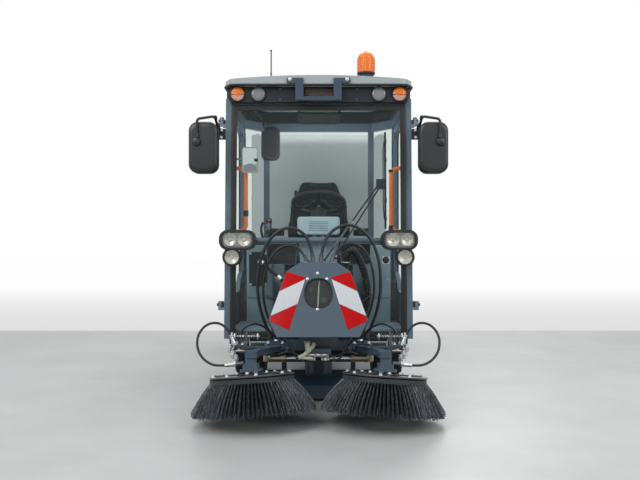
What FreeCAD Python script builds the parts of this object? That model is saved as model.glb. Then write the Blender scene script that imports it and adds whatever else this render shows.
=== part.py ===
import FreeCAD
import Part
import math
import os

# Compact articulated road sweeper: a front unit with the cab and the two side brushes,
# hinged behind the cab to a rear unit with the tipping hopper and the engine.
# Millimetres. The ground is z = 0, the machine drives towards -Y, its left side is +X.

V = FreeCAD.Vector

# Driving dimensions
PIVOT_Y = 348
FRONT_AXLE_AHEAD = 640
REAR_AXLE_BEHIND = 760
TYRE_RADIUS = 320
TYRE_WIDTH = 205
TRACK = 950
CAB_HALF_WIDTH = 570
CAB_REAR_HALF_WIDTH = 410
CAB_FRONT_AHEAD = 1560
CAB_REAR_AHEAD = 330
FLOOR_Z = 430
ROOF_TOP_Z = 1982
ROOF_THICKNESS = 62
WINDSCREEN_RAKE = 100
HOPPER_FRONT_BEHIND = 110
HOPPER_REAR_BEHIND = 1700
HOPPER_HALF_WIDTH = 560
HOPPER_FLOOR_Z = 760
HOPPER_TOP_Z = 1850
HOPPER_WALL = 25
REAR_END_BEHIND = 1776
DUCT_RADIUS = 85
DUCT_WALL = 5
DUCT_Z = 472
BRUSH_X = 357
BRUSH_AHEAD = 550
BRUSH_Z = 262
BRUSH_PLATE_RADIUS = 228
BRUSH_TIP_RADIUS = 340
GLASS = 6
WALL = 5

# Places that follow from them
FRONT_AXLE_Y = PIVOT_Y - FRONT_AXLE_AHEAD
REAR_AXLE_Y = PIVOT_Y + REAR_AXLE_BEHIND
CAB_FRONT_Y = PIVOT_Y - CAB_FRONT_AHEAD
CAB_REAR_Y = PIVOT_Y - CAB_REAR_AHEAD
HOPPER_FRONT_Y = PIVOT_Y + HOPPER_FRONT_BEHIND
HOPPER_REAR_Y = PIVOT_Y + HOPPER_REAR_BEHIND
REAR_END_Y = PIVOT_Y + REAR_END_BEHIND
BRUSH_Y = CAB_FRONT_Y - BRUSH_AHEAD
WHEEL_X = TRACK / 2
ROOF_UNDER_Z = ROOF_TOP_Z - ROOF_THICKNESS


def block(x, y, z):
    return Part.makeBox(x[1] - x[0], y[1] - y[0], z[1] - z[0], V(x[0], y[0], z[0]))


def rod(start, end, radius):
    start, end = V(*start), V(*end)
    return Part.makeCylinder(radius, end.distanceToPoint(start), start, end - start)


def tube(start, end, outer, inner):
    return rod(start, end, outer).cut(rod(start, end, inner))


def outline(points, radius=0):
    """A closed wire through the points, with its corners rounded by arcs."""
    points = [V(*p) for p in points]
    radii = radius if isinstance(radius, (list, tuple)) else [radius] * len(points)
    starts, ends, middles = [], [], []
    for i, corner in enumerate(points):
        back = (points[i - 1] - corner).normalize()
        ahead = (points[(i + 1) % len(points)] - corner).normalize()
        half = back.getAngle(ahead) / 2
        reach = radii[i] / math.tan(half) if radii[i] else 0
        starts.append(corner + back * reach)
        ends.append(corner + ahead * reach)
        bisector = (back + ahead).normalize() if radii[i] else back
        middles.append(corner + bisector * (radii[i] / math.sin(half) - radii[i]))
    edges = []
    for i in range(len(points)):
        if radii[i]:
            edges.append(Part.Arc(starts[i], middles[i], ends[i]).toShape())
        following = starts[(i + 1) % len(points)]
        if ends[i].distanceToPoint(following) > 1e-6:
            edges.append(Part.LineSegment(ends[i], following).toShape())
    return Part.Wire(edges)


def side_panel(points, x, radius=0):
    """An outline in Y and Z, extruded along X."""
    return Part.Face(outline([(x[0], y, z) for y, z in points], radius)).extrude(V(x[1] - x[0], 0, 0))


def front_panel(points, y, radius=0):
    """An outline in X and Z, extruded along Y."""
    return Part.Face(outline([(px, y[0], z) for px, z in points], radius)).extrude(V(0, y[1] - y[0], 0))


def plan_panel(points, z, radius=0):
    """An outline in X and Y, extruded along Z."""
    return Part.Face(outline([(px, py, z[0]) for px, py in points], radius)).extrude(V(0, 0, z[1] - z[0]))


def rectangle(a, b):
    return [(a[0], b[0]), (a[1], b[0]), (a[1], b[1]), (a[0], b[1])]


def mirrored(shape):
    return shape.mirror(V(0, 0, 0), V(1, 0, 0))


def joined(*shapes):
    return shapes[0].fuse(list(shapes[1:])).removeSplitter() if len(shapes) > 1 else shapes[0]


def both_sides(shape):
    return [shape, mirrored(shape)]


def turned(shape, point, axis, angle):
    copy = shape.copy()
    copy.rotate(V(*point), V(*axis), angle)
    return copy


def revolved_x(profile, centre, radius=0):
    """A closed profile of (x, distance from the axis) turned about an axis along X."""
    x, y, z = centre
    face = Part.Face(outline([(x + a, y, z + r) for a, r in profile], radius))
    return face.revolve(V(x, y, z), V(1, 0, 0), 360)


def revolved_z(profile, centre=(0, 0, 0), radius=0):
    """A closed profile of (distance from the axis, z) turned about a vertical axis."""
    x, y, z = centre
    face = Part.Face(outline([(x + r, y, z + h) for r, h in profile], radius))
    return face.revolve(V(x, y, z), V(0, 0, 1), 360)


def export(name, *shapes):
    solids = [solid for shape in shapes for solid in shape.Solids]
    Part.makeCompound(solids).exportStep(os.path.join("parts", name + ".step"))


# Wheels

RIM_RADIUS = 203
HUB_RADIUS = 70
HUB_FLANGE_X = 60
RIM_HOLE_CIRCLE = 115
RIM_HOLE_RADIUS = 20
STUDS = 5


def tyre(x, y):
    half = TYRE_WIDTH / 2
    wall = [(half - 14, RIM_RADIUS), (half - 4, RIM_RADIUS + 14), (half, RIM_RADIUS + 36),
            (half, TYRE_RADIUS - 50)]
    shoulder = [(half - 6, TYRE_RADIUS - 24), (half - 20, TYRE_RADIUS - 4), (half - 34, TYRE_RADIUS)]
    profile = wall + shoulder
    profile = [(-a, r) for a, r in profile] + profile[::-1]
    return revolved_x(profile, (x, y, TYRE_RADIUS))


def rim(x, y):
    """outwards is the side the dish opens to."""
    outwards = 1 if x > 0 else -1
    half = TYRE_WIDTH / 2 - 14
    gap = 0.4
    outer = RIM_RADIUS - gap
    profile = [
        (-half, outer), (half, outer), (half, outer - 14), (HUB_FLANGE_X, outer - 24),
        (30, 150), (30, HUB_RADIUS + 12),
        (48, HUB_RADIUS), (48, 30), (38, 30), (38, HUB_RADIUS - 4), (18, HUB_RADIUS + 8), (18, 158),
        (HUB_FLANGE_X - 14, outer - 34), (-half, outer - 12),
    ]
    shape = revolved_x([(outwards * a, r) for a, r in profile], (x, y, TYRE_RADIUS))
    for i in range(STUDS * 2):
        angle = math.pi / STUDS * i
        centre_y = y + RIM_HOLE_CIRCLE * math.cos(angle)
        centre_z = TYRE_RADIUS + RIM_HOLE_CIRCLE * math.sin(angle)
        shape = shape.cut(rod((x, centre_y, centre_z), (x + outwards * 60, centre_y, centre_z),
                              RIM_HOLE_RADIUS))
    return shape


def wheel_set():
    for axle_name, y in (("front", FRONT_AXLE_Y), ("rear", REAR_AXLE_Y)):
        for side, x in (("right", -WHEEL_X), ("left", WHEEL_X)):
            export(f"tyre_{axle_name}_{side}", tyre(x, y))
            export(f"rim_{axle_name}_{side}", rim(x, y))


def axle(y):
    """A beam with a hub motor at each end, which stops short of the rim's dish."""
    hub_end = WHEEL_X + 38
    beam = block((-360, 360), (y - 45, y + 45), (TYRE_RADIUS - 35, TYRE_RADIUS + 35))
    hubs = both_sides(rod((355, y, TYRE_RADIUS), (WHEEL_X + 10, y, TYRE_RADIUS), HUB_RADIUS - 8))
    noses = both_sides(rod((WHEEL_X, y, TYRE_RADIUS), (hub_end + 8, y, TYRE_RADIUS), 29.6))
    return joined(beam, *hubs, *noses)


# Chassis

RAIL_X = (190, 240)
FRONT_RAIL_Z = (270, 384)
REAR_RAIL_Z = (250, 370)
PIN_RADIUS = 30
YOKE_Z = (196, 220, 300, 324)


def front_frame():
    rails = both_sides(block(RAIL_X, (CAB_FRONT_Y + 10, 130), FRONT_RAIL_Z))
    y_ends = (CAB_FRONT_Y - 18, CAB_FRONT_Y + 12)
    coupling = block((-300, 300), y_ends, (250, 384)).cut(block((-180, 180), y_ends, (290, 360)))
    crossmember = block((-RAIL_X[0], RAIL_X[0]), (60, 130), (YOKE_Z[0], YOKE_Z[3]))
    tip = [(-190, 60), (190, 60), (190, 130), (75, PIVOT_Y + 40), (-75, PIVOT_Y + 40), (-190, 130)]
    lower = plan_panel(tip, YOKE_Z[0:2], [0, 0, 0, 40, 40, 0])
    upper = plan_panel(tip, YOKE_Z[2:4], [0, 0, 0, 40, 40, 0])
    pin = rod((0, PIVOT_Y, YOKE_Z[0] - 12), (0, PIVOT_Y, YOKE_Z[3] + 12), PIN_RADIUS)
    outriggers = both_sides(block((RAIL_X[1], 520), (-700, -650), (330, CAB_LOW_Z)))
    sills = both_sides(block((RAIL_X[1], 540), (-1180, -1130), (330, CAB_LOW_Z)))
    saddle = block((-60, 60), (60, 100), (YOKE_Z[3] - 5, DUCT_Z - 60))
    frame = joined(*rails, coupling, crossmember, lower, upper, pin, *outriggers, *sills, saddle,
                   *cab_mounts(), axle(FRONT_AXLE_Y))
    return frame.cut(duct_cutter(-500))


def cab_mounts():
    z = (FRONT_RAIL_Z[1], FLOOR_Z - 6.3)
    return [s for y in (-560, -60) for s in both_sides(block(RAIL_X, (y, y + 40), z))]


def duct_cutter(y):
    return rod((0, y, DUCT_Z), (0, y + 700, DUCT_Z), DUCT_RADIUS + 0.3)


def rear_frame():
    rails = both_sides(block(RAIL_X, (PIVOT_Y + 100, REAR_END_Y - 40.3), REAR_RAIL_Z))
    arch_stays = both_sides(block((RAIL_X[1], 344.7), (REAR_AXLE_Y - 88, REAR_AXLE_Y - 48), (350, 410)))
    front = block((-RAIL_X[0], RAIL_X[0]), (PIVOT_Y + 100, PIVOT_Y + 150), (YOKE_Z[1] + 6, REAR_RAIL_Z[1]))
    tongue_shape = [(-110, 110), (110, 110), (60, -45), (-60, -45)]
    tongue_z = (YOKE_Z[1] + 5, YOKE_Z[2] - 5)
    tongue = plan_panel([(x, PIVOT_Y + y) for x, y in tongue_shape], tongue_z, [0, 0, 40, 40])
    bore = rod((0, PIVOT_Y, 0), (0, PIVOT_Y, 500), PIN_RADIUS + 0.3)
    bars = [block((-RAIL_X[0], RAIL_X[0]), (y, y + 60), REAR_RAIL_Z)
            for y in (REAR_AXLE_Y - 228, REAR_END_Y - 120)]
    saddle = block((-60, 60), (PIVOT_Y + 134, PIVOT_Y + 150), (REAR_RAIL_Z[1] - 5, DUCT_Z - 60))
    ram_ears = both_sides(joined(
        block((RAIL_X[1], 262), (RAM_FOOT[0] - 40, RAM_FOOT[0] + 40),
              (REAR_RAIL_Z[1] - 40, RAM_FOOT[1] + 30)),
        rod((262, *RAM_FOOT), (338, *RAM_FOOT), RAM_PIN_RADIUS)))
    towers = both_sides(side_panel(
        [(HOPPER_PIVOT[0] - 90, REAR_RAIL_Z[1] - 60), (HOPPER_PIVOT[0] + 90, REAR_RAIL_Z[1] - 60),
         (HOPPER_PIVOT[0] + 27, HOPPER_PIVOT[1] + 27), (HOPPER_PIVOT[0] - 27, HOPPER_PIVOT[1] + 27)],
        (RAIL_X[1], RAIL_X[1] + 24), [0, 0, 24, 24]))
    pins = both_sides(rod((RAIL_X[1], *HOPPER_PIVOT), (RAIL_X[1] + 70, *HOPPER_PIVOT), 18))
    frame = joined(*rails, front, tongue, *bars, *ram_ears, *towers, *pins, saddle, *arch_stays,
                   axle(REAR_AXLE_Y))
    return frame.cut(bore).cut(duct_cutter(PIVOT_Y))


# Hopper, its rear flap and its rams

HOPPER_PIVOT = (PIVOT_Y + 1600, 950)
FLAP_HINGE = (HOPPER_REAR_Y + 22, 1690)
FLAP_HINGE_X = (-340, 340)
FLAP_PIN = 7
RAM_FOOT = (PIVOT_Y + 802, 420)
RAM_HEAD = (PIVOT_Y + 1352, 890)
RAM_X = 300
RAM_PIN_RADIUS = 15
RAM_BARREL_RADIUS = 32
RAM_ROD_RADIUS = 18
RAM_EYE_RADIUS = 34
INLET_Y = PIVOT_Y + 265
HOPPER_RISE = 140


def hopper_profile(inset=0):
    front, rear = HOPPER_FRONT_Y + inset, HOPPER_REAR_Y - inset
    bottom, top = HOPPER_FLOOR_Z + inset, HOPPER_TOP_Z - inset
    return [
        (front, bottom), (front, top - 60), (front + 110, top), (rear - 260, top), (rear, top - 130),
        (rear, bottom + HOPPER_RISE + 110), (rear - 240, bottom + HOPPER_RISE + 60),
        (HOPPER_FRONT_Y + 792, bottom + HOPPER_RISE), (HOPPER_FRONT_Y + 442, bottom),
    ]


def hopper_plan(inset=0):
    half, front, rear = HOPPER_HALF_WIDTH - inset, HOPPER_FRONT_Y + inset, HOPPER_REAR_Y - inset
    nose = 430 - inset
    return [(-nose, front), (nose, front), (half, front + 220), (half, rear), (-half, rear),
            (-half, front + 220)]


def hopper_form(inset, width, corner, edge):
    side = side_panel(hopper_profile(inset), (-width, width), [edge, edge, edge, edge, edge, 0, 0, 0, 0])
    plan = plan_panel(hopper_plan(inset), (0, 2500), [corner, corner, corner, corner / 2, corner / 2, corner])
    return side.common(plan)


def hopper():
    outer = hopper_form(0, HOPPER_HALF_WIDTH, 60, 70)
    inner = hopper_form(HOPPER_WALL, HOPPER_HALF_WIDTH - HOPPER_WALL, 40, 50)
    mouth_z = (HOPPER_FLOOR_Z + HOPPER_RISE + 150, FLAP_HINGE[1] - 60)
    mouth = block((-490, 490), (HOPPER_REAR_Y - 80, HOPPER_REAR_Y + 10), mouth_z)
    inlet = rod((0, INLET_Y, HOPPER_FLOOR_Z - 10), (0, INLET_Y, HOPPER_FLOOR_Z + 60), DUCT_RADIUS - DUCT_WALL)
    lugs = []
    for x in (RAIL_X[1] + 29, RAIL_X[1] + 55):
        lug = side_panel(
            [(HOPPER_PIVOT[0] - 80, HOPPER_PIVOT[1] + 75), (HOPPER_PIVOT[0] - 35, HOPPER_PIVOT[1] - 38),
             (HOPPER_PIVOT[0] + 35, HOPPER_PIVOT[1] - 38), (HOPPER_PIVOT[0] + 70, HOPPER_PIVOT[1] + 75)],
            (x, x + 10), [0, 30, 30, 0])
        lugs += both_sides(lug.cut(rod((x - 5, *HOPPER_PIVOT), (x + 15, *HOPPER_PIVOT), 18.3)))
    for x in (RAM_X - 38, RAM_X + 26):
        lugs += both_sides(side_panel(
            [(RAM_HEAD[0] - 70, RAM_HEAD[1] + 75), (RAM_HEAD[0] - 34, RAM_HEAD[1] - 34),
             (RAM_HEAD[0] + 34, RAM_HEAD[1] - 34), (RAM_HEAD[0] + 70, RAM_HEAD[1] + 75)],
            (x, x + 12), [0, 28, 28, 0]))
    heads = [rod((RAM_X + x, *RAM_HEAD), (RAM_X + x + 8, *RAM_HEAD), RAM_PIN_RADIUS + 5) for x in (-46, 38)]
    lugs += [s for head in heads for s in both_sides(head)]
    for x in FLAP_HINGE_X:
        ears = [side_panel([(HOPPER_REAR_Y - 5, FLAP_HINGE[1] - 20), (HOPPER_REAR_Y - 5, FLAP_HINGE[1] + 24),
                            (FLAP_HINGE[0] + 12, FLAP_HINGE[1] + 14),
                            (FLAP_HINGE[0] + 12, FLAP_HINGE[1] - 14)],
                           (x + a, x + a + 8), [0, 0, 11, 11]) for a in (-44, 36)]
        lugs += ears + [rod((x - 44, *FLAP_HINGE), (x + 44, *FLAP_HINGE), FLAP_PIN)]
    shell = outer.cut(inner).cut(mouth).cut(inlet)
    return joined(shell, *lugs).cut(inner)


def hopper_flap():
    z_low = HOPPER_FLOOR_Z + HOPPER_RISE + 120
    y = (HOPPER_REAR_Y + 5, HOPPER_REAR_Y + 25)
    face = front_panel(rectangle((-520, 520), (z_low, FLAP_HINGE[1] - 26)), y, 30)
    ribs = [front_panel(rectangle((x - 14, x + 14), (z_low + 30, FLAP_HINGE[1] - 60)), (y[1], y[1] + 14), 6)
            for x in (-340, 0, 340)]
    knuckles = [rod((x - 30, *FLAP_HINGE), (x + 30, *FLAP_HINGE), 13) for x in FLAP_HINGE_X]
    straps = [block((x - 30, x + 30), (FLAP_HINGE[0] - 7, FLAP_HINGE[0] + 7),
                    (FLAP_HINGE[1] - 70, FLAP_HINGE[1]))
              for x in FLAP_HINGE_X]
    bores = [rod((x - 40, *FLAP_HINGE), (x + 40, *FLAP_HINGE), FLAP_PIN + 0.3) for x in FLAP_HINGE_X]
    return joined(face, *ribs, *knuckles, *straps).cut(Part.makeCompound(bores))


def ram_line(distance):
    foot, head = RAM_FOOT, RAM_HEAD
    length = math.dist(foot, head)
    return (foot[0] + (head[0] - foot[0]) * distance / length,
            foot[1] + (head[1] - foot[1]) * distance / length)


def ram_barrel():
    length = math.dist(RAM_FOOT, RAM_HEAD)
    body = tube((RAM_X, *ram_line(28)), (RAM_X, *ram_line(length - 60)), RAM_BARREL_RADIUS,
                RAM_ROD_RADIUS + 0.4)
    cap = rod((RAM_X, *ram_line(26)), (RAM_X, *ram_line(60)), RAM_BARREL_RADIUS)
    eye = rod((RAM_X - 30, *RAM_FOOT), (RAM_X + 30, *RAM_FOOT), 32)
    eye_bore = rod((RAM_X - 40, *RAM_FOOT), (RAM_X + 45, *RAM_FOOT), RAM_PIN_RADIUS + 0.3)
    return joined(body, cap, eye).cut(eye_bore)


def ram_rod():
    length = math.dist(RAM_FOOT, RAM_HEAD)
    body = rod((RAM_X, *ram_line(75)), (RAM_X, *ram_line(length - 30)), RAM_ROD_RADIUS)
    eye = rod((RAM_X - 20, *RAM_HEAD), (RAM_X + 20, *RAM_HEAD), RAM_EYE_RADIUS)
    return joined(body, eye).cut(rod((RAM_X - 30, *RAM_HEAD), (RAM_X + 30, *RAM_HEAD), RAM_PIN_RADIUS))


# Rear unit bodywork

ARCH_RADIUS = 352
REAR_LAMP_X = (HOPPER_HALF_WIDTH - 160, HOPPER_HALF_WIDTH - 60)
REAR_LAMP_Z = (560, 800)
ARCH_WALL = 8


def wheel_arch(y, x_inner, x_outer):
    shell = tube((x_inner, y, TYRE_RADIUS), (x_outer, y, TYRE_RADIUS), ARCH_RADIUS + ARCH_WALL, ARCH_RADIUS)
    return shell.cut(block((0, 900), (y - 500, y + 500), (-200, TYRE_RADIUS + 70)))


def rear_arches():
    wall = rod((345, REAR_AXLE_Y, TYRE_RADIUS), (352, REAR_AXLE_Y, TYRE_RADIUS), ARCH_RADIUS + ARCH_WALL)
    wall = wall.cut(block((0, 900), (0, 2000), (-200, TYRE_RADIUS + 70)))
    return both_sides(joined(wheel_arch(REAR_AXLE_Y, 352, 568), wall))


def side_tank():
    points = [(PIVOT_Y + 190, 340), (REAR_AXLE_Y - 372, 340), (REAR_AXLE_Y - 372, 560),
              (REAR_AXLE_Y - 330, 700),
              (PIVOT_Y + 160, 700), (PIVOT_Y + 160, 420)]
    plan = plan_panel([(240.3, 470), (430, 470), (540, 640), (540, 900), (240.3, 900)], (300, 800),
                      [0, 30, 30, 0, 0])
    return side_panel(points, (240.3, 540), [30, 30, 0, 30, 30, 0]).common(plan)


def engine():
    return block((-236, 236), (REAR_AXLE_Y + 252, REAR_AXLE_Y + 712), (REAR_RAIL_Z[1] + 0.3, 830))


def engine_cover():
    arch = rod((0, REAR_AXLE_Y, TYRE_RADIUS), (900, REAR_AXLE_Y, TYRE_RADIUS), ARCH_RADIUS + ARCH_WALL + 4)
    y_rear = REAR_END_Y - 40
    y_front, x_inner = REAR_AXLE_Y + 272, HOPPER_HALF_WIDTH - 20
    side = [(y_front, 340), (y_rear, 340), (y_rear, 840), (y_front, 840)]
    side = side_panel(side, (x_inner, HOPPER_HALF_WIDTH), 20).cut(arch)
    top = block((345, x_inner), (y_front + 40, HOPPER_PIVOT[0] - 100), (820, 840)).cut(arch)
    louvres = [block((x_inner - 10, HOPPER_HALF_WIDTH + 10), (y_front + 220, y_rear - 124), (z, z + 14))
               for z in range(520, 780, 36)]
    return joined(side, top).cut(Part.makeCompound(louvres))


def rear_panel():
    y = (REAR_END_Y - 40, REAR_END_Y)
    face = front_panel(rectangle((-HOPPER_HALF_WIDTH, HOPPER_HALF_WIDTH), (340, 842)), y, 40)
    x_inner = HOPPER_HALF_WIDTH - 40
    hollow = block((-x_inner, x_inner), (y[0] - 10, y[1] - 20), (380, 800))
    slots = [block((-300, 300), (y[0] - 10, y[1] + 10), (z, z + 16)) for z in range(480, 760, 36)]
    lamps = both_sides(block(REAR_LAMP_X, (y[1] - 12, y[1] + 5), REAR_LAMP_Z))
    return joined(face).cut(hollow).cut(Part.makeCompound(slots)).cut(Part.makeCompound(lamps))


def rear_lamps():
    gap = 0.5
    face = rectangle((REAR_LAMP_X[0] + gap, REAR_LAMP_X[1] - gap),
                     (REAR_LAMP_Z[0] + gap, REAR_LAMP_Z[1] - gap))
    return both_sides(front_panel(face, (REAR_END_Y - 12, REAR_END_Y + 4), 8))


def rear_duct():
    start, up = (0, PIVOT_Y + 130, DUCT_Z), INLET_Y
    bend = 120
    path = Part.Wire([
        Part.LineSegment(V(*start), V(0, up - bend, DUCT_Z)).toShape(),
        Part.Arc(V(0, up - bend, DUCT_Z), V(0, up - bend + bend * math.sin(math.pi / 4),
                                            DUCT_Z + bend - bend * math.cos(math.pi / 4)),
                 V(0, up, DUCT_Z + bend)).toShape(),
        Part.LineSegment(V(0, up, DUCT_Z + bend), V(0, up, HOPPER_FLOOR_Z - 5)).toShape(),
    ])
    return swept_pipe(path, V(*start), V(0, 1, 0))


def swept_pipe(path, start, direction, outer=DUCT_RADIUS, wall=DUCT_WALL):
    shapes = []
    for radius in (outer, outer - wall):
        circle = Part.Wire(Part.makeCircle(radius, start, direction))
        shapes.append(path.makePipeShell([circle], True, False))
    return shapes[0].cut(shapes[1])


# Front unit: suction mouth and duct

MOUTH_X = 370
MOUTH_Y = (CAB_FRONT_Y + 30, CAB_FRONT_Y + 330)
MOUTH_Z = (22, 150)


def suction_mouth():
    outer = side_panel([(MOUTH_Y[0], MOUTH_Z[0]), (MOUTH_Y[1], MOUTH_Z[0]), (MOUTH_Y[1], MOUTH_Z[1]),
                        (MOUTH_Y[0] + 60, MOUTH_Z[1]), (MOUTH_Y[0], MOUTH_Z[1] - 50)], (-MOUTH_X, MOUTH_X))
    inner = side_panel([(MOUTH_Y[0] + 8, MOUTH_Z[0] - 5), (MOUTH_Y[1] - 8, MOUTH_Z[0] - 5),
                        (MOUTH_Y[1] - 8, MOUTH_Z[1] - 8),
                        (MOUTH_Y[0] + 63, MOUTH_Z[1] - 8), (MOUTH_Y[0] + 8, MOUTH_Z[1] - 54)],
                       (-MOUTH_X + 8, MOUTH_X - 8))
    hole = rod((0, MOUTH_Y[1] - 110, 100), (0, MOUTH_Y[1] - 110, 200), DUCT_RADIUS - DUCT_WALL)
    hangers = both_sides(block((RAIL_X[0] + 10, RAIL_X[1] - 10), (MOUTH_Y[1] - 160, MOUTH_Y[1] - 110),
                               (MOUTH_Z[1], FRONT_RAIL_Z[0])))
    skids = both_sides(side_panel([(MOUTH_Y[0] + 20, 6), (MOUTH_Y[1] - 20, 6), (MOUTH_Y[1], 30),
                                   (MOUTH_Y[0], 30)],
                                  (MOUTH_X, MOUTH_X + 12)))
    return joined(outer, *skids, *hangers).cut(inner).cut(hole)


def front_duct():
    y0 = MOUTH_Y[1] - 110
    bend = 150
    y1 = CAB_REAR_Y + 110
    path = Part.Wire([
        Part.LineSegment(V(0, y0, MOUTH_Z[1]), V(0, y0, DUCT_Z - bend)).toShape(),
        Part.Arc(V(0, y0, DUCT_Z - bend), V(0, y0 + bend - bend * math.cos(math.pi / 4),
                                            DUCT_Z - bend + bend * math.sin(math.pi / 4)),
                 V(0, y0 + bend, DUCT_Z)).toShape(),
        Part.LineSegment(V(0, y0 + bend, DUCT_Z), V(0, y1, DUCT_Z)).toShape(),
    ])
    return swept_pipe(path, V(0, y0, MOUTH_Z[1]), V(0, 0, 1))


def bellows():
    y0, y1 = CAB_REAR_Y + 110, PIVOT_Y + 130
    folds = 8
    step = (y1 - y0) / folds
    outer = []
    for i in range(folds):
        outer += [(y0 + step * i, DUCT_RADIUS + 3), (y0 + step * (i + 0.5), DUCT_RADIUS + 14)]
    outer.append((y1, DUCT_RADIUS + 3))
    inner = [(y, r - 6) for y, r in reversed(outer)]
    face = Part.Face(outline([(0, y, DUCT_Z + r) for y, r in outer + inner]))
    return face.revolve(V(0, 0, DUCT_Z), V(0, 1, 0), 360)


# Cab

POST = 42
CAB_LOW_Z = 386
HEADER_Z = (1790, 1850)
DOOR_REAR_Y = -232
DOOR_ARCH_RADIUS = 392
REAR_SILL_Z = 980
CROWN_RADIUS = 6000


def rake(z):
    """How far back the windscreen plane stands at height z."""
    return WINDSCREEN_RAKE * (z - FLOOR_Z) / (HEADER_Z[1] - FLOOR_Z)


def cab_front(z):
    return CAB_FRONT_Y + rake(z)


def beam_between(a, b, width, depth):
    """A post of a rectangular section, with vertical ends, from a to b along X and Y inset."""
    faces = []
    for x, y, z in (a, b):
        faces.append(Part.Wire(Part.makePolygon([V(x, y, z), V(x + width, y, z),
                                                 V(x + width, y + depth, z), V(x, y + depth, z),
                                                 V(x, y, z)])))
    return Part.makeLoft(faces, True, True)


def a_post():
    x = CAB_HALF_WIDTH - POST
    return beam_between((x, cab_front(CAB_LOW_Z) + GLASS + 2, CAB_LOW_Z),
                        (x, cab_front(HEADER_Z[1]) + GLASS + 2, HEADER_Z[1]), POST, POST + 6)


def cab_frame():
    x_out, x_in = CAB_HALF_WIDTH, CAB_HALF_WIDTH - POST
    y_front = CAB_FRONT_Y + 12
    low_sill = block((-x_in, x_in), (y_front, y_front + 50), (CAB_LOW_Z, FLOOR_Z - 6))
    header = block((-x_in, x_in), (cab_front(HEADER_Z[0]) + 10, cab_front(HEADER_Z[0]) + 70), HEADER_Z)
    side_sill = block((x_in, x_out - 14), (y_front, -690), (CAB_LOW_Z, FLOOR_Z - 6))
    b_post = block((x_in, x_out), (DOOR_REAR_Y + 6, DOOR_REAR_Y + 6 + POST),
                   (TYRE_RADIUS + ARCH_RADIUS - 40, HEADER_Z[1]))
    b_post = b_post.cut(arch_cutter(ARCH_RADIUS + ARCH_WALL + 0.3))
    top_rail = block((x_in, x_out), (cab_front(HEADER_Z[1]) + GLASS + 2, DOOR_REAR_Y + POST), HEADER_Z)
    rear_x = CAB_REAR_HALF_WIDTH
    rear_post = block((rear_x - POST, rear_x), (CAB_REAR_Y - POST, CAB_REAR_Y), (FLOOR_Z + 16, HEADER_Z[1]))
    rear_post = rear_post.cut(arch_cutter(ARCH_RADIUS + ARCH_WALL + 0.3))
    slant_top = plan_panel([(x_out, DOOR_REAR_Y + 20), (rear_x, CAB_REAR_Y),
                            (rear_x - 30, CAB_REAR_Y - 30), (x_in, DOOR_REAR_Y + 20)], HEADER_Z)
    slant_low = plan_panel([(x_out, DOOR_REAR_Y + 40), (rear_x, CAB_REAR_Y),
                            (rear_x - 30, CAB_REAR_Y - 30), (x_in, DOOR_REAR_Y + 40)],
                           (REAR_SILL_Z - 40, REAR_SILL_Z))
    rear_top = block((-rear_x, rear_x), (CAB_REAR_Y - POST, CAB_REAR_Y), HEADER_Z)
    rear_low = block((-rear_x, rear_x), (CAB_REAR_Y - POST, CAB_REAR_Y), (REAR_SILL_Z - 40, REAR_SILL_Z))
    dash_bar = rod((-x_in, cab_front(980) + 80, 980), (x_in, cab_front(980) + 80, 980), 17)
    dash_ends = both_sides(block((x_in - 12, x_in), (cab_front(980) + 30, cab_front(980) + 100), (955, 1005)))
    one_side = (a_post(), side_sill, b_post, top_rail, rear_post, slant_top, slant_low)
    sided = [s for part in one_side for s in both_sides(part)]
    return joined(low_sill, header, rear_top, rear_low, dash_bar, *dash_ends, *sided)


TUNNEL_X = 112
TUNNEL_Z = 572


def cab_floor():
    y_front = CAB_FRONT_Y + 62
    wide = block((-524, 524), (y_front, -668), (FLOOR_Z - 6, FLOOR_Z + 10))
    narrow = block((-348, 348), (-668, CAB_REAR_Y), (FLOOR_Z - 6, FLOOR_Z + 10))
    tunnel = block((-TUNNEL_X, TUNNEL_X), (MOUTH_Y[1] - 220, CAB_REAR_Y), (FLOOR_Z, TUNNEL_Z + WALL))
    tunnel_inside = block((-TUNNEL_X + WALL, TUNNEL_X - WALL), (MOUTH_Y[1] - 215, CAB_REAR_Y + 10),
                          (FLOOR_Z - 20, TUNNEL_Z))
    inner_side = [s for s in both_sides(
        side_panel([(-664, FLOOR_Z), (-2, FLOOR_Z), (-2, 700), (-560, 700)], (342, 349)))]
    return joined(wide, narrow, tunnel, *inner_side).cut(tunnel_inside)


def cab_shell():
    return joined(cab_floor(), cab_rear_wall(), *both_sides(quarter_panel()))


def front_arches():
    return both_sides(wheel_arch(FRONT_AXLE_Y, 349, 567))


def cab_rear_wall():
    wall = block((-CAB_REAR_HALF_WIDTH + POST, CAB_REAR_HALF_WIDTH - POST),
                 (CAB_REAR_Y - 30, CAB_REAR_Y - 12), (FLOOR_Z + 10, REAR_SILL_Z - 40))
    wall = wall.cut(block((-TUNNEL_X, TUNNEL_X), (CAB_REAR_Y - 60, CAB_REAR_Y + 10),
                          (FLOOR_Z, TUNNEL_Z + WALL)))
    wells = block((-900, -348.7), (-2000, 900), (0, 2000)).common(arch_pair(ARCH_RADIUS + ARCH_WALL + 0.3))
    return wall.cut(wells).cut(mirrored(wells))


def arch_pair(radius):
    return rod((-900, FRONT_AXLE_Y, TYRE_RADIUS), (900, FRONT_AXLE_Y, TYRE_RADIUS), radius)


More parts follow.
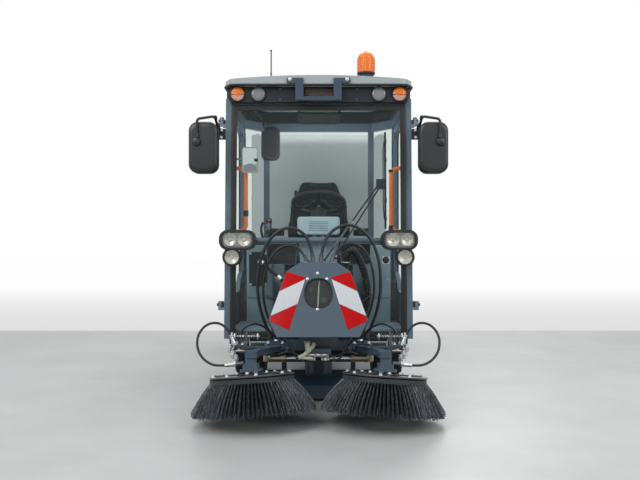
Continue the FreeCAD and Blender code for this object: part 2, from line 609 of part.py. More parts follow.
def quarter_panel():
    """The closed panel below the slanted rear side window."""
    points = [(CAB_HALF_WIDTH - 3, DOOR_REAR_Y + 52), (CAB_REAR_HALF_WIDTH - 3, CAB_REAR_Y - 6),
              (CAB_REAR_HALF_WIDTH - 15, CAB_REAR_Y - 18), (CAB_HALF_WIDTH - 19, DOOR_REAR_Y + 52)]
    panel = plan_panel(points, (TYRE_RADIUS, REAR_SILL_Z - 40))
    cutter = arch_cutter(ARCH_RADIUS + ARCH_WALL + 0.3)
    post = block((CAB_REAR_HALF_WIDTH - POST, CAB_REAR_HALF_WIDTH), (CAB_REAR_Y - POST, CAB_REAR_Y),
                 (0, 2000))
    return panel.cut(cutter).cut(post)


def windscreen():
    half = CAB_HALF_WIDTH - 2
    z0, z1 = CAB_LOW_Z + 4, HEADER_Z[1] - 4
    points = [(cab_front(z0), z0), (cab_front(z1), z1), (cab_front(z1) + GLASS, z1),
              (cab_front(z0) + GLASS, z0)]
    return side_panel(points, (-half, half))


def rear_glass():
    x = CAB_REAR_HALF_WIDTH - POST
    return block((-x, x), (CAB_REAR_Y - 20, CAB_REAR_Y - 20 + GLASS), (REAR_SILL_Z, HEADER_Z[0]))


def quarter_glass():
    points = [(CAB_HALF_WIDTH - 6, DOOR_REAR_Y + 52), (CAB_REAR_HALF_WIDTH + 4, CAB_REAR_Y - 14),
              (CAB_REAR_HALF_WIDTH, CAB_REAR_Y - 18), (CAB_HALF_WIDTH - 10, DOOR_REAR_Y + 48)]
    return plan_panel(points, (REAR_SILL_Z, HEADER_Z[0]))


def cab_roof():
    half = CAB_HALF_WIDTH + 4
    plan = [(-half + 40, CAB_FRONT_Y + 26), (half - 40, CAB_FRONT_Y + 26), (half, CAB_FRONT_Y + 110),
            (half, DOOR_REAR_Y + 60),
            (CAB_REAR_HALF_WIDTH + 16, CAB_REAR_Y + 16), (-CAB_REAR_HALF_WIDTH - 16, CAB_REAR_Y + 16),
            (-half, DOOR_REAR_Y + 60), (-half, CAB_FRONT_Y + 110)]
    slab = plan_panel(plan, (ROOF_UNDER_Z, ROOF_TOP_Z), [50, 50, 60, 60, 40, 40, 60, 60])
    hollow = plan_panel([(x * 0.955, (y + 620) * 0.955 - 620) for x, y in plan],
                        (ROOF_UNDER_Z - 5, ROOF_UNDER_Z + 14), [50, 50, 60, 60, 40, 40, 60, 60])
    return slab.common(roof_crown()).cut(hollow)


def roof_crown(extra=0):
    """The arched top of the roof, as a long cylinder."""
    return Part.makeCylinder(CROWN_RADIUS + extra, 4000,
                             V(0, CAB_FRONT_Y - 1000, ROOF_TOP_Z - CROWN_RADIUS), V(0, 1, 0))


PANEL_HALF_WIDTH = 546
PANEL_Z = (1822, 1918)
PANEL_Y = (CAB_FRONT_Y + 66, CAB_FRONT_Y + 94)
ROOF_LAMPS = (368, 494)
ROOF_LAMP_Z = 1872
ROOF_LAMP_RADIUS = 44
SHADE_Y = (CAB_FRONT_Y + 14, CAB_FRONT_Y + 20)


def roof_trim():
    """The dark band under the roof and the lamp panel before it, with its lamp pockets and air grille."""
    half, rear = CAB_HALF_WIDTH - 4, CAB_REAR_HALF_WIDTH
    y0, y1 = cab_front(HEADER_Z[1]) + 6, CAB_REAR_Y - 4
    ring = [(-half, y0), (half, y0), (half, DOOR_REAR_Y + 50), (rear, y1), (-rear, y1),
            (-half, DOOR_REAR_Y + 50)]
    inner = [(x * 0.9, (y + 600) * 0.9 - 600) for x, y in ring]
    z = (HEADER_Z[1], ROOF_UNDER_Z)
    band = plan_panel(ring, z, [20] * 6).cut(plan_panel(inner, z, [20] * 6))
    panel = front_panel(rectangle((-PANEL_HALF_WIDTH, PANEL_HALF_WIDTH), PANEL_Z), PANEL_Y, 18)
    bridge = block((-500, 500), (PANEL_Y[1], y0), (HEADER_Z[1] + 2, PANEL_Z[1]))
    pockets = [lamp_disc(side * x, PANEL_Y[0] - 5, PANEL_Y[0] + 14, 0)
               for x in ROOF_LAMPS for side in (-1, 1)]
    grille = front_panel(rectangle((-85, 88), (1857, 1909)), (PANEL_Y[0] - 5, PANEL_Y[0] + 12), 5)
    body = joined(panel, bridge, band).cut(Part.makeCompound(pockets + [grille]))
    fins = [block((-85, 88), (PANEL_Y[0] + 2, PANEL_Y[0] + 12), (z0, z0 + 4)) for z0 in range(1863, 1908, 9)]
    return joined(body, *fins, *roof_bracket())


def lamp_disc(x, y0, y1, gap):
    return rod((x, y0, ROOF_LAMP_Z), (x, y1, ROOF_LAMP_Z), ROOF_LAMP_RADIUS - gap)


def roof_lenses():
    return [lamp_disc(side * x, PANEL_Y[0] - 4, PANEL_Y[0] + 14, 0.4) for x in ROOF_LAMPS for side in (-1, 1)]


def roof_bracket():
    """A U of flat bar that stands before the lamp panel and is bolted to it and to the roof's edge."""
    legs = both_sides(block((91, 140), SHADE_Y, (1826, 1962)))
    bar = block((-140, 140), SHADE_Y, (1826, 1850))
    ears = both_sides(block((140, 192), SHADE_Y, (1932, 1962)))
    feet = both_sides(rod((116, SHADE_Y[1], 1838), (116, PANEL_Y[0], 1838), 10))
    return [*legs, bar, *ears, *feet]


# Doors, hinged on an axis that follows the raked front post

HINGE_X = CAB_HALF_WIDTH + 26
HINGE_BEHIND = 32
HINGE_HEIGHTS = (590, 1717)
HINGE_PIN = 7
DOOR_X = (CAB_HALF_WIDTH - 34, CAB_HALF_WIDTH - 4)
DOOR_Z = (442, 1784)
DOOR_FRAME = 46
DOOR_WINDOW_LOW = 640
DOOR_GAP = 64
LEAN = -math.degrees(math.atan2(WINDSCREEN_RAKE, HEADER_Z[1] - FLOOR_Z))


def hinge_part(shape, z):
    """Leans a piece drawn about the origin to the hinge's axis and moves it to height z."""
    placed = turned(shape, (0, 0, 0), (1, 0, 0), LEAN)
    placed.translate(V(HINGE_X, cab_front(z) + HINGE_BEHIND, z))
    return placed


def hinge_bracket(z):
    pin = rod((0, 0, -34), (0, 0, 20), HINGE_PIN)
    plate = block((-30, 12), (-14, 14), (-34, -22))
    return hinge_part(joined(pin, plate), z)


def hinge_knuckle(z):
    barrel = rod((0, 0, -21), (0, 0, 21), 13)
    strap = block((-4, 6), (0, 120), (-21, 21))
    foot = block((-34, 6), (60, 120), (-21, 21))
    return hinge_part(joined(barrel, strap, foot).cut(rod((0, 0, -40), (0, 0, 40), HINGE_PIN + 0.3)), z)


def door_outline(inset=0):
    z0, z1 = DOOR_Z[0] + inset, DOOR_Z[1] - inset
    y0, y1 = cab_front(z0) + DOOR_GAP + inset, cab_front(z1) + DOOR_GAP + inset
    return [(y0, z0), (y1, z1), (DOOR_REAR_Y - inset, z1), (DOOR_REAR_Y - inset, z0)]


def arch_cutter(radius):
    return rod((0, FRONT_AXLE_Y, TYRE_RADIUS), (900, FRONT_AXLE_Y, TYRE_RADIUS), radius)


def door_frame():
    panel = side_panel(door_outline(), DOOR_X, [20, 60, 40, 0]).cut(arch_cutter(DOOR_ARCH_RADIUS))
    window = side_panel(door_outline(DOOR_FRAME), (DOOR_X[0] - 5, DOOR_X[1] + 5), [15, 45, 30, 0])
    window = window.cut(arch_cutter(DOOR_ARCH_RADIUS + DOOR_FRAME)).cut(below(DOOR_WINDOW_LOW))
    panel = panel.cut(window)
    return joined(panel, *[hinge_knuckle(z) for z in HINGE_HEIGHTS])


def door_glass():
    x = (DOOR_X[0] + 12, DOOR_X[0] + 12 + WALL)
    pane = side_panel(door_outline(DOOR_FRAME + 0.5), x, [15, 45, 30, 0])
    return pane.cut(arch_cutter(DOOR_ARCH_RADIUS + DOOR_FRAME + 0.5)).cut(below(DOOR_WINDOW_LOW + 0.5))


def below(z):
    return block((0, 900), (-2000, 500), (0, z))


HANDLE_X = 450
HANDLE_Y = -1068
HANDLE_Z = (1035, 1426)


def door_handle():
    x = (HANDLE_X, DOOR_X[0] + 4)
    path = Part.Wire(open_path([(x[1], HANDLE_Y, HANDLE_Z[0]), (x[0], HANDLE_Y, HANDLE_Z[0]),
                                (x[0], HANDLE_Y, HANDLE_Z[1]), (x[1], HANDLE_Y, HANDLE_Z[1])], 45))
    return round_sweep(path, 13)


def open_path(points, radius):
    """Edges through the points, with arcs of the given radius at the inner ones."""
    points = [V(*p) for p in points]
    edges, last = [], points[0]
    for i in range(1, len(points) - 1):
        back = (points[i - 1] - points[i]).normalize()
        ahead = (points[i + 1] - points[i]).normalize()
        half = back.getAngle(ahead) / 2
        r = radius[i - 1] if isinstance(radius, (list, tuple)) else radius
        start, end = points[i] + back * (r / math.tan(half)), points[i] + ahead * (r / math.tan(half))
        middle = points[i] + (back + ahead).normalize() * (r / math.sin(half) - r)
        edges += [Part.LineSegment(last, start).toShape(), Part.Arc(start, middle, end).toShape()]
        last = end
    edges.append(Part.LineSegment(last, points[-1]).toShape())
    return edges


def round_sweep(path, radius):
    start = path.Edges[0]
    circle = Part.Wire(Part.makeCircle(radius, start.valueAt(start.FirstParameter),
                                       start.tangentAt(start.FirstParameter)))
    return path.makePipeShell([circle], True, False)


# Cab interior

SEAT_Y = -240
SEAT_TOP_Z = 880
WHEEL_CENTRE = (0, -650, 1230)
WHEEL_RADIUS = 185
WHEEL_TILT = 22
PEDAL_Y = CAB_FRONT_Y + 132


def seat_parts():
    base = [block((-200, 200), (SEAT_Y - 330, SEAT_Y - 20), (TUNNEL_Z + WALL + 1, 640)),
            block((-170, 170), (SEAT_Y - 300, SEAT_Y + 60), (640, SEAT_TOP_Z - 118.3))]
    base += both_sides(block((TUNNEL_X + 12, 200), (SEAT_Y - 330, SEAT_Y - 20),
                             (FLOOR_Z + 10, TUNNEL_Z + WALL + 1)))
    cushion = front_panel(rectangle((-262, 262), (SEAT_TOP_Z - 118, SEAT_TOP_Z)),
                          (SEAT_Y - 440, SEAT_Y + 20), 40)
    cushion = cushion.common(plan_panel(rectangle((-262, 262), (SEAT_Y - 440, SEAT_Y + 20)), (0, 2000), 70))
    back_shape = [(-262, SEAT_TOP_Z + 10), (262, SEAT_TOP_Z + 10), (240, 1250), (140, 1438),
                  (-140, 1438), (-240, 1250)]
    back = front_panel(back_shape, (SEAT_Y + 10, SEAT_Y + 100), [40, 40, 120, 60, 60, 120])
    arms = both_sides(side_panel([(SEAT_Y - 300, 1010), (SEAT_Y + 30, 1010), (SEAT_Y + 30, 1060),
                                  (SEAT_Y - 300, 1060)], (285, 335), 20))
    links = both_sides(block((255, 300), (SEAT_Y + 12, SEAT_Y + 60), (1012, 1058)))
    bracket = block((-60, 60), (SEAT_Y + 21, SEAT_Y + 60), (SEAT_TOP_Z - 130, SEAT_TOP_Z + 9.7))
    return joined(*base), cushion, back, joined(bracket), [joined(a, b) for a, b in zip(arms, links)]


def steering():
    ring = Part.makeTorus(WHEEL_RADIUS - 15, 15)
    hub = rod((0, 0, -40), (0, 0, -4), 42).cut(rod((0, 0, -50), (0, 0, -15), 10.3))
    spoke = block((0, WHEEL_RADIUS - 20), (-16, 16), (-18, -8))
    spokes = [turned(spoke, (0, 0, 0), (0, 0, 1), angle) for angle in (30, 150, 270)]
    wheel = joined(ring, hub, *spokes)
    wheel.rotate(V(0, 0, 0), V(1, 0, 0), -WHEEL_TILT)
    wheel.translate(V(*WHEEL_CENTRE))
    column = joined(rod((0, 0, -45), (0, 0, -620), 34), rod((0, 0, -50), (0, 0, -19), 10))
    column.rotate(V(0, 0, 0), V(1, 0, 0), -WHEEL_TILT)
    column.translate(V(*WHEEL_CENTRE))
    pillar = side_panel([(-1060, FLOOR_Z + 10), (-880, FLOOR_Z + 200), (-860, 930), (-930, 1000),
                         (-1060, 1000)], (-55, 55), [0, 0, 30, 30, 30])
    pillar = pillar.cut(block((-TUNNEL_X, TUNNEL_X), (-1105, -700), (0, TUNNEL_Z + WALL)))
    return wheel, joined(pillar, column)


def dash():
    display = front_panel(rectangle((-134, 134), (1014, 1129)),
                          (cab_front(1050) + 180, cab_front(1050) + 250), 20)
    stalk = block((-20, 20), (cab_front(1050) + 190, cab_front(1050) + 230), (1000.3, 1030))
    return joined(display, stalk)


def consoles():
    left = block((300, 470), (-780, -690), (FLOOR_Z + 10, 950))
    grip = joined(rod((-330, -735, 950), (-330, -735, 1060), 8),
                  rod((-330, -735, 1050), (-330, -735, 1120), 17))
    pad = block((170, 230), (PEDAL_Y, PEDAL_Y + 10), (470, 560))
    pedals = both_sides(joined(pad, block((192, 208), (PEDAL_Y + 10, PEDAL_Y + 18), (FLOOR_Z + 10, 520))))
    right = joined(mirrored(left), grip)
    inner = front_panel(rectangle((-468, -374), (1396, 1550)), (CAB_FRONT_Y + 96, CAB_FRONT_Y + 114), 14)
    arm = rod((-460, CAB_FRONT_Y + 105, 1480), (-CAB_HALF_WIDTH + POST, CAB_FRONT_Y + 105, 1480), 6)
    return [left, right, joined(inner, arm), *pedals]


# Lamps, mirrors, wiper and beacon

def behind_glass(offset):
    y0, y1 = cab_front(0) + offset, cab_front(3000) + offset
    return side_panel([(y0, 0), (y1, 3000), (y1 + 900, 3000), (y0 + 900, 0)], (-900, 900))


def headlamps():
    lamps = []
    for x in (CAB_HALF_WIDTH - 85,):
        y = CAB_FRONT_Y - 62
        shell = front_panel(rectangle((x - 108, x + 108), (922, 1042)), (y, CAB_FRONT_Y + 60), 52)
        hollow = front_panel(rectangle((x - 94, x + 94), (933, 1031)), (y - 5, y + 14), 45)
        lens = front_panel(rectangle((x - 93.7, x + 93.7), (933.3, 1030.7)), (y + 4, y + 13.7), 44.7)
        lower = rod((x + 33, y + 12, 880), (x + 33, CAB_FRONT_Y + 40, 880), 56)
        socket = rod((x + 33, y - 10, 880), (x + 33, y + 30, 880), 44)
        small = rod((x + 33, y + 16, 880), (x + 33, y + 29.7, 880), 43.6)
        lamps.append((joined(shell, lower).cut(hollow).cut(socket).cut(behind_glass(-0.3)), [lens, small]))
    return lamps[0]


def mirror():
    y = CAB_FRONT_Y - 18
    x0, x1 = CAB_HALF_WIDTH + 30, CAB_HALF_WIDTH + 204
    x_arm, x_foot = x0 + 124, x0 + 14
    case = front_panel(rectangle((x0, x1), (1380, 1687)), (y - 34, y + 36), 55)
    hollow = front_panel(rectangle((x0 + 12, x1 - 12), (1392, 1675)), (y + 26, y + 40), 45)
    glass = front_panel(rectangle((x0 + 12.5, x1 - 12.5), (1392.5, 1674.5)), (y + 26.2, y + 30), 44.5)
    foot_y = cab_front(1630) + 14
    foot = block((CAB_HALF_WIDTH + 0.3, x0 + 25), (foot_y, foot_y + 22), (1600, 1665))
    bends = [(x_foot, foot_y + 4, 1650), (x_foot, y - 62, 1716), (x_arm - 4, y - 62, 1700),
             (x_arm, y - 58, 1560)]
    arm = round_sweep(Part.Wire(open_path(bends, 20)), 8)
    joint = rod((x_arm, y - 70, 1566), (x_arm, y - 20, 1566), 16)
    return joined(case.cut(hollow), joint, arm, foot), glass


def beacon():
    centre = (306, -860)
    base = rod((*centre, ROOF_TOP_Z - 30), (*centre, 2052), 48).cut(roof_crown(0.3))
    dome = rod((*centre, 2052.4), (*centre, 2160), 58)
    dome = joined(dome, Part.makeSphere(58, V(*centre, 2137)))
    dome = dome.common(rod((*centre, 2052.4), (*centre, 2300), 58))
    return base, dome


def antenna():
    centre = (-306, -860)
    return joined(rod((*centre, ROOF_TOP_Z - 30), (*centre, 2000), 22).cut(roof_crown(0.3)),
                  rod((*centre, 2000), (*centre, 2208), 4))


def wiper():
    y = lambda z: cab_front(z) - 26
    arms = [rod((x0, y(z0), z0), (x1, y(z1), z1), 5)
            for x0, z0, x1, z1 in ((28, 850, 350, 1300), (104, 885, 398, 1345))]
    blade = side_panel([(y(1050) + 4, 1050), (y(1640) + 4, 1640), (y(1640) + 16, 1640),
                        (y(1050) + 16, 1050)], (400, 412))
    carrier = block((350, 412), (y(1320) - 6, y(1320) + 10), (1290, 1352))
    feet = [rod((x, y(z) - 8, z), (x, cab_front(z) - 1.4, z), 15) for x, z in ((28, 850), (104, 885))]
    return joined(*arms, blade, carrier, *feet)


# Sweeping unit at the front

SWING_X = 238
SWING_Y = CAB_FRONT_Y - 238
SWING_PIN = 14
LIFT_Y = SWING_Y - 74
LIFT_Z = 371
LIFT_PIN = 9
KNUCKLE_Z = (347, 394)
RAM_EYE_X = 295
SWING_RAM_Y = LIFT_Y - 1
SWING_RAM_Z = 314
SWING_DRIFT = 3
TIE_X = 40
FRONT_TILT = 7
SIDE_TILT = 4


HOOD_TOP = (CAB_FRONT_Y - 300, 855)
HOOD_FOOT = (CAB_FRONT_Y - 520, 458)
HOOD_SHEET = 6
HOOD_DEPTH = 70
HOOD_WINDOW = (75, 88)
HOOD_HALF_WIDTHS = ((0, 224), (90, 272), (348, 181), (397, 106))


def hood_slope():
    return math.degrees(math.atan2(HOOD_TOP[0] - HOOD_FOOT[0], HOOD_TOP[1] - HOOD_FOOT[1]))


def hood_outline(inset, stretch):
    """Half widths against the height over the foot, as points on the leaning face."""
    lean = math.cos(math.radians(hood_slope()))
    right = [(half - inset, height / lean) for height, half in HOOD_HALF_WIDTHS]
    right[0] = (right[0][0], right[0][1] - stretch)
    right[-1] = (right[-1][0], right[-1][1] + stretch)
    return right + [(-x, z) for x, z in reversed(right)]


def on_hood(shape):
    """Leans a piece drawn upright against y = 0 and puts it on the hood's face."""
    placed = turned(shape, (0, 0, 0), (1, 0, 0), -hood_slope())
    placed.translate(V(0, *HOOD_FOOT))
    return placed


def hood():
    """A leaning shield whose side cheeks fold back, open above and below, with an oval window."""
    shell = front_panel(hood_outline(0, 0), (0, HOOD_DEPTH), 12)
    core = front_panel(hood_outline(HOOD_SHEET, 60), (HOOD_SHEET, HOOD_DEPTH + 10))
    middle = 230 / math.cos(math.radians(hood_slope()))
    half_width, half_height = HOOD_WINDOW
    window = rectangle((-half_width, half_width), (middle - half_height, middle + half_height))
    window = front_panel(window, (-10, HOOD_SHEET + 10), half_width - 1)
    return on_hood(shell.cut(core).cut(window))


def hood_rest(x, z):
    """A bar from the post to the hood's back, cut to its lean."""
    bar = block(x, (HOOD_FOOT[0] - 20, SWING_Y - 20), z)
    return bar.cut(on_hood(block((-400, 400), (-600, HOOD_SHEET), (-200, 700))))


MANIFOLD_X = (-90, 96)
MANIFOLD_Y = (SWING_Y - 40, SWING_Y + 20)
MANIFOLD_Z = (800, 844)
UPPER_HOSE = 18
LOWER_HOSE = 14
UPPER_RIGHT = (UPPER_HOSE, [
    (-32, -1460, 862), (-38, -1458, 950), (-92, -1450, 1035), (-190, -1442, 1062), (-290, -1432, 985),
    (-338, -1422, 865), (-357, -1410, 735), (-346, -1395, 610), (-315, -1380, 500), (-284, -1368, 430)])
LOWER_RIGHT = (LOWER_HOSE, [
    (-66, -1445, 860), (-92, -1437, 918), (-155, -1428, 958), (-232, -1420, 936), (-290, -1412, 860),
    (-318, -1402, 755), (-322, -1392, 645), (-298, -1380, 535), (-255, -1368, 440)])
UPPER_LEFT = (UPPER_HOSE, [
    (14, -1460, 862), (22, -1458, 955), (80, -1450, 1045), (185, -1440, 1080), (292, -1430, 1012),
    (345, -1420, 895), (362, -1410, 765), (356, -1398, 635), (326, -1382, 515), (284, -1368, 425)])
LOWER_LEFT = (LOWER_HOSE, [
    (78, -1445, 862), (100, -1437, 922), (158, -1428, 966), (230, -1420, 958), (286, -1412, 900),
    (318, -1402, 805), (326, -1392, 690), (306, -1380, 575), (264, -1368, 468)])
MOTOR_HOSE = (LOWER_HOSE, [
    (470, -1622, 420), (492, -1622, 482), (548, -1628, 528), (616, -1640, 520), (662, -1656, 464),
    (664, -1678, 394), (630, -1702, 336), (575, -1722, 306), (518, -1738, 304), (462, -1750, 312)])


def hose_path(points):
    """Straight runs joined by arcs, each as large as the shorter of its two runs allows."""
    corners = [V(*p) for p in points]
    edges, start, radii = [], corners[0], []
    for before, corner, after in zip(corners, corners[1:], corners[2:]):
        back, ahead = before - corner, after - corner
        reach = 0.45 * min(back.Length, ahead.Length)
        half_turn = (math.pi - back.getAngle(ahead)) / 2
        radius = reach / math.tan(half_turn)
        first, last = corner + back * (reach / back.Length), corner + ahead * (reach / ahead.Length)
        inward = (first + last) * 0.5 - corner
        middle = corner + inward * ((radius / math.cos(half_turn) - radius) / inward.Length)
        edges.append(Part.LineSegment(start, first).toShape())
        edges.append(Part.Arc(first, middle, last).toShape())
        start = last
        radii.append(round(radius))
    edges.append(Part.LineSegment(start, corners[-1]).toShape())
    return Part.Wire(edges), radii


def hose(route):
    diameter, points = route
    path, radii = hose_path(points)
    shape = round_sweep(path, diameter / 2)
    expected = math.pi * (diameter / 2) ** 2 * path.Length
    print("hose", diameter, "length", round(path.Length), "radii", radii, "volume share",
          round(shape.Volume / expected, 4))
    return shape


def hose_glands(route, start_length, end_length):
    """The two fittings that a hose comes out of, in line with its ends."""
    diameter, points = route
    glands = []
    for end, inner, length in ((points[0], points[1], start_length), (points[-1], points[-2], end_length)):
        direction = V(*end) - V(*inner)
        direction.normalize()
        glands.append(rod(end, tuple(V(*end) + direction * length), diameter / 2 + 4))
    return glands


def front_carrier():
    y0, y1 = CAB_FRONT_Y - 18, CAB_FRONT_Y - 60
    plate = block((-280, 280), (y1, y0 - 0.4), (262, 420))
    beam = block((-300, 300), (SWING_Y + 56, SWING_Y + 106), (340, 400))
    centre = block((-70, 70), (CAB_FRONT_Y - 408, y1), (331, 380))
    ears = both_sides(plan_panel([(SWING_X - 45, SWING_Y + 60), (SWING_X + 45, SWING_Y + 60),
                                  (SWING_X + 28, SWING_Y - 22),
                                  (SWING_X - 28, SWING_Y - 22)], (KNUCKLE_Z[1] + 1, KNUCKLE_Z[1] + 9),
                                 [0, 0, 20, 20]))
    low = both_sides(plan_panel([(SWING_X - 45, SWING_Y + 60), (SWING_X + 45, SWING_Y + 60),
                                 (SWING_X + 28, SWING_Y - 18),
                                 (SWING_X - 28, SWING_Y - 18)], (KNUCKLE_Z[0] - 9, KNUCKLE_Z[0] - 1),
                                [0, 0, 20, 20]))
    pins = both_sides(rod((SWING_X, SWING_Y, KNUCKLE_Z[0] - 9), (SWING_X, SWING_Y, KNUCKLE_Z[1] + 9),
                          SWING_PIN))
    post = [block((-110, 110), (SWING_Y - 50, SWING_Y - 10), (370, MANIFOLD_Z[0])),
            block(MANIFOLD_X, MANIFOLD_Y, MANIFOLD_Z),
            hood_rest((-80, 80), (462, 480)), hood_rest((-60, 60), (770, 788))]
    glands = [g for route in (UPPER_RIGHT, LOWER_RIGHT, UPPER_LEFT, LOWER_LEFT)
              for g in hose_glands(route, 26, 46)]
    tie = both_sides(rod((TIE_X, SWING_RAM_Y, 299), (TIE_X, SWING_RAM_Y, 340), 6))
    return joined(plate, beam, centre, *ears, *low, *pins, *post, *tie, *glands)


def knuckle():
    plan = [(-60, -50), (66, -50), (66, -10), (30, 40), (-30, 40), (-60, -10)]
    body = plan_panel([(SWING_X + x, SWING_Y + y) for x, y in plan], KNUCKLE_Z, [0, 0, 20, 25, 25, 20])
    body = body.cut(rod((SWING_X, SWING_Y, 300), (SWING_X, SWING_Y, 450), SWING_PIN + 0.3))
    ears = [side_panel(rectangle((LIFT_Y - 20, SWING_Y - 45), KNUCKLE_Z), x, [14, 0, 0, 14])
            for x in ((SWING_X - 60, SWING_X - 50), (SWING_X + 48, SWING_X + 66))]
    pin = rod((SWING_X - 60, LIFT_Y, LIFT_Z), (SWING_X + 66, LIFT_Y, LIFT_Z), LIFT_PIN)
    stud = rod((RAM_EYE_X, SWING_RAM_Y, SWING_RAM_Z - 22), (RAM_EYE_X, SWING_RAM_Y, KNUCKLE_Z[0] + 4), 7)
    return joined(body, *ears, pin, stud)


def brush_arm():
    hub = rod((SWING_X - 44, LIFT_Y, LIFT_Z), (SWING_X + 42, LIFT_Y, LIFT_Z), 18)
    reach = [(LIFT_Y, LIFT_Z - 14), (BRUSH_Y - 38, 352), (BRUSH_Y - 38, 386), (LIFT_Y, LIFT_Z + 16)]
    plan = plan_panel([(SWING_X - 44, LIFT_Y), (SWING_X + 42, LIFT_Y), (SWING_X + 42, LIFT_Y - 30),
                       (BRUSH_X + 30, BRUSH_Y + 42),
                       (BRUSH_X + 30, BRUSH_Y - 33), (BRUSH_X - 30, BRUSH_Y - 33),
                       (BRUSH_X - 42, BRUSH_Y + 72)], (300, 500), [0, 0, 10, 20, 10, 10, 20])
    beam = side_panel(reach, (0, 600)).common(plan)
    motor = joined(rod((0, 0, 14), (0, 0, 30), 62), rod((0, 0, 30), (0, 0, 60), 45),
                   block((-28, 28), (-34, 34), (60, 116)))
    motor = motor.cut(rod((0, 0, 0), (0, 0, 34), 12.3))
    bore = rod((0, LIFT_Y, LIFT_Z), (600, LIFT_Y, LIFT_Z), LIFT_PIN + 0.3)
    y = (BRUSH_Y + 130, BRUSH_Y + 150)
    link = front_panel([(300, 354), (447, 360), (440, 395), (300, 395)], y, [0, 10, 10, 0])
    link = link.cut(front_panel([(345, 365), (425, 368), (422, 384), (345, 384)], (y[0] - 5, y[1] + 5), 5))
    bracket = [block((395, 482), y, (395, 404)), block((395, 404), y, (395, 470))]
    glands = hose_glands(MOTOR_HOSE, 24, 66)
    return joined(hub, beam, tilted(motor), link, *bracket, *glands).cut(bore)


def tilted(shape):
    """Leans a piece drawn about the left brush's plate and moves it to its place."""
    placed = turned(shape, (0, 0, 0), (1, 0, 0), -FRONT_TILT)
    placed.rotate(V(0, 0, 0), V(0, 1, 0), SIDE_TILT)
    placed.translate(V(BRUSH_X, BRUSH_Y, BRUSH_Z))
    return placed


TUFT_ROWS = ((BRUSH_PLATE_RADIUS - 14, BRUSH_TIP_RADIUS, 40, 0),
             (BRUSH_PLATE_RADIUS - 46, BRUSH_TIP_RADIUS - 50, 32, 4))
TUFT_DROP = 205
BAND_HEIGHT = 42


def tuft(root, tip):
    wires = []
    for x, z, r in ((root, -18, 8), (tip - 13, -TUFT_DROP, 12)):
        turns = [math.radians(angle) for angle in range(0, 420, 60)]
        corners = [V(x + r * math.cos(a), r * math.sin(a), z) for a in turns]
        wires.append(Part.makePolygon(corners))
    return Part.makeLoft(wires, True, True)


def brush():
    r = BRUSH_PLATE_RADIUS
    plate = revolved_z([(16, -12), (16, 0), (r - 6, 0), (r, -6), (r, -BAND_HEIGHT),
                        (r - 10, -BAND_HEIGHT), (r - 10, -20),
                        (r - 62, -20), (r - 62, -12)])
    hub = revolved_z([(0, -12), (0, 24), (12, 24), (12, 8), (40, 8), (40, -12)])
    tufts = []
    for root, tip, count, shift in TUFT_ROWS:
        one = tuft(root, tip)
        tufts += [turned(one, (0, 0, 0), (0, 0, 1), 360 / count * i + shift) for i in range(count)]
    return joined(plate, hub, *tufts)


def swing_barrel():
    body = tube((RAM_EYE_X - 14, SWING_RAM_Y, SWING_RAM_Z), (RAM_EYE_X - 112, SWING_RAM_Y, SWING_RAM_Z),
                20, 9.4)
    cap = rod((RAM_EYE_X - 12, SWING_RAM_Y, SWING_RAM_Z), (RAM_EYE_X - 24, SWING_RAM_Y, SWING_RAM_Z), 20)
    eye = rod((RAM_EYE_X, SWING_RAM_Y, SWING_RAM_Z - 16), (RAM_EYE_X, SWING_RAM_Y, SWING_RAM_Z + 16), 16)
    return joined(body, cap, eye).cut(rod((RAM_EYE_X, SWING_RAM_Y, 250), (RAM_EYE_X, SWING_RAM_Y, 400), 7.3))


def swing_rod():
    body = rod((RAM_EYE_X - 28, SWING_RAM_Y, SWING_RAM_Z), (TIE_X + 20, SWING_RAM_Y, SWING_RAM_Z), 9)
    eye = rod((TIE_X, SWING_RAM_Y, SWING_RAM_Z - 9), (TIE_X, SWING_RAM_Y, SWING_RAM_Z + 9), 24)
    return joined(body, eye).cut(rod((TIE_X, SWING_RAM_Y, 250), (TIE_X, SWING_RAM_Y, 400), 6 + SWING_DRIFT))


def export_sides(name, shape):
    export(name + "_left", shape)
    export(name + "_right", mirrored(shape))


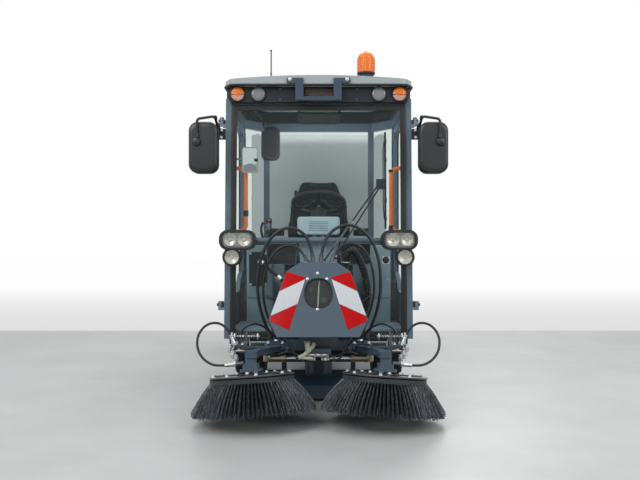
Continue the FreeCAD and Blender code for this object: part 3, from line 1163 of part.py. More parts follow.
def main():
    os.makedirs("parts", exist_ok=True)
    wheel_set()
    export("front_frame", front_frame())
    export("rear_frame", rear_frame())
    export("hopper", hopper())
    export("hopper_flap", hopper_flap())
    export("hopper_ram_barrels", *both_sides(ram_barrel()))
    export("hopper_ram_rods", *both_sides(ram_rod()))
    export("rear_side_guards", *rear_arches(), *both_sides(side_tank()))
    export("engine_block", engine())
    export("rear_covers", *both_sides(engine_cover()), rear_panel())
    export("rear_lamps", *rear_lamps())
    export("rear_duct", rear_duct())
    export("suction_mouth", joined(suction_mouth(), front_duct()))
    export("duct_bellows", bellows())
    brackets = [s for z in HINGE_HEIGHTS for s in both_sides(hinge_bracket(z))]
    export("cab_frame", joined(cab_frame(), *brackets))
    export("cab_shell", cab_shell())
    export("front_arches", *front_arches())
    export("cab_glazing", windscreen(), rear_glass(), *both_sides(quarter_glass()))
    export("cab_roof", cab_roof())
    export("roof_lamp_panel", roof_trim())
    export_sides("door", joined(door_frame(), door_handle()))
    export_sides("door_glass", door_glass())
    base, cushion, back, bracket, arms = seat_parts()
    export("seat_base", joined(base, bracket), *arms)
    export("seat_cushion", cushion)
    export("seat_back", back)
    wheel, column = steering()
    export("steering_wheel", wheel)
    export("cab_fittings", column, dash(), *consoles())
    housing, lenses = headlamps()
    export("headlamp_housings", *both_sides(housing))
    case, glass = mirror()
    export("mirrors", *both_sides(case))
    export("mirror_glasses", *both_sides(glass))
    base, dome = beacon()
    export("roof_fittings", base, antenna())
    export("lamp_lenses", *[s for lens in lenses for s in both_sides(lens)], *roof_lenses(), dome)
    export("wiper", wiper())
    export("hose_upper_right", hose(UPPER_RIGHT))
    export("hose_lower_right", hose(LOWER_RIGHT))
    export("hose_upper_left", hose(UPPER_LEFT))
    export("hose_lower_left", hose(LOWER_LEFT))
    export_sides("hose_motor", hose(MOTOR_HOSE))
    export("sweeper_hood", hood())
    export("front_carrier", front_carrier())
    export_sides("knuckle", knuckle())
    export_sides("brush_arm", brush_arm())
    export_sides("swing_ram_barrel", swing_barrel())
    export_sides("swing_ram_rod", swing_rod())
    left_brush = tilted(brush())
    export("brush_left", left_brush)
    export("brush_right", mirrored(left_brush))


main()
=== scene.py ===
"""Looks of a compact road sweeper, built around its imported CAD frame.

Laid out as a Blender add-on and run as a script. Everything is in metres, in the CAD's own frame:
+Z is up, the machine drives towards -Y and X = 0 is its middle plane.
"""

import math

import bmesh
import bpy
from bpy.props import FloatProperty, FloatVectorProperty
from mathutils import Matrix, Vector


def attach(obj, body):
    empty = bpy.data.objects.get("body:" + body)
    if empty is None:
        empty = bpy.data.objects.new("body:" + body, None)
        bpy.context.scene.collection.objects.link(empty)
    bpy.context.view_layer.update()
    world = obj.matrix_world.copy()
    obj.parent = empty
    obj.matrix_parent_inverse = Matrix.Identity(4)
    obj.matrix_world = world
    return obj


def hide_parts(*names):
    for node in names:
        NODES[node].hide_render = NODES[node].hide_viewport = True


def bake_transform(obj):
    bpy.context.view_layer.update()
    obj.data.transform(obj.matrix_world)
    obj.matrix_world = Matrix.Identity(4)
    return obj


bl_info = {
    "name": "Road sweeper looks",
    "version": (1, 0, 0),
    "blender": (4, 5, 0),
    "location": "3D View > Sidebar > Sweeper",
    "description": "Materials and detailed pieces for a compact road sweeper",
    "category": "Object",
}

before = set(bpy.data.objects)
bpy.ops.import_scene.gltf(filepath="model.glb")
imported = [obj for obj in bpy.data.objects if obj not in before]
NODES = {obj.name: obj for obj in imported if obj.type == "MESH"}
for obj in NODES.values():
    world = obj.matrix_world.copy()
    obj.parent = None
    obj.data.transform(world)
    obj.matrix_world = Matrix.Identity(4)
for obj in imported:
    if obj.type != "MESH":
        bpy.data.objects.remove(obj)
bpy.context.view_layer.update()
SIDES = (("left", 1), ("right", -1))
FRONT, REAR, UP = (0, -1, 0), (0, 1, 0), (0, 0, 1)


def colour_choice(name, words, default):
    return FloatVectorProperty(name=name, description=words, default=default, subtype="COLOR", min=0,
                               max=1, size=3)


def size_choice(name, words, default):
    return FloatProperty(name=name, description=words, default=default, min=0, unit="LENGTH", precision=4)


class SweeperPaint(bpy.types.PropertyGroup):
    """Colours of the sweeper, as linear values."""

    slate: colour_choice("Frame paint", "Blue-grey paint of the frame, the hood and the arms",
                         (0.044, 0.076, 0.11))
    # The post colour is the frame paint made lighter: painted light for the shine on the posts' outer faces.
    post: colour_choice("Post paint", "Lighter blue-grey paint of the cab's posts and doors",
                        (0.14, 0.195, 0.255))
    pale: colour_choice("Body paint", "Pale grey of the roof cap, the hopper and the rear covers",
                        (0.37, 0.405, 0.415))
    soft_grey: colour_choice("Trim grey", "Grey of the display and the consoles", (0.3, 0.41, 0.475))
    black: colour_choice("Black plastic", "Moulded black plastic of arches, mirrors and seals",
                         (0.016, 0.018, 0.021))
    charcoal: colour_choice("Lamp panel", "Dark grey of the lamp panel over the windscreen",
                            (0.013, 0.019, 0.026))
    orange: colour_choice("Orange", "Grab handles", (0.98, 0.22, 0.03))
    amber: colour_choice("Amber", "Beacon and turn lamps", (0.9, 0.2, 0.006))
    red: colour_choice("Red", "Red bands of the warning stripes", (0.5, 0.003, 0.004))
    white: colour_choice("White", "White bands of the warning stripes", (0.66, 0.68, 0.71))
    rubber: colour_choice("Rubber", "Tyres and hoses", (0.013, 0.0135, 0.0145))
    cloth: colour_choice("Seat cloth", "Woven seat cover", (0.013, 0.0155, 0.019))
    wire: colour_choice("Bristle", "Wire of the disc brushes", (0.04, 0.046, 0.055))


class SweeperSizes(bpy.types.PropertyGroup):
    """Sizes of the added pieces."""

    bristle_length: size_choice("Bristle length", "Length of a bristle below its plate", 0.212)
    bristle_width: size_choice("Bristle width", "Width of one flat bristle bundle", 0.0034)
    weave: size_choice("Weave pitch", "Distance between two threads of the seat cloth", 0.0024)


def paint():
    return bpy.context.scene.sweeper_paint


def sizes():
    return bpy.context.scene.sweeper_sizes


EDGE_SAMPLES = 4


class Wire:
    """One socket of a finish, so that a sum on it reads as a plain sum."""

    def __init__(self, finish, socket):
        self.finish = finish
        self.socket = socket

    def reckon(self, operation, first, second=0.0):
        return self.finish.node("ShaderNodeMath", {"operation": operation}, {0: first, 1: second})

    def __add__(self, other):
        return self.reckon("ADD", self, other)

    def __sub__(self, other):
        return self.reckon("SUBTRACT", self, other)

    def __rsub__(self, other):
        return self.reckon("SUBTRACT", other, self)

    def __mul__(self, other):
        return self.reckon("MULTIPLY", self, other)

    __radd__ = __add__
    __rmul__ = __mul__

    def above(self, level):
        return self.reckon("GREATER_THAN", self, level)

    def below(self, level):
        return self.reckon("LESS_THAN", self, level)

    def size(self):
        return self.reckon("ABSOLUTE", self)

    def wave(self):
        return self.reckon("SINE", self)

    def top(self, other):
        return self.reckon("MAXIMUM", self, other)

    def within(self, low, high):
        return self.above(low) * self.below(high)

    def between(self, low, high):
        """0 at low and under, 1 at high and over, smooth between."""
        return self.finish.node("ShaderNodeMapRange", {"interpolation_type": "SMOOTHSTEP"},
                                {"Value": self, "From Min": low, "From Max": high},)


SHADER_INPUTS = {"base": "Base Color", "rough": "Roughness", "metal": "Metallic", "normal": "Normal",
                 "coat": "Coat Weight", "coat_rough": "Coat Roughness", "ior": "IOR",
                 "sheen": "Sheen Weight", "glow": "Emission Color", "glow_strength": "Emission Strength",
                 "specular": "Specular IOR Level"}


class Finish:
    """One material, with the nodes that make it."""

    def __init__(self, name):
        self.material = bpy.data.materials.new(name)
        self.material.use_nodes = True
        self.tree = self.material.node_tree
        self.tree.nodes.clear()
        self.shader = self.tree.nodes.new("ShaderNodeBsdfPrincipled")
        self.end = self.tree.nodes.new("ShaderNodeOutputMaterial")
        self.tree.links.new(self.shader.outputs[0], self.end.inputs["Surface"])
        self.places = self.tree.nodes.new("ShaderNodeTexCoord")

    def feed(self, socket, value):
        if isinstance(value, Wire):
            self.tree.links.new(value.socket, socket)
        elif hasattr(value, "__len__") and len(value) == 3 and socket.type == "RGBA":
            socket.default_value = (*value, 1)
        else:
            socket.default_value = value

    def node(self, kind, settings=None, sockets=None, output=0):
        made = self.tree.nodes.new(kind)
        for name, value in (settings or {}).items():
            setattr(made, name, value)
        for name, value in (sockets or {}).items():
            self.feed(made.inputs[name], value)
        return Wire(self, made.outputs[output])

    def place(self, stretch=(1, 1, 1)):
        start = Wire(self, self.places.outputs["Object"])
        return self.node("ShaderNodeMapping", {}, {"Vector": start, "Scale": stretch})

    def axes(self):
        split = self.node("ShaderNodeSeparateXYZ", {}, {0: Wire(self, self.places.outputs["Object"])})
        return [Wire(self, output) for output in split.socket.node.outputs]

    def noise(self, scale, detail=3.0, rough=0.5, where=None):
        sockets = {"Vector": where or self.place(), "Scale": scale, "Detail": detail, "Roughness": rough}
        return self.node("ShaderNodeTexNoise", {}, sockets)

    def cells(self, scale, feature):
        return self.node("ShaderNodeTexVoronoi", {"feature": feature},
                         {"Vector": self.place(), "Scale": scale})

    def mix(self, share, first, second):
        made = self.tree.nodes.new("ShaderNodeMix")
        made.data_type = "RGBA"
        for index, value in ((0, share), (6, first), (7, second)):
            self.feed(made.inputs[index], value)
        return Wire(self, made.outputs[2])

    def speckle(self, colour, share, low=0.75, high=1.2):
        """The colour, made darker and lighter by a share from 0 to 1."""
        dark = tuple(part * low for part in colour)
        light = tuple(min(1.0, part * high) for part in colour)
        return self.mix(share, dark, light)

    def eased(self, radius):
        """The surface's normal with its edges rounded by a radius."""
        return self.node("ShaderNodeBevel", {"samples": EDGE_SAMPLES}, {"Radius": radius})

    def edges(self, eased):
        """1 at an edge and 0 on a plain face."""
        true = self.node("ShaderNodeNewGeometry", {}, {}, 1)
        match = self.node("ShaderNodeVectorMath", {"operation": "DOT_PRODUCT"}, {0: eased, 1: true}, 1)
        return (1 - match).between(0.01, 0.22)

    def bump(self, height, distance, strength=1.0, over=None):
        sockets = {"Height": height, "Distance": distance, "Strength": strength}
        if over is not None:
            sockets["Normal"] = over
        return self.node("ShaderNodeBump", {}, sockets)

    def surface(self, **sockets):
        for name, value in sockets.items():
            self.feed(self.shader.inputs[SHADER_INPUTS[name]], value)
        return self.material


def painted(name, colour, gloss=0.32, edge_wear_and_highlight=0.35, edge=0.0015, peel=260.0, coat=0.35):
    """Sprayed paint: slight mottling, orange peel and edges that catch the light: worn rougher, with a
    painted highlight in a lighter copy of the paint.
    """
    f = Finish(name)
    eased = f.eased(edge)
    cloudy = f.noise(3.1, 4.0, 0.6)
    fine = f.noise(41.0, 5.0, 0.65)
    shade = f.speckle(colour, cloudy * 0.6 + fine * 0.4, 0.8, 1.18)
    # Edges: rougher where worn, and a painted highlight in a lighter copy of the colour.
    worn_lit_edge = f.edges(eased) * f.noise(23.0, 4.0).between(0.35, 0.62) * edge_wear_and_highlight
    bright = tuple(min(1.0, part * 1.9 + 0.05) for part in colour)
    rough = fine * 0.22 + (gloss - 0.06) + worn_lit_edge * 0.25
    skin = f.bump(f.noise(peel, 2.0), 0.0009, 0.22, eased)
    return f.surface(base=f.mix(worn_lit_edge, shade, bright), rough=rough, normal=skin, coat=coat,
                     coat_rough=0.12)


def moulded(name, colour, gloss=0.48, grain=520.0, depth=0.0006, edge=0.0018, lift=1.7):
    """Moulded plastic with a leather-like grain and scuffed edges that also carry a painted highlight in a
    paler copy of the colour.
    """
    f = Finish(name)
    eased = f.eased(edge)
    grainy = f.cells(grain, "SMOOTH_F1")
    cloudy = f.noise(5.2, 4.0, 0.62)
    # Scuffed edges, painted paler as a highlight.
    scuffed_lit_edge = f.edges(eased) * f.noise(31.0, 5.0).between(0.38, 0.66)
    pale = tuple(min(1.0, part * lift + 0.018) for part in colour)
    shade = f.mix(scuffed_lit_edge * 0.55, f.speckle(colour, cloudy, 0.78, 1.3), pale)
    rough = cloudy * 0.16 + (gloss - 0.05) - scuffed_lit_edge * 0.08
    return f.surface(base=shade, rough=rough, normal=f.bump(grainy, depth, 0.5, eased), specular=0.45)


def tyre_rubber(name, colour):
    """Black rubber, dusted grey in patches."""
    f = Finish(name)
    cloudy = f.noise(9.0, 5.0, 0.6)
    gritty = f.noise(320.0, 3.0, 0.7)
    grey = tuple(part * 2.3 + 0.006 for part in colour)
    shade = f.mix(cloudy.between(0.36, 0.74) * 0.55, colour, grey)
    return f.surface(base=shade, rough=gritty * 0.16 + 0.58, normal=f.bump(gritty, 0.0008, 0.4),
                     specular=0.35)


def bare_metal(name, colour, gloss=0.3, spots=0.25, edge=0.001):
    """Plated or bare metal, brushed a little and dulled in patches."""
    f = Finish(name)
    brushed = f.noise(90.0, 4.0, 0.7, f.place((1, 1, 9)))
    dull = f.noise(17.0, 5.0, 0.66).between(0.42, 0.72)
    shade = f.mix(dull * spots, f.speckle(colour, brushed, 0.82, 1.12),
                  tuple(part * 0.45 for part in colour))
    rough = brushed * 0.18 + dull * 0.22 + (gloss - 0.09)
    return f.surface(base=shade, rough=rough, metal=0.92,
                     normal=f.bump(brushed, 0.0004, 0.25, f.eased(edge)))


def seen_through(f, share, tint=(1, 1, 1)):
    """Lets that share of the light through a finish, tinted."""
    see = f.tree.nodes.new("ShaderNodeBsdfTransparent")
    see.inputs["Color"].default_value = (*tint, 1)
    blend = f.tree.nodes.new("ShaderNodeMixShader")
    f.feed(blend.inputs[0], share)
    f.tree.links.new(f.shader.outputs[0], blend.inputs[1])
    f.tree.links.new(see.outputs[0], blend.inputs[2])
    f.tree.links.new(blend.outputs[0], f.end.inputs["Surface"])
    return f.material


def pane(name, tint, share=0.93, gloss=0.015):
    """A thin window: nearly clear, with a faint tint and a trace of dust."""
    f = Finish(name)
    film = f.noise(6.0, 5.0, 0.6).between(0.35, 0.9)
    f.surface(base=(0.1, 0.12, 0.12), rough=film * 0.05 + gloss, specular=0.75)
    return seen_through(f, film * -0.03 + share, tint)


def lens(name, colour, ribs=0.0, share=0.35, glow=0.0, coat=0.6):
    """A lamp's lens: coloured, glossy, a little see-through, with moulded ribs."""
    f = Finish(name)
    x, _, z = f.axes()
    shade = f.speckle(colour, f.noise(37.0, 3.0), 0.82, 1.12)
    normal = f.eased(0.001)
    if ribs:
        normal = f.bump((x * ribs).wave() * 0.5 + (z * ribs).wave() * 0.5, 0.0012, 0.6, normal)
    f.surface(base=shade, rough=f.noise(60.0) * 0.05 + 0.05, normal=normal, coat=coat, coat_rough=0.05)
    f.surface(glow=shade, glow_strength=glow, ior=1.49)
    return seen_through(f, share, [0.5 + 0.5 * part for part in colour])


def reflecting_sheet(name, colour, pitch=1100.0):
    """Warning tape: saturated film over a fine honeycomb."""
    f = Finish(name)
    comb = f.cells(pitch / 3.0, "DISTANCE_TO_EDGE")
    net = comb.between(0.02, 0.1)
    shade = f.mix(net, tuple(part * 0.8 for part in colour),
                  f.speckle(colour, f.noise(7.0, 3.0), 0.92, 1.08))
    return f.surface(base=shade, rough=f.noise(33.0) * 0.12 + 0.22, normal=f.bump(net, 0.0002, 0.3),
                     specular=0.12)


def striped_frame(name, colour, orange):
    """Black door parts whose inner grab handle is orange and glows faintly with painted light."""
    f = Finish(name)
    x, y, z = f.axes()
    inner = x.size().below(0.5435) * z.within(0.95, 1.62) * y.below(-0.86)
    eased = f.eased(0.0018)
    cloudy = f.noise(6.0, 4.0, 0.6)
    warm = f.speckle(orange, cloudy, 0.85, 1.12)
    cold = f.speckle(colour, cloudy, 0.8, 1.25)
    rough = cloudy * 0.16 + 0.38
    # The orange handle glows a little: painted light, though it is no lamp.
    f.surface(glow=f.mix(inner, (0.0, 0.0, 0.0), warm), glow_strength=0.22)
    return f.surface(base=f.mix(inner, cold, warm), rough=rough,
                     normal=f.bump(f.noise(420.0), 0.0005, 0.35, eased))


def lamp_panel(name, black, charcoal, slate):
    """Black lamp pods, a charcoal middle and a painted bracket before them."""
    f = Finish(name)
    x, y, z = f.axes()
    middle = x.size().below(0.285) * z.above(1.832)
    bracket = y.below(-1.1895)
    cloudy = f.noise(6.0, 4.0, 0.6)
    inner = f.mix(middle, f.speckle(black, cloudy, 0.8, 1.25), f.speckle(charcoal, cloudy, 0.85, 1.2))
    shade = f.mix(bracket, inner, f.speckle(slate, cloudy, 0.85, 1.15))
    rough = cloudy * 0.16 + 0.38
    skin = f.bump(f.noise(420.0), 0.0005, 0.35, f.eased(0.0015))
    return f.surface(base=shade, rough=rough, normal=skin, specular=0.3)


def woven(name, colour, pitch):
    """Woven seat cloth, with two thread directions and a soft sheen."""
    f = Finish(name)
    x, y, z = f.axes()
    turn = 2 * math.pi / pitch
    across = (x * turn).wave() * 0.5 + 0.5
    along = ((y + z) * turn).wave() * 0.5 + 0.5
    thread = across.top(along) * 0.7 + f.noise(900.0, 2.0) * 0.3
    faded = f.noise(6.5, 5.0, 0.6)
    shade = f.mix(thread * 0.6 + faded * 0.4, tuple(part * 0.55 for part in colour),
                  tuple(part * 1.7 for part in colour))
    return f.surface(base=shade, rough=faded * 0.1 + 0.82, normal=f.bump(thread, 0.0009, 0.75), sheen=0.08,
                     specular=0.25)


def bristle_wire(name, colour):
    """Flat black wire with pale, worn ends near the floor, and pale streaks along it that are painted
    highlights.
    """
    f = Finish(name)
    z = f.axes()[2]
    streak_glint = f.noise(160.0, 2.0, 0.6, f.place((1, 1, 0.08)))
    worn = (1 - z.between(0.035, 0.19)) * 0.55
    pale = tuple(part * 4.2 + 0.012 for part in colour)
    # The pale streaks are painted highlights on the wires; the pale ends near the floor are wear.
    shade = f.mix(streak_glint.between(0.46, 0.66) * 0.62 + worn * 0.38,
                  tuple(part * 0.55 for part in colour), pale)
    return f.surface(base=shade, rough=streak_glint * 0.2 + 0.34, metal=0.25, normal=f.bump(streak_glint, 0.0003, 0.3))


def mirror_silver(name):
    f = Finish(name)
    film = f.noise(8.0, 4.0)
    return f.surface(base=f.speckle((0.72, 0.76, 0.79), film, 0.96, 1.02),
                     rough=film * 0.03 + 0.01, metal=1.0)


def cast_iron(name, colour=(0.07, 0.075, 0.08)):
    f = Finish(name)
    sandy = f.noise(230.0, 4.0, 0.7)
    oily = f.noise(4.5, 5.0, 0.6).between(0.45, 0.75)
    shade = f.mix(oily * 0.6, f.speckle(colour, sandy, 0.7, 1.3), (0.02, 0.018, 0.015))
    return f.surface(base=shade, rough=sandy * 0.2 + 0.5 - oily * 0.2, metal=0.35,
                     normal=f.bump(sandy, 0.001, 0.5, f.eased(0.002)))


FINISHES = {}


def finish_of(name):
    """The finish of that name, made on first use."""
    if name not in FINISHES:
        FINISHES[name] = FINISH_MAKERS[name](name)
    return FINISHES[name]


FINISH_MAKERS = {
    "slate_paint": lambda n: painted(n, tuple(paint().slate), coat=0.15),
    # Frame paint made lighter: painted light on the cab's posts and door frames.
    "post_paint": lambda n: painted(n, tuple(paint().post)),
    "pale_paint": lambda n: painted(n, tuple(paint().pale), gloss=0.36, edge_wear_and_highlight=0.15, edge=0.004),
    "rim_paint": lambda n: painted(n, (0.28, 0.29, 0.3), gloss=0.3, edge_wear_and_highlight=0.2),
    "black_plastic": lambda n: moulded(n, tuple(paint().black)),
    "charcoal_plastic": lambda n: moulded(n, tuple(paint().charcoal), gloss=0.4, grain=640.0),
    "grey_plastic": lambda n: moulded(n, tuple(paint().soft_grey), gloss=0.42, grain=700.0, lift=1.25),
    "cream_plastic": lambda n: moulded(n, (0.52, 0.49, 0.4), gloss=0.4, grain=800.0, lift=1.1),
    "tyre_rubber": lambda n: tyre_rubber(n, tuple(paint().rubber)),
    "hose_rubber": lambda n: moulded(n, tuple(paint().rubber), gloss=0.42, grain=900.0, depth=0.0003,
                                     lift=2.2),
    "seal_rubber": lambda n: moulded(n, (0.009, 0.0095, 0.01), gloss=0.6, grain=900.0, lift=1.6),
    "plated_steel": lambda n: bare_metal(n, (0.62, 0.63, 0.64), gloss=0.28),
    "dark_steel": lambda n: bare_metal(n, (0.1, 0.105, 0.11), gloss=0.42),
    "tan_steel": lambda n: bare_metal(n, (0.4, 0.35, 0.27), gloss=0.36),
    "chrome": lambda n: bare_metal(n, (0.8, 0.81, 0.82), gloss=0.12, spots=0.06),
    "cast_iron": cast_iron,
    "window_glass": lambda n: pane(n, (0.955, 0.98, 0.975)),
    "clear_lens": lambda n: lens(n, (0.78, 0.8, 0.8), ribs=900.0, share=0.55),
    "amber_lens": lambda n: lens(n, tuple(paint().amber), ribs=420.0, share=0.12, glow=0.09, coat=0.05),
    "red_lens": lambda n: lens(n, (0.55, 0.01, 0.012), ribs=520.0, share=0.14),
    "door_frame_finish": lambda n: striped_frame(n, tuple(paint().post), tuple(paint().orange)),
    "orange_grip": lambda n: moulded(n, tuple(paint().orange), gloss=0.36, grain=800.0, lift=1.2),
    "red_tape": lambda n: reflecting_sheet(n, tuple(paint().red)),
    "white_tape": lambda n: reflecting_sheet(n, tuple(paint().white)),
    "mirror_silver": mirror_silver,
    "bristle_wire": lambda n: bristle_wire(n, tuple(paint().wire)),
    "lamp_cover": lambda n: lens(n, (0.2, 0.215, 0.23), ribs=300.0, share=0.0),
    "head_glass": lambda n: pane(n, (0.93, 0.93, 0.91), share=0.9, gloss=0.02),
    "mirror_plastic": lambda n: moulded(n, (0.02, 0.0225, 0.026), gloss=0.3, grain=900.0, depth=0.0002,
                                        lift=2.0),
    # A much lighter copy of the pale body paint: painted light on the hopper's shaded front.
    "hopper_paint": lambda n: painted(n, (0.62, 0.645, 0.64), gloss=0.4, edge_wear_and_highlight=0.1, edge=0.004),
    "display_grey": lambda n: moulded(n, (0.56, 0.71, 0.8), gloss=0.36, grain=700.0, lift=1.1),
    "pad_grey": lambda n: moulded(n, (0.058, 0.065, 0.072), gloss=0.5, grain=500.0, lift=1.3),
    "lamp_panel_finish": lambda n: lamp_panel(n, tuple(paint().black), tuple(paint().charcoal),
                                              tuple(paint().slate)),
    "black_paint": lambda n: painted(n, (0.017, 0.0185, 0.021), gloss=0.34, edge_wear_and_highlight=0.3, edge=0.001),
    "smoked_glass": lambda n: pane(n, (0.86, 0.86, 0.8), share=0.82, gloss=0.03),
    "reflector": lambda n: bare_metal(n, (0.95, 0.94, 0.9), gloss=0.22, spots=0.0),
    "grille_mesh": lambda n: bare_metal(n, (0.46, 0.4, 0.33), gloss=0.4),
    "tape_joint": lambda n: moulded(n, (0.4, 0.42, 0.45), gloss=0.4, lift=1.1),
    "seat_cloth": lambda n: woven(n, tuple(paint().cloth), sizes().weave),
    "seat_vinyl": lambda n: moulded(n, (0.018, 0.02, 0.023), gloss=0.46, grain=760.0, lift=1.8),
    "dark_screen": lambda n: lens(n, (0.012, 0.014, 0.017), share=0.0),
}

NODE_FINISHES = (("tyre_", "tyre_rubber"), ("rim_", "rim_paint"), ("front_frame", "slate_paint"),
                 ("rear_frame", "slate_paint"), ("hopper_ram_barrels", "slate_paint"),
                 ("hopper_ram_rods", "chrome"), ("hopper", "hopper_paint"),
                 ("rear_side_guards", "black_plastic"), ("engine_block", "cast_iron"),
                 ("rear_covers", "slate_paint"), ("rear_lamps", "red_lens"), ("rear_duct", "black_plastic"),
                 ("suction_mouth", "slate_paint"), ("duct_bellows", "seal_rubber"),
                 ("cab_frame", "post_paint"), ("cab_shell", "grey_plastic"),
                 ("front_arches", "black_plastic"), ("cab_glazing", "window_glass"),
                 ("cab_roof", "pale_paint"), ("roof_lamp_panel", "lamp_panel_finish"),
                 ("roof_fittings", "black_plastic"), ("door_glass", "window_glass"),
                 ("door_", "door_frame_finish"), ("seat_base", "black_plastic"), ("seat_", "seat_vinyl"),
                 ("steering_wheel", "black_plastic"), ("cab_fittings", "grey_plastic"),
                 ("headlamp_housings", "black_plastic"), ("lamp_lenses", "clear_lens"),
                 ("mirror_glasses", "mirror_silver"), ("mirrors", "black_plastic"),
                 ("wiper", "black_plastic"), ("sweeper_hood", "slate_paint"),
                 ("front_carrier", "slate_paint"), ("knuckle_", "slate_paint"),
                 ("brush_arm_", "slate_paint"), ("swing_ram_barrel_", "tan_steel"),
                 ("swing_ram_rod_", "chrome"), ("brush_", "bristle_wire"), ("hose_", "hose_rubber"),)


def finish_for(node):
    return next(finish for start, finish in NODE_FINISHES if node.startswith(start))


def object_from(name, mesh, finishes, body):
    """A shown piece at the origin, on a body, with its finishes in their slots."""
    piece = bpy.data.objects.new(name, mesh)
    bpy.context.scene.collection.objects.link(piece)
    if mesh.materials:
        mesh.materials.clear()
    for finish in [finishes] if isinstance(finishes, str) else finishes:
        mesh.materials.append(finish_of(finish))
    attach(piece, body)
    return piece


def object_from_bmesh(name, bm, finishes, body, smooth=35):
    """Turns a bmesh into a shown piece, smooth where its faces meet at under so many degrees."""
    bmesh.ops.remove_doubles(bm, verts=bm.verts, dist=1e-6)
    bmesh.ops.recalc_face_normals(bm, faces=bm.faces)
    mesh = bpy.data.meshes.new(name)
    bm.to_mesh(mesh)
    bm.free()
    mesh.shade_smooth()
    mesh.set_sharp_from_angle(angle=math.radians(smooth))
    return object_from(name, mesh, finishes, body)


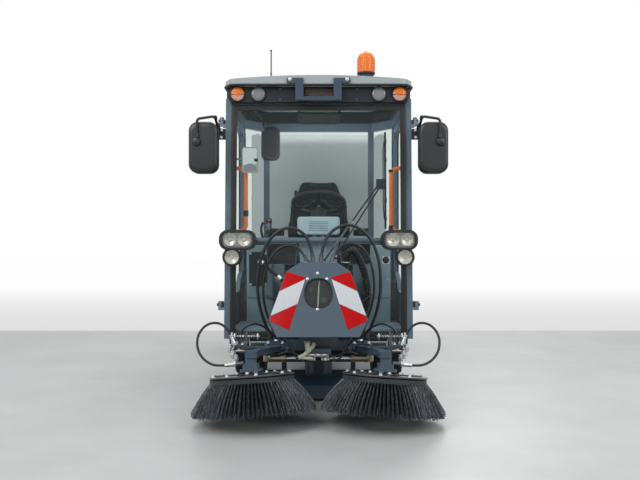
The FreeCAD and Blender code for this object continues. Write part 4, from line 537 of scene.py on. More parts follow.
class Form:
    """A mesh in the making. Each call adds one closed shape in the finish slot it names."""

    def __init__(self):
        self.bm = bmesh.new()

    def add(self, points, faces, slot=0):
        verts = [self.bm.verts.new(point) for point in points]
        made = [self.bm.faces.new([verts[i] for i in face]) for face in faces]
        for face in made:
            face.material_index = slot
        return made

    def soften(self, faces, width, segments=2):
        """Rounds the edges of a shape that was just added."""
        edges = {edge for face in faces for edge in face.edges}
        bmesh.ops.bevel(self.bm, geom=list(edges), offset=width, segments=segments, affect="EDGES",
                        profile=0.6, clamp_overlap=True)

    def box(self, first, last, slot=0, edge=0.0):
        """A box between any two opposite corners."""
        low, high = tuple(map(min, first, last)), tuple(map(max, first, last))
        corners = [(x, y, z) for z in (low[2], high[2]) for y in (low[1], high[1])
                   for x in (low[0], high[0])]
        faces = ((0, 2, 3, 1), (4, 5, 7, 6), (0, 1, 5, 4), (2, 6, 7, 3), (0, 4, 6, 2), (1, 3, 7, 5))
        made = self.add(corners, faces, slot)
        if edge:
            self.soften(made, edge)

    def slab(self, points, thickness, slot=0, edge=0.0):
        """A flat outline of points, made solid along the vector thickness."""
        count = len(points)
        far = [Vector(point) + Vector(thickness) for point in points]
        faces = [tuple(range(count)), tuple(range(2 * count - 1, count - 1, -1))]
        faces += [(i, i + count, (i + 1) % count + count, (i + 1) % count) for i in range(count)]
        made = self.add([*map(Vector, points), *far], faces, slot)
        if edge:
            self.soften(made, edge)

    def turned(self, profile, base, axis, slot=0, segments=32, ring=False):
        """Turns a profile of (distance along the axis, radius). A ring's profile closes on itself."""
        along = Vector(axis).normalized()
        side = along.orthogonal().normalized()
        other = along.cross(side)
        points, rows = [], []
        for distance, radius in profile:
            centre = Vector(base) + along * distance
            if radius < 1e-6:
                rows.append([len(points)])
                points.append(centre)
                continue
            rows.append(range(len(points), len(points) + segments))
            for i in range(segments):
                angle = 2 * math.pi * i / segments
                points.append(centre + (side * math.cos(angle) + other * math.sin(angle)) * radius)
        faces = []
        for first, second in zip(rows, rows[1:] + (rows[:1] if ring else [])):
            for i in range(segments):
                corners = [first[i % len(first)], first[(i + 1) % len(first)]]
                corners += [second[(i + 1) % len(second)], second[i % len(second)]]
                faces.append(tuple(dict.fromkeys(corners)))
        if not ring:
            faces += [tuple(row) for row in (rows[0], rows[-1]) if len(row) > 1]
        self.add(points, faces, slot)

    def rod(self, start, end, radius, slot=0, segments=24, edge=0.0):
        axis = Vector(end) - Vector(start)
        length = axis.length
        edge = min(edge, radius * 0.5, length * 0.5)
        profile = [(0, radius), (length, radius)]
        if edge:
            profile = [(0, radius - edge), (edge, radius), (length - edge, radius), (length, radius - edge)]
        self.turned(profile, start, axis, slot, segments)

    def pipe(self, line, radius, slot=0, segments=12):
        """A round bar along a line of points. radius is one number or one for each point."""
        line = [Vector(point) for point in line]
        radii = radius if hasattr(radius, "__len__") else [radius] * len(line)
        heading = (line[1] - line[0]).normalized()
        side = heading.orthogonal().normalized()
        points = []
        for i, (point, size) in enumerate(zip(line, radii)):
            ahead = line[min(i + 1, len(line) - 1)] - line[max(i - 1, 0)]
            ahead.normalize()
            side = (side - ahead * side.dot(ahead)).normalized()
            other = ahead.cross(side)
            for k in range(segments):
                angle = 2 * math.pi * k / segments
                points.append(point + (side * math.cos(angle) + other * math.sin(angle)) * size)
        faces = []
        for i in range(len(line) - 1):
            for k in range(segments):
                a, b = i * segments + k, i * segments + (k + 1) % segments
                faces.append((a, b, b + segments, a + segments))
        last = (len(line) - 1) * segments
        faces += [tuple(range(segments))[::-1], tuple(range(last, last + segments))]
        self.add(points, faces, slot)

    def bend(self, points, radius, slot=0, segments=12):
        """A round bar along the smooth curve through the points."""
        self.pipe(smooth_line(points), radius, slot, segments)

    def hoop(self, outline, radius, slot=0, segments=12):
        """A round bar along a closed outline."""
        self.pipe([*outline, outline[0], outline[1]], radius, slot, segments)

    def ring(self, centre, axis, radius, thickness, slot=0, segments=40, around=10):
        profile = [(thickness * math.sin(2 * math.pi * k / around),
                    radius + thickness * math.cos(2 * math.pi * k / around)) for k in range(around)]
        self.turned(profile, centre, axis, slot, segments, ring=True)

    def pillow(self, points, out, slot=0, share=0.25, rings=5):
        """A flat outline that swells along the vector out and stays flat at its back."""
        points, out = [Vector(point) for point in points], Vector(out)
        count, centre = len(points), sum((Vector(point) for point in points), Vector()) / len(points)
        every = []
        for k in range(rings + 1):
            turn = math.pi / 2 * k / rings
            size = 1 - share * (1 - math.cos(turn))
            every += [centre + (point - centre) * size + out * math.sin(turn) for point in points]
        faces = [tuple(range(count)), tuple(range(rings * count, (rings + 1) * count))[::-1]]
        for k in range(rings):
            faces += [(k * count + i, k * count + (i + 1) % count, (k + 1) * count + (i + 1) % count,
                       (k + 1) * count + i) for i in range(count)]
        return self.add(every, faces, slot)

    def move(self, matrix):
        bmesh.ops.transform(self.bm, matrix=matrix, verts=self.bm.verts)

    def piece(self, name, finishes, body, smooth=35):
        return object_from_bmesh(name, self.bm, finishes, body, smooth)


def rounded(points, radius, steps=4):
    """A flat outline with each corner cut to an arc. radius is one number or one for each corner."""
    radii = radius if hasattr(radius, "__len__") else [radius] * len(points)
    points = [Vector(point) for point in points]
    done = []
    for i, (corner, size) in enumerate(zip(points, radii)):
        if not size:
            done.append(corner)
            continue
        back = (points[i - 1] - corner).normalized()
        ahead = (points[(i + 1) % len(points)] - corner).normalized()
        half = back.angle(ahead) / 2
        centre = corner + (back + ahead).normalized() * (size / math.sin(half))
        reach = size / math.tan(half)
        first, last = corner + back * reach - centre, corner + ahead * reach - centre
        turn = first.angle(last)
        for k in range(steps + 1):
            share = k / steps
            swing = (first * math.sin((1 - share) * turn) + last * math.sin(share * turn)) / math.sin(turn)
            done.append(centre + swing)
    return done


def circle(centre, radius, axis=FRONT, count=32):
    """Points round a circle."""
    along = Vector(axis).normalized()
    side = along.orthogonal().normalized()
    other = along.cross(side)
    turns = [2 * math.pi * k / count for k in range(count)]
    return [Vector(centre) + (side * math.cos(a) + other * math.sin(a)) * radius for a in turns]


def plate_outline(x, z, y, corner, steps=4):
    """A rounded rectangle that faces the front."""
    left, right = sorted(x)
    return rounded([(left, y, z[0]), (right, y, z[0]), (right, y, z[1]), (left, y, z[1])], corner, steps)


def smooth_line(points, steps=6):
    """Points on a Catmull-Rom curve through the given ones."""
    points = [Vector(point) for point in points]
    padded = [points[0] * 2 - points[1], *points, points[-1] * 2 - points[-2]]
    line = []
    for a, b, c, d in zip(padded, padded[1:], padded[2:], padded[3:]):
        for k in range(steps):
            t = k / steps
            line.append(0.5 * ((2 * b) + (c - a) * t + (2 * a - 5 * b + 4 * c - d) * t * t
                               + (3 * b - a - 3 * c + d) * t ** 3))
    return line + [points[-1]]


def mirrored(point, side):
    """The left side's point, or its match on the right."""
    return Vector((point[0] * side, point[1], point[2]))


class Recipe:
    """One Geometry Nodes tree with named inputs. It ends in plain, painted geometry."""

    def __init__(self, name, finish, **inputs):
        self.tree = bpy.data.node_groups.new(name, "GeometryNodeTree")
        self.tree.interface.new_socket("Geometry", in_out="INPUT", socket_type="NodeSocketGeometry")
        self.tree.interface.new_socket("Geometry", in_out="OUTPUT", socket_type="NodeSocketGeometry")
        for label, value in inputs.items():
            kind = "NodeSocketInt" if isinstance(value, int) else "NodeSocketFloat"
            socket = self.tree.interface.new_socket(label, in_out="INPUT", socket_type=kind)
            socket.default_value = value
        self.start = self.tree.nodes.new("NodeGroupInput")
        self.end = self.tree.nodes.new("NodeGroupOutput")
        self.finish = finish

    def feed(self, socket, value):
        if isinstance(value, bpy.types.NodeSocket):
            self.tree.links.new(value, socket)
        else:
            socket.default_value = value

    def node(self, kind, settings=None, sockets=None, output=0):
        made = self.tree.nodes.new(kind)
        for name, value in (settings or {}).items():
            setattr(made, name, value)
        for name, value in (sockets or {}).items():
            self.feed(made.inputs[name], value)
        return made.outputs[output]

    def given(self, label):
        return self.start.outputs[label]

    def sum(self, operation, first, second=0.0):
        return self.node("ShaderNodeMath", {"operation": operation}, {0: first, 1: second})

    def vector(self, x=0.0, y=0.0, z=0.0):
        return self.node("ShaderNodeCombineXYZ", {}, {0: x, 1: y, 2: z})

    def chance(self, low, high, seed):
        """A random number for each point or instance."""
        return self.node("FunctionNodeRandomValue", {"data_type": "FLOAT"},
                         {2: low, 3: high, "Seed": seed}, 1)

    def joined(self, *parts):
        made = self.tree.nodes.new("GeometryNodeJoinGeometry")
        for part in parts:
            self.tree.links.new(part, made.inputs[0])
        return made.outputs[0]

    def close(self, geometry):
        real = self.node("GeometryNodeRealizeInstances", {}, {0: geometry})
        made = self.node("GeometryNodeSetMaterial", {},
                         {"Geometry": real, "Material": finish_of(self.finish)})
        self.tree.links.new(made, self.end.inputs[0])
        return self

    def grow(self, name, body, start=None, matrix=None, smooth=35, **values):
        """The plain mesh that the tree makes from a start mesh, as a shown piece on a body."""
        carrier = bpy.data.objects.new(name + "_start", start or bpy.data.meshes.new(name + "_start"))
        bpy.context.scene.collection.objects.link(carrier)
        modifier = carrier.modifiers.new("Grow", "NODES")
        modifier.node_group = self.tree
        for item in self.tree.interface.items_tree:
            if item.item_type == "SOCKET" and item.name in values:
                modifier[item.identifier] = values[item.name]
        ready = carrier.evaluated_get(bpy.context.evaluated_depsgraph_get())
        mesh = bpy.data.meshes.new_from_object(ready)
        carrier.modifiers.remove(modifier)
        bpy.data.objects.remove(carrier)
        mesh.name = name
        if matrix is not None:
            mesh.transform(matrix)
            if matrix.determinant() < 0:
                mesh.flip_normals()
        mesh.shade_smooth()
        mesh.set_sharp_from_angle(angle=math.radians(smooth))
        return object_from(name, mesh, self.finish, body)


def marks(places):
    """A mesh of loose points, each with the direction that what stands on it faces."""
    mesh = bpy.data.meshes.new("marks")
    mesh.from_pydata([place for place, _ in places], [], [])
    facing = mesh.attributes.new("facing", "FLOAT_VECTOR", "POINT")
    facing.data.foreach_set("vector", [part for _, way in places for part in Vector(way).normalized()])
    return mesh


def bolt_recipe(finish):
    """Hexagon heads with a washer and a rounded top."""
    r = Recipe("Bolt heads", finish, Across=0.017, Height=0.008)
    across, height = r.given("Across"), r.given("Height")
    facing = r.node("GeometryNodeInputNamedAttribute", {"data_type": "FLOAT_VECTOR"}, {"Name": "facing"})
    turn = r.node("FunctionNodeAlignRotationToVector", {"axis": "Z"}, {"Vector": facing})
    head = r.node("GeometryNodeMeshCone", {},
                  {"Vertices": 6, "Radius Bottom": r.sum("MULTIPLY", across, 0.577),
                   "Radius Top": r.sum("MULTIPLY", across, 0.545), "Depth": height})
    dome = r.node("GeometryNodeMeshCone", {},
                  {"Vertices": 18, "Radius Bottom": r.sum("MULTIPLY", across, 0.48),
                   "Radius Top": r.sum("MULTIPLY", across, 0.36), "Depth": r.sum("MULTIPLY", height, 0.14)})
    dome = r.node("GeometryNodeTransform", {}, {"Geometry": dome, "Translation": r.vector(z=height)})
    washer = r.node("GeometryNodeMeshCone", {},
                    {"Vertices": 20, "Radius Bottom": r.sum("MULTIPLY", across, 0.8),
                     "Radius Top": r.sum("MULTIPLY", across, 0.76),
                     "Depth": r.sum("MULTIPLY", height, 0.24)})
    lift = r.vector(z=r.sum("MULTIPLY", height, 0.2))
    head = r.node("GeometryNodeTransform", {}, {"Geometry": head, "Translation": lift})
    bolt = r.joined(washer, head,
                    r.node("GeometryNodeTransform", {}, {"Geometry": dome, "Translation": lift}))
    set_out = r.node("GeometryNodeInstanceOnPoints", {},
                     {"Points": r.given("Geometry"), "Instance": bolt, "Rotation": turn})
    return r.close(set_out)


def slat_recipe(finish):
    """Slats stacked upwards with an even pitch, each turned about its own length."""
    r = Recipe("Slats " + finish, finish, Count=8, Pitch=0.01, Wide=0.1, Deep=0.01, High=0.003, Tilt=0.5)
    points = r.node("GeometryNodePoints", {}, {"Count": r.given("Count")})
    rise = r.sum("MULTIPLY", r.node("GeometryNodeInputIndex"), r.given("Pitch"))
    placed = r.node("GeometryNodeSetPosition", {}, {"Geometry": points, "Position": r.vector(z=rise)})
    bar = r.node("GeometryNodeMeshCylinder", {}, {"Vertices": 8, "Radius": 0.5, "Depth": r.given("Wide")})
    flat = r.node("GeometryNodeTransform", {},
                  {"Geometry": bar, "Rotation": (0, math.pi / 2, 0),
                   "Scale": r.vector(r.given("High"), r.given("Deep"), 1.0)})
    turn = r.node("FunctionNodeEulerToRotation", {}, {0: r.vector(x=r.given("Tilt"))})
    spread = r.node("GeometryNodeInstanceOnPoints", {},
                    {"Points": placed, "Instance": flat, "Rotation": turn})
    return r.close(spread)


RECIPES = {}


def slats(name, place, body, finish="black_plastic", **values):
    key = "slats " + finish
    if key not in RECIPES:
        RECIPES[key] = slat_recipe(finish)
    return RECIPES[key].grow(name, body, None, Matrix.Translation(place), **values)


def bolts(name, places, body, across=0.017, height=0.008, finish="plated_steel"):
    if finish not in RECIPES:
        RECIPES[finish] = bolt_recipe(finish)
    return RECIPES[finish].grow(name, body, marks(places), Across=across, Height=height)


# Centre lines of the hoses, in metres, as control points from the upper fitting to the lower one
HOSE_ROUTES = {
    "hose_upper_right": (0.018, 0.982, "front_unit", (
        (-0.032, -1.46, 0.862), (-0.038, -1.458, 0.95), (-0.092, -1.45, 1.035), (-0.19, -1.442, 1.062),
        (-0.29, -1.432, 0.985), (-0.338, -1.422, 0.865), (-0.357, -1.41, 0.735), (-0.346, -1.395, 0.61),
        (-0.315, -1.38, 0.5), (-0.284, -1.368, 0.43))),
    "hose_lower_right": (0.014, 0.743, "front_unit", (
        (-0.066, -1.445, 0.86), (-0.092, -1.437, 0.918), (-0.155, -1.428, 0.958), (-0.232, -1.42, 0.936),
        (-0.29, -1.412, 0.86), (-0.318, -1.402, 0.755), (-0.322, -1.392, 0.645), (-0.298, -1.38, 0.535),
        (-0.255, -1.368, 0.44))),
    "hose_upper_left": (0.018, 1.038, "front_unit", (
        (0.014, -1.46, 0.862), (0.022, -1.458, 0.955), (0.08, -1.45, 1.045), (0.185, -1.44, 1.08),
        (0.292, -1.43, 1.012), (0.345, -1.42, 0.895), (0.362, -1.41, 0.765), (0.356, -1.398, 0.635),
        (0.326, -1.382, 0.515), (0.284, -1.368, 0.425))),
    "hose_lower_left": (0.014, 0.731, "front_unit", (
        (0.078, -1.445, 0.862), (0.1, -1.437, 0.922), (0.158, -1.428, 0.966), (0.23, -1.42, 0.958),
        (0.286, -1.412, 0.9), (0.318, -1.402, 0.805), (0.326, -1.392, 0.69), (0.306, -1.38, 0.575),
        (0.264, -1.368, 0.468))),
    "hose_motor_left": (0.014, 0.596, "brush_arm_left", (
        (0.47, -1.622, 0.42), (0.492, -1.622, 0.482), (0.548, -1.628, 0.528), (0.616, -1.64, 0.52),
        (0.662, -1.656, 0.464), (0.664, -1.678, 0.394), (0.63, -1.702, 0.336), (0.575, -1.722, 0.306),
        (0.518, -1.738, 0.304), (0.462, -1.75, 0.312))),
}
MOTOR_HOSE = HOSE_ROUTES["hose_motor_left"]
HOSE_ROUTES["hose_motor_right"] = (*MOTOR_HOSE[:2], "brush_arm_right",
                                   tuple((-x, y, z) for x, y, z in MOTOR_HOSE[3]))


def hose_curve(name, diameter, points):
    """A round hose whose line is a smooth NURBS curve on its control points."""
    curve = bpy.data.curves.new(name, "CURVE")
    curve.dimensions = "3D"
    spline = curve.splines.new("NURBS")
    spline.points.add(len(points) - 1)
    for point, place in zip(spline.points, points):
        point.co = (*place, 1)
    spline.order_u = 3
    spline.use_endpoint_u = True
    spline.resolution_u = 10
    curve.bevel_depth = diameter / 2
    curve.bevel_resolution = 4
    curve.use_fill_caps = True
    return curve


class SWEEPER_OT_hoses(bpy.types.Operator):
    """Hydraulic hoses of the front unit"""

    bl_idname = "sweeper.hoses"
    bl_label = "Hoses"

    def execute(self, context):
        for node, (diameter, length, body, points) in HOSE_ROUTES.items():
            curve = hose_curve(node + "_line", diameter, points)
            hose = bpy.data.objects.new("dressed_" + node, curve)
            context.scene.collection.objects.link(hose)
            curve.materials.append(finish_of("hose_rubber"))
            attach(hose, body)
            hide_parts(node)
        return {"FINISHED"}


def hose_ends(form, route, slot=0):
    """Crimped sleeve and swivel nut at both ends of a hose."""
    diameter, _, _, points = route
    for end, inner in ((points[0], points[1]), (points[-1], points[-2])):
        out = (Vector(end) - Vector(inner)).normalized()
        size = diameter / 2
        sleeve = [(-0.042, size + 0.0003), (-0.041, size + 0.0022), (-0.03, size + 0.0032),
                  (-0.027, size + 0.0019), (-0.021, size + 0.0032), (-0.018, size + 0.0019),
                  (-0.012, size + 0.0034), (-0.004, size + 0.0034), (0.0004, size + 0.0045),
                  (0.006, size + 0.0048), (0.006, size - 0.003)]
        form.turned(sleeve + [(-0.042, size - 0.001)], end, out, slot, 24, ring=True)
        form.turned([(0.0065, size - 0.002), (0.0065, size + 0.0062), (0.008, size + 0.0075),
                     (0.02, size + 0.0075), (0.0215, size + 0.0062), (0.0215, size - 0.002)], end, out,
                    slot, 6, ring=True)


class SWEEPER_OT_hose_fittings(bpy.types.Operator):
    """Crimped sleeves and nuts at the ends of the hoses"""

    bl_idname = "sweeper.hose_fittings"
    bl_label = "Hose fittings"

    def execute(self, context):
        by_body = {}
        for route in HOSE_ROUTES.values():
            by_body.setdefault(route[2], []).append(route)
        for body, routes in by_body.items():
            form = Form()
            for route in routes:
                hose_ends(form, route)
            form.piece("hose_ends_" + body, "dark_steel" if body == "front_unit"
                       else "plated_steel", body, 30)
        return {"FINISHED"}


BRUSH_CENTRE = (0.357, -1.762, 0.262)
BRUSH_LEAN = (math.radians(-7), math.radians(4))
# Radius at the plate, radius at the tips, tufts and turn of the first one, for each row of bristles
BRISTLE_ROWS = ((0.214, 0.326, 84, 0.0), (0.196, 0.292, 76, 2.1), (0.176, 0.254, 66, 1.2),
                (0.157, 0.218, 54, 0.4))
STRANDS = 15


def brush_place(side):
    """The leaning frame of a disc brush, about the middle of its plate's top."""
    leaned = Matrix.Rotation(BRUSH_LEAN[1], 4, "Y") @ Matrix.Rotation(BRUSH_LEAN[0], 4, "X")
    return Matrix.Diagonal((side, 1, 1, 1)) @ Matrix.Translation(BRUSH_CENTRE) @ leaned


def bristle_recipe():
    """Tufts of wire set in a ring under the plate, fanning out to ragged ends."""
    r = Recipe("Bristle ring", "bristle_wire", Tufts=84, Root=0.214, Tip=0.326, Drop=0.205, Width=0.004,
               Turn=0.0, Seed=3)
    tufts, root, tip, seed = (r.given(label) for label in ("Tufts", "Root", "Tip", "Seed"))
    points = r.node("GeometryNodePoints", {}, {"Count": r.sum("MULTIPLY", tufts, STRANDS)})
    index = r.node("GeometryNodeInputIndex")
    tuft = r.sum("FLOOR", r.sum("DIVIDE", index, STRANDS))
    seeds = [r.sum("ADD", seed, k) for k in range(6)]
    angle = r.sum("ADD", r.sum("MULTIPLY", r.sum("DIVIDE", tuft, tufts), 2 * math.pi), r.given("Turn"))
    near = r.sum("ADD", angle, r.chance(-0.014, 0.014, seeds[0]))
    far = r.sum("ADD", angle, r.chance(-0.052, 0.052, seeds[1]))
    root_size = r.sum("ADD", root, r.chance(-0.005, 0.005, seeds[2]))
    tip_size = r.sum("ADD", tip, r.chance(-0.024, 0.008, seeds[3]))
    along = [r.sum("MULTIPLY", r.sum(wave, near), root_size) for wave in ("COSINE", "SINE")]
    ends = [r.sum("MULTIPLY", r.sum(wave, far), tip_size) for wave in ("COSINE", "SINE")]
    start = r.vector(along[0], along[1], -0.028)
    finish = r.vector(ends[0], ends[1],
                      r.sum("MULTIPLY", r.given("Drop"), r.chance(-1.03, -0.86, seeds[4])))
    run = r.node("ShaderNodeVectorMath", {"operation": "SUBTRACT"}, {0: start, 1: finish})
    length = r.node("ShaderNodeVectorMath", {"operation": "LENGTH"}, {0: run}, 1)
    outward = r.node("FunctionNodeAlignRotationToVector", {"axis": "X"},
                     {"Vector": r.vector(along[0], along[1])})
    turn = r.node("FunctionNodeAlignRotationToVector", {"axis": "Z", "pivot_axis": "Y"},
                  {"Rotation": outward, "Vector": run})
    placed = r.node("GeometryNodeSetPosition", {}, {"Geometry": points, "Position": start})
    line = r.node("GeometryNodeCurveQuadraticBezier", {},
                  {"Resolution": 3, "Start": (0, 0, 0), "Middle": (0, 0, -0.5), "End": (0, 0, -1)})
    section = r.node("GeometryNodeCurvePrimitiveCircle", {}, {"Resolution": 4, "Radius": 0.5})
    straight = r.node("GeometryNodeCurveToMesh", {},
                      {"Curve": line, "Profile Curve": section, "Fill Caps": True})
    depth = r.node("ShaderNodeSeparateXYZ", {}, {0: r.node("GeometryNodeInputPosition")}, 2)
    bulge = r.sum("MULTIPLY", r.sum("MULTIPLY", depth, r.sum("ADD", depth, 1.0)), -9.0)
    strand = r.node("GeometryNodeSetPosition", {}, {"Geometry": straight, "Offset": r.vector(x=bulge)})
    width = r.sum("MULTIPLY", r.given("Width"), r.chance(0.7, 1.25, seeds[5]))
    size = r.vector(width, r.sum("MULTIPLY", width, 0.62), length)
    spread = r.node("GeometryNodeInstanceOnPoints", {},
                    {"Points": placed, "Instance": strand, "Rotation": turn, "Scale": size})
    return r.close(spread)


def brush_plate(side):
    """Steel disc with a rolled rim, a clamp ring under it and a bolted middle."""
    form = Form()
    form.turned([(0.0, 0.016), (0.0, 0.216), (-0.0015, 0.2255), (-0.005, 0.2285), (-0.009, 0.2285),
                 (-0.0115, 0.226), (-0.013, 0.2205), (-0.0135, 0.15), (-0.012, 0.016)], (0, 0, 0), UP, 0,
                96, ring=True)
    form.turned([(-0.015, 0.14), (-0.015, 0.2215), (-0.0165, 0.2245), (-0.04, 0.2262), (-0.0425, 0.2245),
                 (-0.043, 0.219), (-0.03, 0.214), (-0.028, 0.146), (-0.03, 0.14)], (0, 0, 0), UP, 1,
                96, ring=True)
    form.turned([(0.0005, 0.066), (0.0005, 0.098), (0.004, 0.1), (0.0055, 0.098), (0.0055, 0.068),
                 (0.004, 0.066)], (0, 0, 0), UP, 0, 48, ring=True)
    for k in range(8):
        turn = Matrix.Rotation(math.pi / 4 * k + 0.2, 3, "Z")
        outline = [turn @ Vector(p)
                   for p in ((0.104, -0.0035, 0), (0.21, -0.0035, 0), (0.21, 0.0035, 0),
                             (0.104, 0.0035, 0))]
        form.slab(outline, (0, 0, 0.005), 0, 0.0012)
    form.turned([(-0.012, 0.0), (-0.012, 0.04), (-0.002, 0.044), (0.003, 0.036), (0.006, 0.016),
                 (0.006, 0.0)], (0, 0, 0), UP, 1, 40)
    form.move(brush_place(side))
    return form


class SWEEPER_OT_brushes(bpy.types.Operator):
    """Both disc brushes: bristles, plates and plate bolts"""

    bl_idname = "sweeper.brushes"
    bl_label = "Disc brushes"

    def execute(self, context):
        recipe = bristle_recipe()
        for word, side in SIDES:
            place, body = brush_place(side), "brush_" + word
            for row, (root, tip, tufts, turn) in enumerate(BRISTLE_ROWS):
                recipe.grow(f"bristles_{word}_{row}", body, None, place, Tufts=tufts, Root=root, Tip=tip,
                            Drop=sizes().bristle_length - 0.007, Width=sizes().bristle_width, Turn=turn,
                            Seed=3 + 20 * row)
            plate = brush_plate(side).piece("brush_plate_" + word,
                                            ("black_paint", "black_plastic"), body, 30)
            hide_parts("brush_" + word)
            turns = [math.pi / 4 * k + 0.2 for k in range(8)]
            upward = (place.to_3x3() @ Vector(UP)).normalized()
            rim = [(place @ Vector((0.204 * math.cos(a + 0.39), 0.204 * math.sin(a + 0.39), 0.0)), upward)
                   for a in turns]
            hub = [(place @ Vector((0.083 * math.cos(a), 0.083 * math.sin(a), 0.0055)), upward)
                   for a in turns[::2]]
            bolts("brush_bolts_" + word, rim + hub, body, 0.015, 0.008)
        return {"FINISHED"}


TYRE_SIZE = (0.32, 0.1025)
WHEEL_CENTRES = {"front": -0.292, "rear": 1.108}
WHEEL_OFFSET = 0.475
TREAD_PITCHES = 46


def tread_recipe():
    """Blocks of tread set round the tyre in rows, each row turned a little and shifted by half a pitch."""
    r = Recipe("Tyre tread", "tyre_rubber", Pitches=TREAD_PITCHES, Radius=0.312, Across=0.0, Long=0.034,
               Wide=0.03, Shift=0.0, Slant=0.0)
    count, radius = r.given("Pitches"), r.given("Radius")
    points = r.node("GeometryNodePoints", {}, {"Count": count})
    index = r.node("GeometryNodeInputIndex")
    angle = r.sum("MULTIPLY", r.sum("DIVIDE", r.sum("ADD", index, r.given("Shift")), count), 2 * math.pi)
    place = r.vector(r.given("Across"), r.sum("MULTIPLY", r.sum("COSINE", angle), radius),
                     r.sum("MULTIPLY", r.sum("SINE", angle), radius))
    placed = r.node("GeometryNodeSetPosition", {}, {"Geometry": points, "Position": place})
    up = r.node("ShaderNodeVectorMath", {"operation": "MULTIPLY"}, {0: place, 1: (0, 1, 1)})
    sideways = r.node("FunctionNodeAlignRotationToVector", {"axis": "Z", "pivot_axis": "X"}, {"Vector": up})
    turn = r.node("FunctionNodeEulerToRotation", {}, {0: r.vector(z=r.given("Slant"))})
    spin = r.node("FunctionNodeRotateRotation", {"rotation_space": "LOCAL"}, {0: sideways, 1: turn})
    foot = r.node("GeometryNodeMeshCube", {}, {"Size": r.vector(r.given("Wide"), r.given("Long"), 0.016)})
    top = r.node("GeometryNodeInputPosition")
    height = r.node("ShaderNodeSeparateXYZ", {}, {0: top}, 2)
    shrink = r.sum("SUBTRACT", 1.0, r.sum("MULTIPLY", r.sum("GREATER_THAN", height, 0.0), 0.13))
    slim = r.node("ShaderNodeVectorMath", {"operation": "MULTIPLY"},
                  {0: top, 1: r.vector(shrink, shrink, 1.0)})
    block = r.node("GeometryNodeSetPosition", {}, {"Geometry": foot, "Position": slim})
    spread = r.node("GeometryNodeInstanceOnPoints", {},
                    {"Points": placed, "Instance": block, "Rotation": spin})
    return r.close(spread)


def tyre_carcass():
    """The tyre's body with rounded walls, a rim bead and raised rings."""
    radius, half = TYRE_SIZE
    wall = [(half - 0.016, 0.204), (half - 0.009, 0.2045), (half - 0.003, 0.212), (half - 0.0035, 0.222),
            (half - 0.001, 0.226), (half, 0.24), (half + 0.0012, 0.242), (half + 0.0012, 0.246),
            (half, 0.248), (half, 0.262), (half - 0.002, 0.276), (half - 0.0005, 0.278),
            (half - 0.001, 0.283), (half - 0.005, 0.288), (half - 0.01, 0.3), (half - 0.02, radius - 0.011),
            (half - 0.036, radius - 0.0085)]
    profile = [(-across, size) for across, size in wall] + wall[::-1]
    form = Form()
    form.turned(profile, (0, 0, 0), (1, 0, 0), 0, 88, ring=True)
    return form


def at_wheel(axle, side):
    """Outwards on the left is +X; the right wheel is the left one's mirror image."""
    middle = (WHEEL_OFFSET, WHEEL_CENTRES[axle], TYRE_SIZE[0])
    return Matrix.Diagonal((side, 1, 1, 1)) @ Matrix.Translation(middle)


class SWEEPER_OT_wheels(bpy.types.Operator):
    """Tyres with their tread, wheel nuts, hub caps and valves"""

    bl_idname = "sweeper.wheels"
    bl_label = "Wheels"

    def execute(self, context):
        tread = tread_recipe()
        rows = ((-0.078, 0.036, 0.03, 0.0, 0.1), (-0.031, 0.031, 0.036, 0.5, 0.32),
                (0.013, 0.031, 0.036, 0.0, -0.32), (0.052, 0.028, 0.026, 0.5, 0.2),
                (0.08, 0.036, 0.026, 0.0, -0.1))
        for axle in WHEEL_CENTRES:
            for word, side in SIDES:
                body = f"wheel_{axle}_{word}"
                place = at_wheel(axle, side)
                carcass = tyre_carcass()
                carcass.move(place)
                tyre = carcass.piece(f"tyre_body_{axle}_{word}", "tyre_rubber", body, 28)
                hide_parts(f"tyre_{axle}_{word}")
                for k, (across, long, wide, shift, slant) in enumerate(rows):
                    tread.grow(f"tread_{axle}_{word}_{k}", body, None, place, Across=across, Long=long,
                               Wide=wide, Shift=shift, Slant=slant, Radius=TYRE_SIZE[0] - 0.0085)
                self.hub(axle, word, place, body)
        return {"FINISHED"}

    def hub(self, axle, word, place, body):
        form = Form()
        form.turned([(0.0465, 0.0), (0.0465, 0.029), (0.05, 0.0285), (0.06, 0.024), (0.063, 0.018),
                     (0.0635, 0.0)], (0, 0, 0), (1, 0, 0), 0, 32)
        form.pipe([(0.052, 0.15, 0.105), (0.058, 0.152, 0.107), (0.074, 0.153, 0.108)],
                  [0.006, 0.004, 0.0035], 1, 10)
        form.move(place)
        form.piece(f"hub_cap_{axle}_{word}", ("dark_steel", "seal_rubber"), body, 30)
        outward = place.to_3x3() @ Vector((1, 0, 0))
        nuts = [(place @ Vector((0.048, 0.05 * math.cos(a), 0.05 * math.sin(a))), outward)
                for a in (2 * math.pi / 5 * k for k in range(5))]
        bolts(f"wheel_nuts_{axle}_{word}", nuts, body, 0.019, 0.016)


HOOD_FOOT = (-1.732, 0.458)
HOOD_SLOPE = math.atan2(0.22, 0.397)
WINDOW_MIDDLE = 0.23
WINDOW_SIZE = (0.075, 0.088)


def on_hood(x, height, out=0.0):
    """The point of the hood's face at that height over its foot, moved out of the face."""
    y = HOOD_FOOT[0] + height * math.tan(HOOD_SLOPE) - out * math.cos(HOOD_SLOPE)
    return Vector((x, y, HOOD_FOOT[1] + height + out * math.sin(HOOD_SLOPE)))


def hood_normal():
    return Vector((0, -math.cos(HOOD_SLOPE), math.sin(HOOD_SLOPE)))


